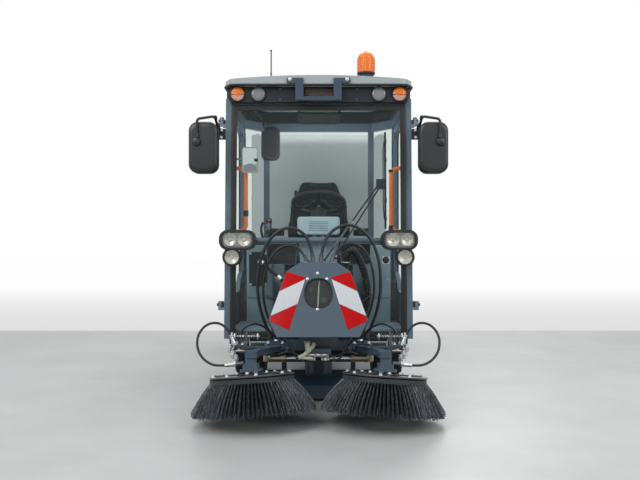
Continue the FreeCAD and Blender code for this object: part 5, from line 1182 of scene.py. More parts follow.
def hood_oval(grow=0.0, out=0.0, count=40):
    """Points round the hood's window."""
    points = []
    for k in range(count):
        angle = 2 * math.pi * k / count
        bulge = 1 + 0.05 * math.sin(2 * angle) ** 2
        across = (WINDOW_SIZE[0] + grow) * math.cos(angle) * bulge
        up = (WINDOW_SIZE[1] + grow) * math.sin(angle) * bulge
        points.append(on_hood(across, WINDOW_MIDDLE + up * math.cos(HOOD_SLOPE), out))
    return points


STRIPES = {
    "red_tape": (((0.178, 0.3455), (0.07, 0.3132), (0.0735, 0.3055), (0.2155, 0.2425)),
                 ((0.1168, 0.1691), (0.263, 0.1048), (0.263, 0.079), (0.16, 0.0361))),
    "white_tape": (((0.0745, 0.3035), (0.216, 0.2385), (0.2615, 0.109), (0.1155, 0.1723)),),
}


def between(first, second, share):
    return tuple(a + (b - a) * share for a, b in zip(first, second))


# Y of the pump, of the spray pipe and of the water fork
PUMP_Y = -1.392
SPRAY_Y = -1.632
FORK_Y = -1.654


class SWEEPER_OT_hood(bpy.types.Operator):
    """Warning stripes, window, seals and screws of the front hood"""

    bl_idname = "sweeper.hood"
    bl_label = "Front hood"

    def execute(self, context):
        self.stripes()
        self.window()
        heads = ((-0.005, 0.3373), (-0.005, 0.1445), (-0.0616, 0.3066), (0.0471, 0.3066))
        bolts("hood_screws", [(on_hood(x, h, 0.0002), hood_normal()) for x, h in heads], "front_unit",
              0.011, 0.004)
        self.inside()
        return {"FINISHED"}

    def stripes(self):
        for finish, bands in STRIPES.items():
            form = Form()
            for side in (-1, 1):
                for band in bands:
                    form.slab([on_hood(side * x, h, 0.0002) for x, h in band],
                              hood_normal() * 0.0008, 0, 0.0003)
            form.piece("hood_" + finish, finish, "front_unit", 20)
        lines = Form()
        top, low = STRIPES["white_tape"][0][:2], STRIPES["white_tape"][0][:1:-1]
        for side in (-1, 1):
            for k in range(1, 8):
                first, last = between(*top, k / 8), between(*low, k / 8)
                ends = [(first, -0.0007), (first, 0.0007), (last, 0.0007), (last, -0.0007)]
                lines.slab([on_hood(side * (point[0] + shift), point[1], 0.0011) for point, shift in ends],
                           hood_normal() * 0.0002)
        lines.piece("hood_tape_joints", "tape_joint", "front_unit", 20)

    def window(self):
        form = Form()
        form.hoop(hood_oval(0.001, 0.001), 0.0042, 0, 10)
        form.slab(hood_oval(-0.004, -0.004), hood_normal() * -0.003, 1)
        form.piece("hood_window", ("seal_rubber", "smoked_glass"), "front_unit", 40)
        gear = Form()
        gear.pipe([on_hood(-0.004, 0.15, -0.012), on_hood(0.001, 0.235, -0.013),
                   on_hood(0.006, 0.312, -0.012)], [0.004, 0.005, 0.0032], 0, 12)
        gear.rod(on_hood(-0.004, 0.15, -0.06), on_hood(-0.004, 0.15, -0.022), 0.013, 0, 20, 0.002)
        gear.rod(on_hood(0.03, 0.205, -0.07), on_hood(0.03, 0.205, -0.028), 0.02, 1, 24, 0.003)
        gear.rod(on_hood(-0.04, 0.262, -0.07), on_hood(-0.04, 0.262, -0.034), 0.016, 1, 24, 0.003)
        gear.bend([on_hood(-0.066, 0.17, -0.045), on_hood(-0.03, 0.215, -0.036),
                   on_hood(0.022, 0.256, -0.04), on_hood(0.06, 0.304, -0.055)], 0.006, 2, 10)
        gear.piece("hood_sight_gear", ("plated_steel", "dark_steel", "hose_rubber"), "front_unit")

    def pump_hoses(self):
        """The ribbed hose behind the hood's left side and a short branch with its ferrules on the right."""
        form = Form()
        bends = smooth_line([(0.15, -1.33, 0.64), (0.157, -1.338, 0.76), (0.16, -1.346, 0.868),
                             (0.194, -1.348, 0.922), (0.232, -1.348, 0.886), (0.264, -1.346, 0.808),
                             (0.284, -1.344, 0.726), (0.29, -1.338, 0.64), (0.272, -1.322, 0.56),
                             (0.24, -1.306, 0.5)])
        line, radii, run = [], [], 0.0
        for first, last in zip(bends, bends[1:]):
            first, last = Vector(first), Vector(last)
            steps = max(1, round((last - first).length / 0.0022))
            for k in range(steps):
                line.append(first.lerp(last, k / steps))
                radii.append(0.0205 + 0.0024 * math.sin(2 * math.pi * run / 0.0115))
                run += (last - first).length / steps
        form.pipe(line, radii, 0, 20)
        branch = smooth_line([(-0.338, -1.402, 0.858), (-0.3, -1.398, 0.826), (-0.258, -1.396, 0.79),
                              (-0.216, -1.392, 0.752), (-0.188, -1.384, 0.712), (-0.176, -1.372, 0.66)])
        form.pipe(branch, 0.0095, 0, 14)
        for start, end, size in (((-0.345, -1.402, 0.864), (-0.322, -1.4, 0.845), 0.015),
                                 ((-0.238, -1.394, 0.773), (-0.218, -1.392, 0.754), 0.0125)):
            form.rod(start, end, size, 1, 6, 0.002)
        form.ring((0.16, -1.345, 0.852), (0.05, -0.05, 1), 0.0235, 0.003, 1, 32, 8)
        form.piece("pump_hoses", ("hose_rubber", "plated_steel"), "front_unit", 40)

    def inside(self):
        """The dark pump cover and pipes under the hood."""
        form = Form()
        outline = rounded([(-0.262, -1.3, 0.268), (0.262, -1.3, 0.268), (0.262, -1.3, 0.56),
                           (0.205, -1.3, 0.64), (-0.205, -1.3, 0.64), (-0.262, -1.3, 0.56)], 0.022)
        form.slab(outline, (0, 0.022, 0), 0, 0.003)
        for k in range(7):
            x = -0.21 + 0.07 * k
            form.box((x - 0.006, -1.309, 0.3), (x + 0.006, -1.299, 0.58), 0, 0.002)
        form.box((-0.15, -1.452, 0.505), (0.15, -1.312, 0.6), 0, 0.012)
        form.rod((-0.18, PUMP_Y, 0.555), (0.18, PUMP_Y, 0.555), 0.038, 1, 32, 0.006)
        for x in (-0.12, -0.04, 0.04, 0.12):
            form.rod((x, PUMP_Y, 0.59), (x, PUMP_Y, 0.622), 0.014, 1, 6)
            form.bend([(x, PUMP_Y, 0.622), (x * 1.1, -1.395, 0.7), (x * 0.8, -1.42, 0.79)], 0.007, 2, 10)
        form.piece("pump_cover", ("black_plastic", "dark_steel", "hose_rubber"), "front_unit")
        self.pump_hoses()
        tidy = Form()
        for side in (-1, 1):
            foot = (side * 0.225, -1.6, 0.345)
            line = smooth_line([foot, (side * 0.16, -1.615, 0.362), (side * 0.09, -1.628, 0.342),
                                (0.0, -1.63, 0.348)])
            tidy.pipe(line, 0.0055, 0, 10)
            tidy.bend([(side * 0.2, -1.52, 0.44), (side * 0.15, -1.6, 0.395), (side * 0.12, -1.625, 0.33),
                       (side * 0.06, -1.63, 0.32)], 0.0045, 0, 10)
        tidy.rod((-0.052, SPRAY_Y, 0.348), (0.052, SPRAY_Y, 0.348), 0.011, 1, 20, 0.002)
        for x in (-0.05, -0.016, 0.016, 0.05):
            tidy.rod((x - 0.006, SPRAY_Y, 0.348), (x + 0.006, SPRAY_Y, 0.348), 0.0145, 1, 6)
        tidy.piece("spray_pipes", ("hose_rubber", "plated_steel"), "front_unit")
        self.manifold()

    def manifold(self):
        """The pale forked water fitting between the two brush arms."""
        form = Form()
        stem = smooth_line([(-0.062, -1.652, 0.425), (-0.058, FORK_Y, 0.392), (-0.052, FORK_Y, 0.368)])
        form.pipe(stem, 0.0155, 0, 16)
        form.bend([(-0.052, FORK_Y, 0.372), (-0.082, FORK_Y, 0.348), (-0.108, FORK_Y, 0.336)],
                  0.0115, 0, 14)
        form.bend([(-0.054, FORK_Y, 0.378), (-0.034, FORK_Y, 0.392), (-0.022, FORK_Y, 0.418)],
                  0.0105, 0, 14)
        form.rod((-0.108, FORK_Y, 0.336), (-0.03, FORK_Y, 0.33), 0.0095, 0, 16, 0.002)
        form.ring((-0.061, -1.652, 0.42), (0.1, 0, 1), 0.016, 0.0035, 0, 24)
        form.ring((-0.024, FORK_Y, 0.412), (0.3, 0, 1), 0.011, 0.003, 0, 24)
        form.ring((-0.104, FORK_Y, 0.3365), (1, 0, 0), 0.0115, 0.003, 0, 24)
        form.rod((-0.058, FORK_Y, 0.38), (-0.058, -1.622, 0.378), 0.007, 1, 12)
        form.piece("water_fork", ("cream_plastic", "plated_steel"), "front_unit")


SPRING_TURNS = 9
# Y and Z of the springs on the brush arms and of the swing rams
SPRING_AXIS = (-1.6, 0.446)
RAM_AXIS = (-1.525, 0.314)


def spring_line(start, end, radius, turns, steps=14):
    """Points of a coil spring between two points, with its end turns drawn together."""
    start, end = Vector(start), Vector(end)
    along = (end - start).normalized()
    side = along.orthogonal().normalized()
    other = along.cross(side)
    line = []
    for k in range(turns * steps + 1):
        share = k / (turns * steps)
        angle = 2 * math.pi * turns * share
        eased = share - 0.035 * math.sin(2 * math.pi * share)
        line.append(start + (end - start) * eased
                    + (side * math.cos(angle) + other * math.sin(angle)) * radius)
    return line


class SWEEPER_OT_linkage(bpy.types.Operator):
    """Springs, couplings, clamps and fasteners of the brush arms"""

    bl_idname = "sweeper.linkage"
    bl_label = "Brush linkage"

    def execute(self, context):
        for word, side in SIDES:
            self.arm(word, side)
            self.ram(word, side)
            self.carrier_side(word, side)
        down = [((x, -1.45, 0.8445), UP) for x in (-0.07, 0.046, 0.082)]
        plate = [((side * 0.262, -1.2735, z), FRONT) for side in (-1, 1) for z in (0.29, 0.4)]
        bolts("carrier_bolts", down + plate, "front_unit", 0.017, 0.009)
        return {"FINISHED"}

    def arm(self, word, side):
        at = lambda *point: mirrored(point, side)
        form = Form()
        form.pipe(spring_line(at(0.338, *SPRING_AXIS), at(0.462, *SPRING_AXIS), 0.0155, SPRING_TURNS),
                  0.0028, 1, 8)
        form.rod(at(0.326, *SPRING_AXIS), at(0.474, *SPRING_AXIS), 0.0062, 0, 14, 0.001)
        for x in (0.336, 0.464):
            form.rod(at(x - 0.004, *SPRING_AXIS), at(x + 0.004, *SPRING_AXIS), 0.019, 0, 24, 0.001)
        for x in (0.398, 0.478):
            form.box(at(x - 0.004, -1.628, 0.396), at(x + 0.004, -1.59, 0.47), 0, 0.001)
        couplings = ((0.47, -1.64, 0.352, 0.018), (0.452, -1.646, 0.33, 0.014),
                     (0.488, -1.64, 0.386, 0.013))
        for x, y, z, size in couplings:
            form.rod(at(x, y, z - 0.022), at(x, y, z + 0.022), size * 0.72, 0, 20, 0.002)
            form.rod(at(x, y, z - 0.01), at(x, y, z + 0.01), size, 0, 6, 0.001)
        form.bend([at(0.47, -1.64, 0.374), at(0.44, -1.65, 0.392), at(0.4, -1.65, 0.38),
                   at(0.375, -1.66, 0.35)], 0.0062, 2, 10)
        form.rod(at(0.3, -1.64, 0.372), at(0.47, -1.64, 0.372), 0.0055, 0, 12, 0.001)
        form.piece("arm_gear_" + word, ("plated_steel", "dark_steel", "hose_rubber"), "brush_arm_" + word)
        heads = [(at(x, -1.6325, z), FRONT) for x, z in ((0.316, 0.372), (0.434, 0.377))]
        heads += [(at(x, -1.622, 0.4045), UP) for x in (0.42, 0.462)]
        bolts("arm_bolts_" + word, heads, "brush_arm_" + word, 0.015, 0.008)

    def ram(self, word, side):
        at = lambda *point: mirrored(point, side)
        sleeve = Form()
        ends = (at(0.2805, *RAM_AXIS), at(0.1845, *RAM_AXIS))
        sleeve.turned([(0.0, 0.0202), (0.0, 0.0215), (0.004, 0.0225), (0.01, 0.0225), (0.012, 0.0206),
                       (0.078, 0.0206), (0.08, 0.0228), (0.094, 0.0228), (0.096, 0.0215), (0.096, 0.0202)],
                      ends[0], ends[1] - ends[0], 0, 32, ring=True)
        sleeve.piece("ram_sleeve_" + word, "tan_steel", "swing_barrel_" + word)
        tip = Form()
        tip.turned([(0.0, 0.0095), (0.0, 0.015), (0.003, 0.0165), (0.012, 0.0165), (0.015, 0.015),
                    (0.015, 0.0095)], at(0.096, *RAM_AXIS), at(-1, 0, 0), 0, 6, ring=True)
        tip.turned([(0.0, 0.0095), (0.0, 0.0125), (0.016, 0.011), (0.016, 0.0095)], at(0.081, *RAM_AXIS),
                   at(-1, 0, 0), 0, 20, ring=True)
        tip.piece("ram_tip_" + word, "plated_steel", "swing_rod_" + word)
        heads = [(at(0.238 + x, -1.45 + y, 0.3942), UP) for x, y in ((-0.035, -0.036), (0.047, -0.034))]
        bolts("knuckle_bolts_" + word, heads, "knuckle_" + word, 0.017, 0.009)
        cap = Form()
        for x, way in ((0.1775, -1), (0.3045, 1)):
            cap.turned([(0.0, 0.0), (0.0, 0.0125), (0.004, 0.0135), (0.007, 0.0115), (0.008, 0.0)],
                       at(x, -1.524, 0.371), at(way, 0, 0), 0, 24)
        cap.piece("knuckle_caps_" + word, "plated_steel", "knuckle_" + word)

    def carrier_side(self, word, side):
        at = lambda *point: mirrored(point, side)
        form = Form()
        form.turned([(0.0, 0.0), (0.0, 0.018), (0.004, 0.0195), (0.009, 0.0175), (0.012, 0.0)],
                    at(0.238, -1.45, 0.4035), UP, 0, 28)
        form.bend([at(0.255, -1.392, 0.42), at(0.3, -1.41, 0.47), at(0.365, -1.44, 0.5),
                   at(0.43, -1.45, 0.47), at(0.462, -1.44, 0.4)], 0.0058, 1, 10)
        form.bend([at(0.21, -1.378, 0.41), at(0.2, -1.41, 0.5), at(0.235, -1.42, 0.6), at(0.3, -1.4, 0.66)],
                  0.0048, 1, 10)
        form.box(at(0.4, -1.36, 0.345), at(0.5, -1.3, 0.42), 2, 0.006)
        form.box(at(0.296, -1.36, 0.352), at(0.402, -1.312, 0.388), 2, 0.004)
        for x in (0.425, 0.475):
            form.rod(at(x, -1.378, 0.382), at(x, -1.36, 0.382), 0.01, 0, 6)
        form.piece("carrier_gear_" + word, ("plated_steel", "hose_rubber", "dark_steel"), "front_unit")


ROOF_LAMPS = ((0.494, True), (0.368, False))
ROOF_LAMP_Z = 1.872
BEACON = (0.306, -0.86, 2.052)


def cab_face(z, out=0.0):
    """Y of the raked cab front at a height."""
    return -1.212 + 0.1 * (z - 0.43) / 1.42 - out


class SWEEPER_OT_roof(bpy.types.Operator):
    """Roof lamps, beacon, grille, bracket bolts, antenna foot and drip edge"""

    bl_idname = "sweeper.roof"
    bl_label = "Roof and its lamps"

    def execute(self, context):
        for word, side in SIDES:
            for x, turns in ROOF_LAMPS:
                self.lamp(word, side * x, turns)
        self.beacon()
        self.edge()
        slats("roof_grille", (0.0015, -1.1465, 1.8615), "front_unit", "grille_mesh", Count=10, Pitch=0.0049,
              Wide=0.168, Deep=0.009, High=0.0022, Tilt=0.5)
        ears = [((side * 0.173, -1.1983, 1.953), FRONT) for side in (-1, 1)]
        legs = [((side * 0.116, -1.1983, 1.838), FRONT) for side in (-1, 1)]
        bolts("bracket_bolts", ears, "front_unit", 0.015, 0.006)
        bolts("bracket_feet", legs, "front_unit", 0.011, 0.004, "dark_steel")
        corners = [((side * x, -1.1465, z), FRONT) for side in (-1, 1)
                   for x, z in ((0.234, 1.905), (0.234, 1.838))]
        bolts("panel_screws", corners, "front_unit", 0.01, 0.004, "dark_steel")
        return {"FINISHED"}

    def lamp(self, word, x, turns):
        form = Form()
        form.turned([(0.0, 0.0405), (0.0, 0.047), (0.004, 0.0485), (0.011, 0.0475), (0.014, 0.045),
                     (0.012, 0.0415)], (x, -1.1445, ROOF_LAMP_Z), FRONT, 0, 48, ring=True)
        if turns:
            form.turned([(0.0, 0.0), (0.0, 0.04), (0.006, 0.0395), (0.003, 0.03), (0.0015, 0.0)],
                        (x, -1.1462, ROOF_LAMP_Z), FRONT, 3, 40)
            faces = form.pillow(circle((x, -1.1535, ROOF_LAMP_Z), 0.041, count=40),
                                (0, -0.0085, 0), 1, 0.55)
            for face in faces:
                if face.calc_center_median().z < ROOF_LAMP_Z - 0.002:
                    face.material_index = 2
            form.box((x - 0.0405, -1.1625, ROOF_LAMP_Z - 0.0045),
                     (x + 0.0405, -1.1525, ROOF_LAMP_Z - 0.0015), 0, 0.0008)
        else:
            form.pillow(circle((x, -1.1535, ROOF_LAMP_Z), 0.041, count=40), (0, -0.0055, 0), 1, 0.5)
            form.ring((x, -1.1585, ROOF_LAMP_Z), FRONT, 0.027, 0.0012, 1, 36, 6)
        finishes = ("black_plastic", "amber_lens", "clear_lens", "chrome")
        finishes = finishes if turns else ("black_plastic", "lamp_cover")
        form.piece(f"roof_lamp_{'turn' if turns else 'work'}_{word}", finishes, "front_unit")

    def beacon(self):
        form = Form()
        wall = [(0.0005, 0.0), (0.0005, 0.05), (0.004, 0.0565), (0.012, 0.0572), (0.088, 0.056),
                (0.108, 0.053), (0.126, 0.044), (0.137, 0.029), (0.1415, 0.012), (0.1425, 0.0)]
        form.turned(wall, BEACON, UP, 0, 48)
        for k in range(24):
            angle = 2 * math.pi * k / 24
            way = Vector((math.cos(angle), math.sin(angle), 0))
            start = Vector(BEACON) + way * 0.0565
            form.pipe([start + Vector((0, 0, 0.012)), start + Vector((0, 0, 0.086)),
                       start - way * 0.003 + Vector((0, 0, 0.106))], 0.0015, 0, 6)
        form.turned([(0.141, 0.0), (0.141, 0.011), (0.1445, 0.009), (0.145, 0.0)], BEACON, UP, 1, 24)
        form.turned([(-0.006, 0.047), (-0.006, 0.0555), (0.0, 0.0592), (0.006, 0.0592), (0.008, 0.0578),
                     (0.008, 0.047)], BEACON, UP, 1, 48, ring=True)
        form.turned([(-0.078, 0.0485), (-0.078, 0.056), (-0.072, 0.0575), (-0.064, 0.05), (-0.064, 0.0485)],
                    BEACON, UP, 1, 48, ring=True)
        form.turned([(0.03, 0.0), (0.03, 0.02), (0.06, 0.034), (0.092, 0.04), (0.092, 0.037),
                     (0.062, 0.028), (0.045, 0.0)], BEACON, UP, 2, 32)
        form.piece("beacon", ("amber_lens", "black_plastic", "chrome"), "front_unit", 40)
        foot = Form()
        foot.turned([(0.0, 0.0), (0.0, 0.024), (0.006, 0.0245), (0.012, 0.018), (0.03, 0.011),
                     (0.042, 0.0075), (0.042, 0.0)], (-0.306, -0.86, 1.974), UP, 0, 28)
        foot.pipe(spring_line((-0.306, -0.86, 2.014), (-0.306, -0.86, 2.06), 0.005, 10), 0.0012, 1, 6)
        foot.turned([(0.0, 0.0), (0.0, 0.0045), (0.003, 0.0065), (0.008, 0.0065), (0.01, 0.003),
                     (0.01, 0.0)], (-0.306, -0.86, 2.197), UP, 0, 16)
        foot.piece("antenna_foot", ("black_plastic", "dark_steel"), "front_unit")

    def edge(self):
        """Rubber drip edge round the roof's foot."""
        plan = [(-0.534, -1.186), (0.534, -1.186), (0.574, -1.102), (0.574, -0.172), (0.426, 0.034),
                (-0.426, 0.034), (-0.574, -0.172), (-0.574, -1.102)]
        line = rounded([(x, y, 1.9215) for x, y in plan], (0.05, 0.05, 0.06, 0.06, 0.04, 0.04, 0.06, 0.06))
        form = Form()
        form.hoop(line, 0.008, 0, 10)
        for side in (-1, 1):
            form.pipe([(side * 0.545, -1.05, 1.958), (side * 0.548, -0.6, 1.961),
                       (side * 0.545, -0.2, 1.958)], 0.0055, 0, 8)
        form.piece("roof_drip_edge", "seal_rubber", "front_unit")


def oval(x, z, y, corner=0.045):
    return plate_outline(x, z, y, corner, 7)


class SWEEPER_OT_lamps(bpy.types.Operator):
    """Reflectors, lenses and bezels of the head lamps"""

    bl_idname = "sweeper.lamps"
    bl_label = "Head lamps"

    def execute(self, context):
        for word, side in SIDES:
            form = Form()
            form.slab(oval((side * 0.3925, side * 0.5775), (0.9345, 1.0295), -1.2603), (0, -0.0015, 0), 3)
            for k in range(9):
                form.box((side * 0.4, -1.2632, 0.945 + 0.0092 * k),
                         (side * 0.57, -1.2617, 0.9485 + 0.0092 * k), 0)
            for x, size in ((0.444, 0.0385), (0.527, 0.0365)):
                bowl = [(0.0, 0.01), (0.0, size * 0.97), (0.0085, size), (0.0085, size * 0.95),
                        (0.003, size * 0.6), (0.001, 0.012)]
                form.turned(bowl, (side * x, -1.2618, 0.982), FRONT, 0, 36, ring=True)
                form.turned([(0.0, 0.0), (0.0, 0.009), (0.006, 0.0085), (0.008, 0.0)],
                            (side * x, -1.2615, 0.982), FRONT, 0, 20)
            rim = [Vector(p) for p in oval((side * 0.3895, side * 0.5805), (0.9315, 1.0325),
                                           -1.2755, 0.0465)]
            form.hoop(rim, 0.0034, 2, 8)
            form.pillow(oval((side * 0.3925, side * 0.5775), (0.9345, 1.0295), -1.2715),
                        (0, -0.0065, 0), 1, 0.3)
            form.turned([(0.0, 0.0), (0.0, 0.041), (0.012, 0.0425), (0.012, 0.04), (0.004, 0.024),
                         (0.002, 0.0)], (side * 0.518, -1.2442, 0.88), FRONT, 0, 40)
            form.turned([(0.0, 0.0), (0.0, 0.008), (0.01, 0.007), (0.012, 0.0)],
                        (side * 0.518, -1.247, 0.88), FRONT, 0, 20)
            form.pillow(circle((side * 0.518, -1.26, 0.88), 0.043, count=40), (0, -0.0065, 0), 1, 0.4)
            form.ring((side * 0.518, -1.264, 0.88), FRONT, 0.0465, 0.0032, 2, 48, 10)
            form.box((side * 0.47, -1.262, 0.915), (side * 0.5, -1.225, 0.935), 2, 0.004)
            form.piece("head_lamp_" + word, ("reflector", "head_glass", "black_plastic", "rim_paint"),
                       "front_unit")
        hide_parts("lamp_lenses")
        return {"FINISHED"}


class SWEEPER_OT_mirrors(bpy.types.Operator):
    """Rounded shells, clamps and arm details of the mirrors"""

    bl_idname = "sweeper.mirrors"
    bl_label = "Mirrors"

    def execute(self, context):
        for word, side in SIDES:
            form = Form()
            form.pillow(plate_outline((side * 0.6015, side * 0.7725), (1.3815, 1.6855), -1.2638, 0.053, 7),
                        (0, -0.017, 0), 0, 0.22, 7)
            form.hoop(plate_outline((side * 0.613, side * 0.761), (1.394, 1.673), -1.2735, 0.042, 7),
                      0.0016, 0, 6)
            form.turned([(0.0, 0.0), (0.0, 0.024), (0.006, 0.026), (0.018, 0.022), (0.022, 0.012),
                         (0.023, 0.0)], (side * 0.7245, -1.279, 1.566), FRONT, 0, 28)
            for start, end, size in (((0.614, -1.118, 1.668), (0.614, -1.15, 1.69), 0.0125),
                                     ((0.614, -1.255, 1.707), (0.614, -1.278, 1.7145), 0.0115),
                                     ((0.72, -1.29, 1.612), (0.72, -1.289, 1.59), 0.0125)):
                form.rod(mirrored(start, side), mirrored(end, side), size, 0, 20, 0.002)
            form.rod(mirrored((0.594, -1.108, 1.652), side), mirrored((0.632, -1.108, 1.652), side), 0.017,
                     0, 24, 0.003)
            form.piece("mirror_shell_" + word, "mirror_plastic", "front_unit", 40)
            marks_at = [(mirrored((0.596, -1.1185, z), side), FRONT) for z in (1.612, 1.655)]
            bolts("mirror_bolts_" + word, marks_at, "front_unit", 0.012, 0.006)
        return {"FINISHED"}


# Half widths of the windscreen and of its seal, and the height of their top
GLASS_HALF = 0.499
SEAL_HALF = 0.522
GLASS_TOP = 1.812


class SWEEPER_OT_windscreen(bpy.types.Operator):
    """Rubber seals of the windscreen and its wiper's fittings"""

    bl_idname = "sweeper.windscreen"
    bl_label = "Windscreen trim"

    def execute(self, context):
        form = Form()
        for side in (-1, 1):
            self.strip(form, [(side * GLASS_HALF, 0.402), (side * SEAL_HALF, 0.402),
                              (side * SEAL_HALF, GLASS_TOP), (side * GLASS_HALF, GLASS_TOP)], 0)
            self.strip(form, [(side * SEAL_HALF, 0.392), (side * 0.534, 0.392), (side * 0.534, 1.83),
                              (side * SEAL_HALF, 1.83)], 1)
        self.strip(form, [(-GLASS_HALF, 1.776), (GLASS_HALF, 1.776), (GLASS_HALF, GLASS_TOP),
                          (-GLASS_HALF, GLASS_TOP)], 0)
        self.strip(form, [(-GLASS_HALF, 0.4), (GLASS_HALF, 0.4), (GLASS_HALF, 0.432), (-GLASS_HALF, 0.432)],
                   0)
        form.piece("windscreen_seal", ("seal_rubber", "black_plastic"), "front_unit")
        gear = Form()
        for x, z in ((0.028, 0.85), (0.104, 0.885)):
            gear.turned([(0.0, 0.0), (0.0, 0.0185), (0.01, 0.0185), (0.014, 0.012), (0.015, 0.0)],
                        (x, cab_face(z, 0.033), z), FRONT, 0, 24)
            gear.rod((x, cab_face(z, 0.046), z), (x, cab_face(z, 0.054), z), 0.0085, 1, 6)
        spring = spring_line((0.09, cab_face(0.935, 0.034), 0.937), (0.205, cab_face(1.1, 0.034), 1.098),
                             0.0055, 22, 10)
        gear.pipe(spring, 0.0011, 1, 6)
        blade = [(0.406, cab_face(z, 0.0235), z) for z in (1.052, 1.345, 1.638)]
        gear.pipe(blade, [0.003, 0.0045, 0.003], 0, 8)
        for z in (1.11, 1.22, 1.47, 1.58):
            gear.box((0.3985, cab_face(z, 0.033), z - 0.012),
                     (0.4135, cab_face(z, 0.014), z + 0.012), 0, 0.002)
        gear.bend([(0.398, cab_face(1.11, 0.028), 1.11), (0.392, cab_face(1.18, 0.036), 1.19),
                   (0.392, cab_face(1.25, 0.038), 1.3), (0.392, cab_face(1.48, 0.036), 1.5),
                   (0.398, cab_face(1.58, 0.028), 1.58)], 0.0035, 0, 8)
        gear.piece("wiper_gear", ("black_plastic", "plated_steel"), "front_unit")
        return {"FINISHED"}

    def strip(self, form, corners, slot):
        points = [(x, cab_face(z, 0.0035), z) for x, z in corners]
        form.slab(points, (0, 0.0032, 0), slot, 0.0008)


class SWEEPER_OT_doors(bpy.types.Operator):
    """Handles, grips, hinge caps and seals of the doors"""

    bl_idname = "sweeper.doors"
    bl_label = "Door fittings"

    def execute(self, context):
        for word, side in SIDES:
            body = "door_" + word
            form = Form()
            at = lambda *point: mirrored(point, side)
            collars = ((1.128, 1.165),) if side < 0 else ((1.04, 1.072),)
            for low, high in (*collars, (1.4, 1.418)):
                form.rod(at(0.45, -1.068, low), at(0.45, -1.068, high), 0.0162, 0, 20, 0.002)
            for z in (1.035, 1.426):
                form.rod(at(0.52, -1.068, z), at(0.5375, -1.068, z), 0.0225, 0, 24, 0.003)
            form.box((side * 0.5665, -0.345, 0.905), (side * 0.5785, -0.265, 1.01), 0, 0.006)
            form.box((side * 0.5785, -0.338, 0.945), (side * 0.5865, -0.272, 0.975), 1, 0.004)
            form.turned([(0.0, 0.0), (0.0, 0.0115), (0.004, 0.01), (0.005, 0.0)], at(0.5785, -0.305, 0.924),
                        at(1, 0, 0), 1, 20)
            form.box((side * 0.5205, -0.352, 0.915), (side * 0.5355, -0.262, 1.035), 0, 0.005)
            form.bend([at(0.524, -0.305, 1.02), at(0.5, -0.315, 1.03), at(0.492, -0.38, 1.03),
                       at(0.494, -0.43, 1.028)], 0.0065, 0, 10)
            form.piece("door_fittings_" + word, ("black_plastic", "plated_steel"), body)
            seal = Form()
            line = [at(0.5675, y, z)
                    for y, z in ((-0.282, 0.66), (-0.282, 1.7), (-0.33, 1.736), (-1.045, 1.736),
                                 (-1.083, 1.68))]
            seal.pipe(rounded(line, (0, 0.03, 0.03, 0.03, 0), 5), 0.0042, 0, 8)
            seal.box((side * 0.566, -1.02, 0.585), (side * 0.5715, -0.44, 0.603), 0, 0.002)
            seal.piece("door_seal_" + word, "seal_rubber", body)
            heads = [(at(0.6095, cab_face(z) + 0.032, z), at(1, 0, 0)) for z in (0.59, 1.717)]
            bolts("hinge_bolts_" + word, heads, body, 0.016, 0.006, "dark_steel")
        return {"FINISHED"}


# Where the cab's inner pieces stand: the consoles' sides and top, the header frame and the seat's shell
CONSOLE_SIDES = (0.302, 0.468)
CONSOLE_TOP = 0.9505
HEADER_Y = -1.06
SHELL_Y = -0.149
WHEEL_TILT = Matrix.Translation((0, -0.65, 1.23)) @ Matrix.Rotation(math.radians(-22), 4, "X")


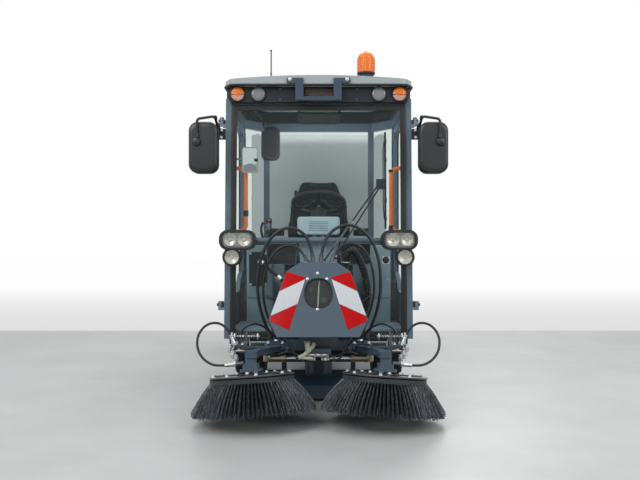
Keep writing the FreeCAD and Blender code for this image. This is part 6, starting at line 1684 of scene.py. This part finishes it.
class SWEEPER_OT_cab_inside(bpy.types.Operator):
    """Display, consoles, joystick, pedals and the small things inside the cab"""

    bl_idname = "sweeper.cab_inside"
    bl_label = "Inside of the cab"

    def execute(self, context):
        self.display()
        self.consoles()
        self.column()
        self.upper()
        return {"FINISHED"}

    def display(self):
        form = Form()
        form.pillow(plate_outline((-0.1335, 0.1335), (1.0145, 1.1285), -0.988, 0.02, 5),
                    (0, -0.02, 0), 0, 0.16)
        for k in range(6):
            z = 1.04 + 0.011 * k
            form.box((-0.06, -1.0085, z), (0.06, -1.004, z + 0.0045), 1, 0.001)
        form.slab(plate_outline((-0.118, 0.06), (1.028, 1.115), -0.9175, 0.006), (0, 0.003, 0), 2)
        for k in range(4):
            for row in range(3):
                place = (0.082 + 0.013 * k, -0.918, 1.045 + 0.027 * row)
                form.turned([(0.0, 0.0), (0.0, 0.005), (0.003, 0.0042), (0.0035, 0.0)], place, REAR, 1, 12)
        form.rod((0, -0.958, 0.985), (0, -0.958, 1.016), 0.026, 1, 24, 0.004)
        form.piece("display_pod", ("display_grey", "black_plastic", "dark_screen"), "front_unit")

    def consoles(self):
        form = Form()
        for side in (-1, 1):
            inner, outer = (side * edge for edge in CONSOLE_SIDES)
            form.pillow(plate_outline((inner, outer), (0.6, 0.948), -0.7795, 0.016), (0, -0.01, 0), 0, 0.06)
            top = rounded([(inner, -0.778, CONSOLE_TOP), (outer, -0.778, CONSOLE_TOP),
                           (outer, -0.45, CONSOLE_TOP), (inner, -0.45, CONSOLE_TOP)], 0.02)
            form.pillow(top, (0, 0, 0.012), 1, 0.08)
            form.slab([(inner, -0.69, 0.905), (outer, -0.69, 0.905), (outer, -0.452, 0.925),
                       (inner, -0.452, 0.925)], (0, 0, 0.024), 0, 0.006)
        form.slab(plate_outline((-0.455, -0.335), (0.68, 0.905), -0.789, 0.01), (0, -0.004, 0), 1, 0.001)
        form.ring((0.439, -0.7895, 0.85), FRONT, 0.026, 0.004, 3, 36)
        form.turned([(0.0, 0.0), (0.0, 0.022), (0.004, 0.02), (0.006, 0.0)], (0.439, -0.7885, 0.85),
                    FRONT, 1, 28)
        for k in range(5):
            form.box((-0.455 + 0.026 * k, -0.77, 0.962), (-0.437 + 0.026 * k, -0.735, 0.97), 2, 0.002)
            form.box((0.335 + 0.026 * k, -0.77, 0.962), (0.353 + 0.026 * k, -0.735, 0.97), 2, 0.002)
        form.piece("console_skins", ("grey_plastic", "black_plastic", "charcoal_plastic", "chrome"),
                   "front_unit")
        corners = [((x, -0.7932, z), FRONT) for x in (-0.445, -0.345) for z in (0.692, 0.893)]
        corners += [((x, -0.79, z), FRONT) for x in (0.325, 0.452) for z in (0.72, 0.925)]
        bolts("console_screws", corners, "front_unit", 0.011, 0.004)
        grip = Form()
        ridges = [(0.0, 0.0), (0.0, 0.04)]
        for k in range(5):
            size = 0.038 - 0.0045 * k
            ridges += [(0.006 + 0.009 * k, size), (0.0105 + 0.009 * k, size - 0.006)]
        grip.turned(ridges + [(0.056, 0.01), (0.056, 0.0)], (-0.33, -0.735, 0.96), UP, 0, 32)
        shape = [(0.0, 0.0), (0.0, 0.015), (0.012, 0.0185), (0.03, 0.0178), (0.045, 0.0195), (0.06, 0.019),
                 (0.074, 0.0215), (0.088, 0.0225), (0.1, 0.0205), (0.108, 0.012), (0.11, 0.0)]
        grip.turned(shape, (-0.33, -0.735, 1.02), (0, 0.06, 1), 1, 28)
        for x, z, slot in ((-0.338, 1.112, 2), (-0.322, 1.112, 3), (-0.33, 1.098, 2)):
            grip.turned([(0.0, 0.0), (0.0, 0.0055), (0.003, 0.005), (0.004, 0.0)], (x, -0.7505, z),
                        (0, -1, 0.2), slot, 14)
        grip.bend([(-0.352, -0.735, 0.975), (-0.372, -0.74, 1.01), (-0.378, -0.742, 1.06),
                   (-0.366, -0.742, 1.1)], 0.0085, 1, 12)
        grip.piece("joystick", ("seal_rubber", "black_plastic", "red_lens", "orange_grip"),
                   "front_unit", 40)

    def column(self):
        form = Form()
        shroud = rounded([(-0.112, -1.06, 0.8), (0.112, -1.06, 0.8), (0.126, -1.05, 0.985),
                          (-0.126, -1.05, 0.985)], 0.018)
        form.slab(shroud, (0, 0.095, 0.0), 0, 0.008)
        for side in (-1, 1):
            bin_top = rounded([(side * 0.14, -1.052, 0.83), (side * 0.318, -1.052, 0.83),
                               (side * 0.326, -1.046, 0.962), (side * 0.134, -1.046, 0.962)], 0.014)
            form.slab(bin_top, (0, 0.075, 0.0), 1, 0.006)
            form.box((side * 0.172, -1.0885, 0.474), (side * 0.228, -1.0805, 0.556), 2, 0.003)
            for k in range(6):
                z = 0.482 + 0.012 * k
                form.box((side * 0.176, -1.0905, z), (side * 0.224, -1.088, z + 0.005), 2, 0.001)
        tilt = WHEEL_TILT
        along = (tilt.to_3x3() @ Vector((0, 0, -1))).normalized()
        start = tilt @ Vector((0, 0, -0.052))
        form.turned([(0.0, 0.0), (0.0, 0.046), (0.01, 0.05), (0.09, 0.048), (0.115, 0.04), (0.15, 0.038),
                     (0.15, 0.0)], start, along, 2, 36)
        form.pipe([tilt @ Vector((0.045, 0, -0.085)), tilt @ Vector((0.1, 0.01, -0.08)),
                   tilt @ Vector((0.155, 0.02, -0.072))], [0.006, 0.0055, 0.008], 2, 10)
        form.piece("column_shroud", ("grey_plastic", "seal_rubber", "black_plastic"), "front_unit")

    def upper(self):
        form = Form()
        frame_line = rounded([(-0.124, HEADER_Y, 1.805), (-0.116, HEADER_Y, 1.708),
                              (0.124, HEADER_Y, 1.708), (0.132, HEADER_Y, 1.805)], (0, 0.014, 0.014, 0), 4)
        form.pipe(frame_line, 0.0075, 0, 10)
        form.box((-0.118, -1.0575, 1.716), (0.126, -1.0545, 1.8), 2, 0.001)
        form.slab(plate_outline((-0.4655, -0.3765), (1.3985, 1.5475), -1.1165, 0.014),
                  (0, -0.0022, 0), 1, 0.0008)
        rim = plate_outline((-0.4675, -0.3745), (1.3965, 1.5495), -1.1175, 0.015, 5)
        form.hoop(rim, 0.0042, 3, 8)
        form.rod((-0.395, -1.118, 1.4735), (-0.372, -1.118, 1.4735), 0.01, 0, 16, 0.002)
        pad = plate_outline((-0.428, -0.29), (1.573, 1.822), -0.03, 0.046, 7)
        form.slab(pad, (0, 0.022, 0), 4, 0.004)
        form.pillow(plate_outline((-0.424, -0.294), (1.577, 1.818), -0.0302, 0.044, 7),
                    (0, -0.02, 0), 4, 0.28)
        form.bend([(-0.405, -0.03, 1.8), (-0.415, -0.1, 1.86), (-0.43, -0.3, 1.875), (-0.44, -0.6, 1.868)],
                  0.007, 0, 8)
        form.piece("cab_upper_trim", ("black_plastic", "mirror_silver", "smoked_glass", "cream_plastic",
                                      "pad_grey"), "front_unit")


CLOTH_FRAMES = 20


def evaluated_mesh(piece):
    bpy.context.view_layer.update()
    return bpy.data.meshes.new_from_object(piece.evaluated_get(bpy.context.evaluated_depsgraph_get()),
                                           preserve_all_data_layers=False)


def swollen(form, name, voxel, most, pressure=4.0):
    """A closed form, remeshed and blown up as a pad is by its filling, moving no point further than most."""
    mesh = bpy.data.meshes.new(name + "_start")
    form.bm.to_mesh(mesh)
    form.bm.free()
    carrier = bpy.data.objects.new(name + "_start", mesh)
    bpy.context.scene.collection.objects.link(carrier)
    remesh = carrier.modifiers.new("Even", "REMESH")
    remesh.mode = "VOXEL"
    remesh.voxel_size = voxel
    even = evaluated_mesh(carrier)
    carrier.modifiers.clear()
    carrier.data = even
    start = [vertex.co.copy() for vertex in even.vertices]
    moved = start
    cloth = carrier.modifiers.new("Cloth", "CLOTH")
    cloth.settings.quality = 6
    cloth.settings.use_pressure = True
    cloth.settings.uniform_pressure_force = pressure
    cloth.settings.effector_weights.gravity = 0
    cloth.settings.tension_stiffness = 18
    cloth.settings.bending_stiffness = 0.6
    cloth.collision_settings.use_collision = False
    cloth.point_cache.frame_start, cloth.point_cache.frame_end = 1, CLOTH_FRAMES
    for frame_number in range(1, CLOTH_FRAMES + 1):
        bpy.context.scene.frame_set(frame_number)
    swelled = evaluated_mesh(carrier)
    moved = [vertex.co.copy() for vertex in swelled.vertices]
    carrier.modifiers.clear()
    bpy.data.meshes.remove(swelled)
    bpy.context.scene.frame_set(1)
    for vertex, first, last in zip(even.vertices, start, moved):
        shift = last - first
        vertex.co = first + shift * min(1.0, most / max(shift.length, 1e-9))
    finer = carrier.modifiers.new("Finer", "SUBSURF")
    finer.levels = finer.render_levels = 1
    done = evaluated_mesh(carrier)
    bpy.data.objects.remove(carrier)
    done.name = name
    return done


def nearest(value, seams):
    """Distance from the nearest of some seams, which are pressed less deep than the others."""
    return min(abs(value - seam) for seam in seams) + 0.004


def sew(mesh, channels, depth=0.0085, width=0.0075):
    """Presses seams into a pad. A channel gives a point's distance from its seam, or a large number."""
    normals = [vertex.normal.copy() for vertex in mesh.vertices]
    for vertex, normal in zip(mesh.vertices, normals):
        near = min(channel(vertex.co, normal) for channel in channels)
        if near < 4 * width:
            vertex.co -= normal * depth * math.exp(-((near / width) ** 2))
    mesh.update()


class SWEEPER_OT_seat(bpy.types.Operator):
    """Padded seat cushion and back with sewn channels, blown up by a cloth simulation"""

    bl_idname = "sweeper.seat"
    bl_label = "Driver's seat"

    def execute(self, context):
        cushion = Form()
        cushion.slab(rounded([(-0.246, -0.664, 0.78), (0.246, -0.664, 0.78), (0.24, -0.238, 0.78),
                              (-0.24, -0.238, 0.78)], (0.075, 0.075, 0.05, 0.05), 6),
                     (0, 0, 0.072), 0, 0.022)
        for side in (-1, 1):
            cushion.pipe([(side * 0.215, -0.64, 0.838), (side * 0.218, -0.45, 0.842),
                          (side * 0.214, -0.26, 0.838)], 0.034, 0, 16)
        cushion.pipe([(-0.2, -0.635, 0.826), (0.0, -0.64, 0.829), (0.2, -0.635, 0.826)], 0.035, 0, 16)
        mesh = swollen(cushion, "seat_pad", 0.0065, 0.024)
        top = lambda normal: 0 if normal.z > 0.25 else 1
        outer = lambda co: abs(co.x) > 0.165
        sew(mesh, [lambda co, normal: abs(abs(co.x) - 0.165) + top(normal),
                   lambda co, normal: abs(co.y + 0.585) + top(normal) + outer(co),
                   lambda co, normal: nearest(co.y, (-0.34, -0.42, -0.5)) + top(normal) + outer(co),
                   lambda co, normal: abs(co.z - 0.802)])
        self.pad("seat_pad", mesh, "seat_cushion")
        back = Form()
        shape = [(-0.24, -0.15, 0.905), (0.24, -0.15, 0.905), (0.226, -0.15, 1.24), (0.128, -0.15, 1.418),
                 (-0.128, -0.15, 1.418), (-0.226, -0.15, 1.24)]
        outline = rounded(shape, (0.05, 0.05, 0.1, 0.06, 0.06, 0.1), 6)
        back.slab(outline, (0, -0.056, 0), 0, 0.02)
        for side in (-1, 1):
            back.pipe([(side * 0.208, -0.192, 0.935), (side * 0.214, -0.194, 1.06),
                       (side * 0.192, -0.194, 1.24)], [0.026, 0.03, 0.024], 0, 16)
        mesh = swollen(back, "back_pad", 0.0065, 0.024)
        front = lambda normal: 0 if normal.y < -0.25 else 1
        edge = lambda z: 0.162 - 0.1 * max(0.0, z - 1.2) / 0.2
        sew(mesh, [lambda co, normal: abs(abs(co.x) - edge(co.z)) + front(normal) + (co.z > 1.33),
                   lambda co, normal: abs(co.z - 1.275) + front(normal) + (abs(co.x) > edge(co.z)),
                   lambda co, normal: nearest(co.z,
                                              (1.0, 1.09, 1.18)) + front(normal) + (abs(co.x) > 0.162),
                   lambda co, normal: abs(co.y + 0.168)])
        self.pad("back_pad", mesh, "seat_back")
        self.shell()
        self.wheel()
        return {"FINISHED"}

    def pad(self, name, mesh, node):
        mesh.shade_smooth()
        piece = object_from(name, mesh, "seat_cloth", "front_unit")
        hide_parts(node)

    def shell(self):
        form = Form()
        rear = rounded([(-0.215, SHELL_Y, 0.93), (0.215, SHELL_Y, 0.93), (0.202, SHELL_Y, 1.235),
                        (0.112, SHELL_Y, 1.39), (-0.112, SHELL_Y, 1.39), (-0.202, SHELL_Y, 1.235)],
                       (0.05, 0.05, 0.1, 0.06, 0.06, 0.1), 6)
        form.pillow(rear, (0, 0.014, 0), 0, 0.1)
        for side in (-1, 1):
            arm = rounded([(side * 0.31, -0.548, 1.036), (side * 0.31, -0.19, 1.036),
                           (side * 0.31, -0.19, 1.06), (side * 0.31, -0.548, 1.06)], 0.01)
            form.slab([p - Vector((side * 0.03, 0, 0)) for p in arm], (side * 0.06, 0, 0.006), 0, 0.008)
            form.rod(mirrored((0.25, -0.2, 1.034), side), mirrored((0.345, -0.2, 1.034), side), 0.019,
                     0, 24, 0.003)
            form.box((side * 0.204, -0.545, 0.7), (side * 0.236, -0.225, 0.772), 0, 0.008)
        ridges = [(0.0, 0.0), (0.0, 0.165)]
        for k in range(6):
            ridges += [(0.008 + 0.018 * k, 0.172), (0.017 + 0.018 * k, 0.158)]
        form.turned(ridges + [(0.112, 0.16), (0.112, 0.0)], (0, -0.44, 0.645), UP, 1, 40)
        form.piece("seat_shell", ("black_plastic", "seal_rubber"), "front_unit")

    def wheel(self):
        """Rim grips, spokes and hub of the steering wheel."""
        form = Form()
        form.ring((0, 0, 0), UP, 0.17, 0.0158, 0, 72, 14)
        for k in range(24):
            angle = 2 * math.pi * (k + 0.5) / 24
            form.ring((0.17 * math.cos(angle), 0.17 * math.sin(angle), 0),
                      (-math.sin(angle), math.cos(angle), 0), 0.015, 0.0016, 0, 16, 6)
        for degrees in (30, 150, 270):
            turn = Matrix.Rotation(math.radians(degrees), 3, "Z")
            corners = ((0.034, 0.024, -0.012), (0.09, 0.016, -0.016), (0.16, 0.013, -0.003),
                       (0.16, -0.013, -0.003), (0.09, -0.016, -0.016), (0.034, -0.024, -0.012))
            outline = [turn @ Vector(corner) for corner in corners]
            form.slab(outline, (0, 0, 0.009), 0, 0.003)
        form.turned([(-0.016, 0.0), (-0.016, 0.05), (-0.008, 0.054), (0.004, 0.05), (0.012, 0.036),
                     (0.014, 0.0)], (0, 0, 0), UP, 0, 40)
        form.turned([(0.013, 0.0), (0.013, 0.024), (0.017, 0.022), (0.018, 0.0)], (0, 0, 0), UP, 1, 32)
        form.rod((-0.15, -0.085, 0.016), (-0.15, -0.085, 0.05), 0.012, 1, 20, 0.003)
        form.move(WHEEL_TILT)
        rim = form.piece("wheel_rim", ("charcoal_plastic", "black_plastic"), "steering_wheel", 40)
        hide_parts("steering_wheel")


DUCT_Z = 0.472
BELLOWS_Y = (0.128, 0.478)
BELLOWS_FOLDS = 11


class SWEEPER_OT_bellows(bpy.types.Operator):
    """Rubber bellows of the suction duct, and its clamps"""

    bl_idname = "sweeper.bellows"
    bl_label = "Duct bellows"

    def execute(self, context):
        start, end = BELLOWS_Y
        length = end - start
        outer = [(0.0, 0.0895)]
        steps = BELLOWS_FOLDS * 10
        for k in range(steps + 1):
            share = k / steps
            fold = 0.5 - 0.5 * math.cos(2 * math.pi * BELLOWS_FOLDS * share)
            outer.append((0.018 + (length - 0.036) * share, 0.0895 + 0.0095 * fold ** 0.8))
        outer.append((length, 0.0895))
        inner = [(length, 0.0865), *[(0.018 + (length - 0.036) * (1 - k / 30), 0.0865) for k in range(31)],
                 (0.0, 0.0865)]
        form = Form()
        form.turned(outer + inner, (0, start, DUCT_Z), REAR, 0, 72, ring=True)
        piece = form.piece("bellows_skin", "seal_rubber", "front_unit", 50)
        piece.parent = None
        piece.matrix_world = Matrix.Identity(4)
        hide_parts("duct_bellows")
        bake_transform(piece)
        for word, y, body in (("front", start - 0.016, "front_unit"), ("rear", end + 0.002, "rear_unit")):
            clamp = Form()
            clamp.turned([(0.0, 0.0862), (0.0, 0.0905), (0.0015, 0.0915), (0.0125, 0.0915), (0.014, 0.0905),
                          (0.014, 0.0862)], (0, y, DUCT_Z), REAR, 0, 72, ring=True)
            clamp.box((-0.022, y, DUCT_Z + 0.089), (0.022, y + 0.014, DUCT_Z + 0.1), 0, 0.002)
            clamp.rod((-0.03, y + 0.007, DUCT_Z + 0.0965), (0.03, y + 0.007, DUCT_Z + 0.0965),
                      0.0035, 0, 12)
            clamp.piece("bellows_clamp_" + word, "plated_steel", body, 30)
        return {"FINISHED"}


# The outer faces that the rear unit's trim stands on
REAR_FACE = 2.1243
COVER_SIDE = 0.5603
HOPPER_SIDE = 0.5602
# Height of the hopper's side handles
HANDLE_Z = 1.335


def rear_plate(x, z, y, corner, steps=4):
    """A rounded rectangle that faces the rear."""
    return plate_outline(x, z, y, corner, steps)[::-1]


class SWEEPER_OT_rear(bpy.types.Operator):
    """Rear lamps, latches, handles, mesh, ribs and fasteners of the rear unit and the hopper"""

    bl_idname = "sweeper.rear"
    bl_label = "Rear unit"

    def execute(self, context):
        for word, side in SIDES:
            self.lamp(word, side)
            self.side(word, side)
        self.panel()
        self.hopper()
        self.engine()
        return {"FINISHED"}

    def lamp(self, word, side):
        form = Form()
        x = tuple(sorted((side * 0.4015, side * 0.4985)))
        for low, high, slot in ((0.562, 0.64, 0), (0.643, 0.718, 1), (0.721, 0.798, 0)):
            form.pillow(rear_plate((x[0] + 0.002, x[1] - 0.002), (low, high), 2.1282, 0.008),
                        (0, 0.006, 0), slot, 0.1)
        rim = rear_plate((x[0] - 0.0025, x[1] + 0.0025), (0.5585, 0.8015), 2.1262, 0.01)
        form.hoop(rim, 0.0042, 2, 8)
        form.slab(rear_plate((x[0] + 0.012, x[1] - 0.012), (0.5, 0.548), 2.1242, 0.006),
                  (0, 0.004, 0), 2, 0.001)
        form.piece("rear_lamp_" + word, ("red_lens", "amber_lens", "black_plastic"), "rear_unit")

    def side(self, word, side):
        at = lambda *point: mirrored(point, side)
        form = Form()
        for y in (1.545, 2.03):
            form.box((side * COVER_SIDE, y - 0.016, 0.69), (side * 0.568, y + 0.016, 0.765), 1, 0.004)
            form.turned([(0.0, 0.0), (0.0, 0.011), (0.005, 0.01), (0.006, 0.0)], at(0.568, y, 0.742),
                        at(1, 0, 0), 0, 20)
        form.box((side * COVER_SIDE, 1.47, 0.8), (side * 0.566, 2.06, 0.808), 2, 0.002)
        form.box((side * COVER_SIDE, 1.47, 0.36), (side * 0.566, 2.06, 0.368), 2, 0.002)
        form.piece("side_latches_" + word, ("plated_steel", "black_plastic", "seal_rubber"), "rear_unit")
        heads = [(at(COVER_SIDE, y, z), at(1, 0, 0)) for y in (1.5, 2.06) for z in (0.4, 0.6, 0.815)]
        bolts("cover_bolts_" + word, heads, "rear_unit", 0.013, 0.005, "dark_steel")
        slats("louvre_blades_" + word, (side * 0.536, 1.78, 0.527), "rear_unit", Count=8, Pitch=0.036,
              Wide=0.006, Deep=0.35, High=0.004, Tilt=0.0)

    def panel(self):
        slats("rear_louvres", (0.0, 2.11, 0.488), "rear_unit", Count=8, Pitch=0.036, Wide=0.59, Deep=0.018,
              High=0.0035, Tilt=-0.7)
        form = Form()
        form.slab(rear_plate((-0.305, 0.305), (0.462, 0.776), 2.1015, 0.01), (0, -0.003, 0), 1)
        for z in (0.43, 0.812):
            form.box((-0.36, REAR_FACE, z - 0.004), (0.36, 2.1285, z + 0.004), 0, 0.0015)
        form.box((-0.055, REAR_FACE, 0.792), (0.055, 2.132, 0.806), 0, 0.003)
        for side in (-1, 1):
            form.bend([(side * 0.37, REAR_FACE, 0.7), (side * 0.37, 2.145, 0.69),
                       (side * 0.37, 2.148, 0.64), (side * 0.37, 2.145, 0.56),
                       (side * 0.37, REAR_FACE, 0.55)], 0.0065, 0, 12)
            form.turned([(0.0, 0.0), (0.0, 0.02), (0.004, 0.021), (0.008, 0.018), (0.008, 0.0)],
                        (side * 0.455, REAR_FACE, 0.44), REAR, 2, 28)
        form.box((-0.26, REAR_FACE, 0.362), (0.26, 2.1285, 0.412), 0, 0.002)
        form.piece("rear_panel_trim", ("black_plastic", "dark_steel", "red_lens"), "rear_unit")
        heads = [((x, REAR_FACE, z), REAR) for x in (-0.53, 0.53) for z in (0.37, 0.53, 0.82)]
        heads += [((x, REAR_FACE, 0.83), REAR) for x in (-0.3, 0.0, 0.3)]
        bolts("rear_panel_bolts", heads, "rear_unit", 0.014, 0.006, "dark_steel")

    def hopper(self):
        form = Form()
        for side in (-1, 1):
            for y in (0.8, 1.15, 1.5, 1.8):
                form.box((side * HOPPER_SIDE, y - 0.018, 1.02), (side * 0.5665, y + 0.018, 1.72), 0, 0.003)
            form.box((side * HOPPER_SIDE, 0.7, 0.955), (side * 0.57, 1.95, 0.985), 0, 0.004)
            for y in (0.86, 1.74):
                form.bend([(side * 0.5605, y - 0.07, HANDLE_Z), (side * 0.569, y - 0.06, HANDLE_Z),
                           (side * 0.5715, y, HANDLE_Z), (side * 0.569, y + 0.06, HANDLE_Z),
                           (side * 0.5605, y + 0.07, HANDLE_Z)], 0.0055, 1, 10)
        form.piece("hopper_ribs", ("pale_paint", "black_plastic"), "hopper")
        flap = Form()
        seal = rear_plate((-0.508, 0.508), (1.034, 1.65), 2.0545, 0.03, 6)
        flap.hoop(seal, 0.0048, 0, 8)
        for x in (-0.18, 0.18):
            flap.box((x - 0.022, 2.0733, 1.045), (x + 0.022, 2.0845, 1.12), 1, 0.003)
            flap.bend([(x, 2.084, 1.105), (x, 2.0855, 1.09), (x + 0.001, 2.0855, 1.065), (x, 2.084, 1.055)],
                      0.004, 2, 10)
        flap.piece("flap_gear", ("seal_rubber", "dark_steel", "plated_steel"), "hopper_flap")
        heads = [((x, 2.0873, z), REAR) for x in (-0.34, 0, 0.34) for z in (1.09, 1.35, 1.6)]
        bolts("flap_bolts", heads, "hopper_flap", 0.015, 0.006)
        lid = Form()
        for x in (-0.24, 0.24):
            lid.turned([(0.0, 0.0), (0.0, 0.03), (0.004, 0.032), (0.01, 0.03), (0.013, 0.0)],
                       (x, 1.1, 1.849), UP, 0, 32)
        lid.piece("hopper_caps", "black_plastic", "hopper")

    def engine(self):
        form = Form()
        for k in range(7):
            y = 1.405 + 0.062 * k
            for side in (-1, 1):
                form.box((side * 0.2362, y - 0.01, 0.4), (side * 0.242, y + 0.01, 0.8), 0, 0.002)
        form.box((-0.19, 1.39, 0.8302), (0.19, 1.79, 0.852), 1, 0.01)
        for x in (-0.1, 0.0, 0.1):
            form.rod((x, 1.44, 0.852), (x, 1.44, 0.87), 0.02, 2, 24, 0.004)
            form.box((x - 0.012, 1.5, 0.852), (x + 0.012, 1.74, 0.862), 1, 0.003)
        form.turned([(0.0, 0.0), (0.0, 0.08), (0.02, 0.085), (0.03, 0.07), (0.03, 0.0)], (0, 1.358, 0.56),
                    FRONT, 2, 40)
        form.turned([(0.0, 0.0), (0.0, 0.04), (0.014, 0.04), (0.018, 0.02), (0.018, 0.0)],
                    (0.13, 1.358, 0.7), FRONT, 2, 32)
        form.piece("engine_cover_parts", ("cast_iron", "black_plastic", "dark_steel"), "rear_unit")


CAMERA_PLACE = (0.009, -6.212, 0.982)
CAMERA_LENS = 46.69
WALL_Y = 2.75


def area_light(name, place, target, size, watts, tint=(1, 1, 1)):
    lamp = bpy.data.lights.new(name, "AREA")
    lamp.shape = "RECTANGLE"
    lamp.size, lamp.size_y = size
    lamp.energy = watts
    lamp.color = tint
    holder = bpy.data.objects.new(name, lamp)
    bpy.context.scene.collection.objects.link(holder)
    holder.location = place
    holder.rotation_euler = (Vector(target) - Vector(place)).to_track_quat("-Z", "Y").to_euler()
    return holder


def seen_directly(finish):
    """1 for the rays that show the background itself, in glass and gloss too."""
    path = finish.node("ShaderNodeLightPath").socket.node
    camera, glossy, through = (Wire(finish, path.outputs[n])
                               for n in ("Is Camera Ray", "Is Glossy Ray", "Is Transmission Ray"))
    return camera.top(glossy).top(through)


def studio_floor():
    """Grey floor up to the wall line, and the wall's own brightness beyond it."""
    f = Finish("studio_floor")
    y = f.axes()[1]
    mottled = f.noise(1.3, 5.0, 0.62)
    shade = f.mix(mottled.between(0.3, 0.7), (0.465, 0.465, 0.462), (0.53, 0.53, 0.527))
    f.surface(base=shade, rough=f.noise(30.0, 4.0) * 0.1 + 0.38, specular=0.35)
    rise = y.between(WALL_Y, WALL_Y + 9.0)
    skirting = y.within(WALL_Y, WALL_Y + 0.09)
    wall = f.mix(rise, (0.75, 0.75, 0.75), (0.98, 0.98, 0.98))
    glow = f.node("ShaderNodeEmission", {}, {"Color": f.mix(skirting, wall, (0.7, 0.7, 0.7))})
    share = f.node("ShaderNodeMixShader", {}, {0: y.above(WALL_Y) * seen_directly(f)})
    join = share.socket.node
    f.tree.links.new(f.shader.outputs[0], join.inputs[1])
    f.tree.links.new(glow.socket, join.inputs[2])
    f.tree.links.new(join.outputs[0], f.end.inputs["Surface"])
    return f.material


def studio_world(level):
    world = bpy.data.worlds.new("studio")
    bpy.context.scene.world = world
    world.use_nodes = True
    tree = world.node_tree
    tree.nodes.clear()
    soft, white = tree.nodes.new("ShaderNodeBackground"), tree.nodes.new("ShaderNodeBackground")
    soft.inputs["Color"].default_value = (0.93, 0.96, 1.0, 1)
    soft.inputs["Strength"].default_value = level
    white.inputs["Color"].default_value = (1, 1, 1, 1)
    path = tree.nodes.new("ShaderNodeLightPath")
    first, second = tree.nodes.new("ShaderNodeMath"), tree.nodes.new("ShaderNodeMath")
    first.operation = second.operation = "MAXIMUM"
    tree.links.new(path.outputs["Is Camera Ray"], first.inputs[0])
    tree.links.new(path.outputs["Is Transmission Ray"], first.inputs[1])
    tree.links.new(first.outputs[0], second.inputs[0])
    tree.links.new(path.outputs["Is Glossy Ray"], second.inputs[1])
    join, end = tree.nodes.new("ShaderNodeMixShader"), tree.nodes.new("ShaderNodeOutputWorld")
    tree.links.new(second.outputs[0], join.inputs[0])
    tree.links.new(soft.outputs[0], join.inputs[1])
    tree.links.new(white.outputs[0], join.inputs[2])
    tree.links.new(join.outputs[0], end.inputs["Surface"])


class SWEEPER_OT_stage(bpy.types.Operator):
    """Sets up the camera, the pale studio floor and the soft lamps."""

    bl_idname = "sweeper.stage"
    bl_label = "Studio, lamps and camera"

    def execute(self, context):
        context.scene.view_settings.view_transform = "Standard"
        camera = bpy.data.cameras.new("camera")
        camera.sensor_width = 36
        camera.lens = CAMERA_LENS
        holder = bpy.data.objects.new("camera", camera)
        context.scene.collection.objects.link(holder)
        holder.location = CAMERA_PLACE
        holder.rotation_euler = (math.pi / 2, 0, 0)
        context.scene.camera = holder
        bm = bmesh.new()
        bmesh.ops.create_grid(bm, x_segments=1, y_segments=1, size=30)
        mesh = bpy.data.meshes.new("floor")
        bm.to_mesh(mesh)
        bm.free()
        floor = bpy.data.objects.new("floor", mesh)
        context.scene.collection.objects.link(floor)
        mesh.materials.append(studio_floor())
        area_light("key_lamp", (-3.2, -5.0, 4.6), (0, -0.9, 1.0), (3.2, 3.2), 165)
        area_light("fill_lamp", (3.8, -4.2, 3.2), (0, -0.9, 1.0), (3.0, 3.0), 85)
        area_light("top_lamp", (0, 0.4, 5.2), (0, 0, 1.0), (4.0, 5.0), 105)
        area_light("rear_lamp", (1.5, 6.0, 4.0), (0, 1.2, 1.0), (3.5, 3.0), 110)
        cab_lamp = area_light("cab_lamp", (0, -0.35, 1.42), (0, -0.35, 2.0), (0.5, 0.7), 3.5)
        cab_lamp.visible_camera = cab_lamp.visible_glossy = False
        studio_world(0.42)
        return {"FINISHED"}


class SWEEPER_OT_finish_nodes(bpy.types.Operator):
    """Gives every CAD node of the frame its finish."""

    bl_idname = "sweeper.finish_nodes"
    bl_label = "Finishes of the CAD nodes"

    def execute(self, context):
        for name, node in NODES.items():
            node.data.materials.clear()
            node.data.materials.append(finish_of(finish_for(name)))
        return {"FINISHED"}


PIECES = (SWEEPER_OT_stage, SWEEPER_OT_hoses, SWEEPER_OT_finish_nodes, SWEEPER_OT_hose_fittings,
          SWEEPER_OT_brushes, SWEEPER_OT_wheels, SWEEPER_OT_hood, SWEEPER_OT_linkage, SWEEPER_OT_roof,
          SWEEPER_OT_lamps, SWEEPER_OT_mirrors, SWEEPER_OT_windscreen, SWEEPER_OT_doors,
          SWEEPER_OT_cab_inside, SWEEPER_OT_seat, SWEEPER_OT_bellows, SWEEPER_OT_rear,)


class SWEEPER_PT_panel(bpy.types.Panel):
    """Lists the sweeper's colours, sizes and pieces."""

    bl_idname = "SWEEPER_PT_panel"
    bl_label = "Road sweeper"
    bl_space_type = "VIEW_3D"
    bl_region_type = "UI"
    bl_category = "Sweeper"

    def draw(self, context):
        for group in (context.scene.sweeper_paint, context.scene.sweeper_sizes):
            for name in group.bl_rna.properties.keys():
                if name not in ("rna_type", "name"):
                    self.layout.prop(group, name)
        for piece in PIECES:
            self.layout.operator(piece.bl_idname)


CLASSES = (SweeperPaint, SweeperSizes, *PIECES, SWEEPER_PT_panel)


def register():
    for cls in CLASSES:
        bpy.utils.register_class(cls)
    bpy.types.Scene.sweeper_paint = bpy.props.PointerProperty(type=SweeperPaint)
    bpy.types.Scene.sweeper_sizes = bpy.props.PointerProperty(type=SweeperSizes)


def unregister():
    del bpy.types.Scene.sweeper_sizes
    del bpy.types.Scene.sweeper_paint
    for cls in reversed(CLASSES):
        bpy.utils.unregister_class(cls)


def main():
    register()
    for piece in PIECES:
        getattr(bpy.ops.sweeper, piece.bl_idname.split(".")[1])()


if __name__ == "__main__":
    main()
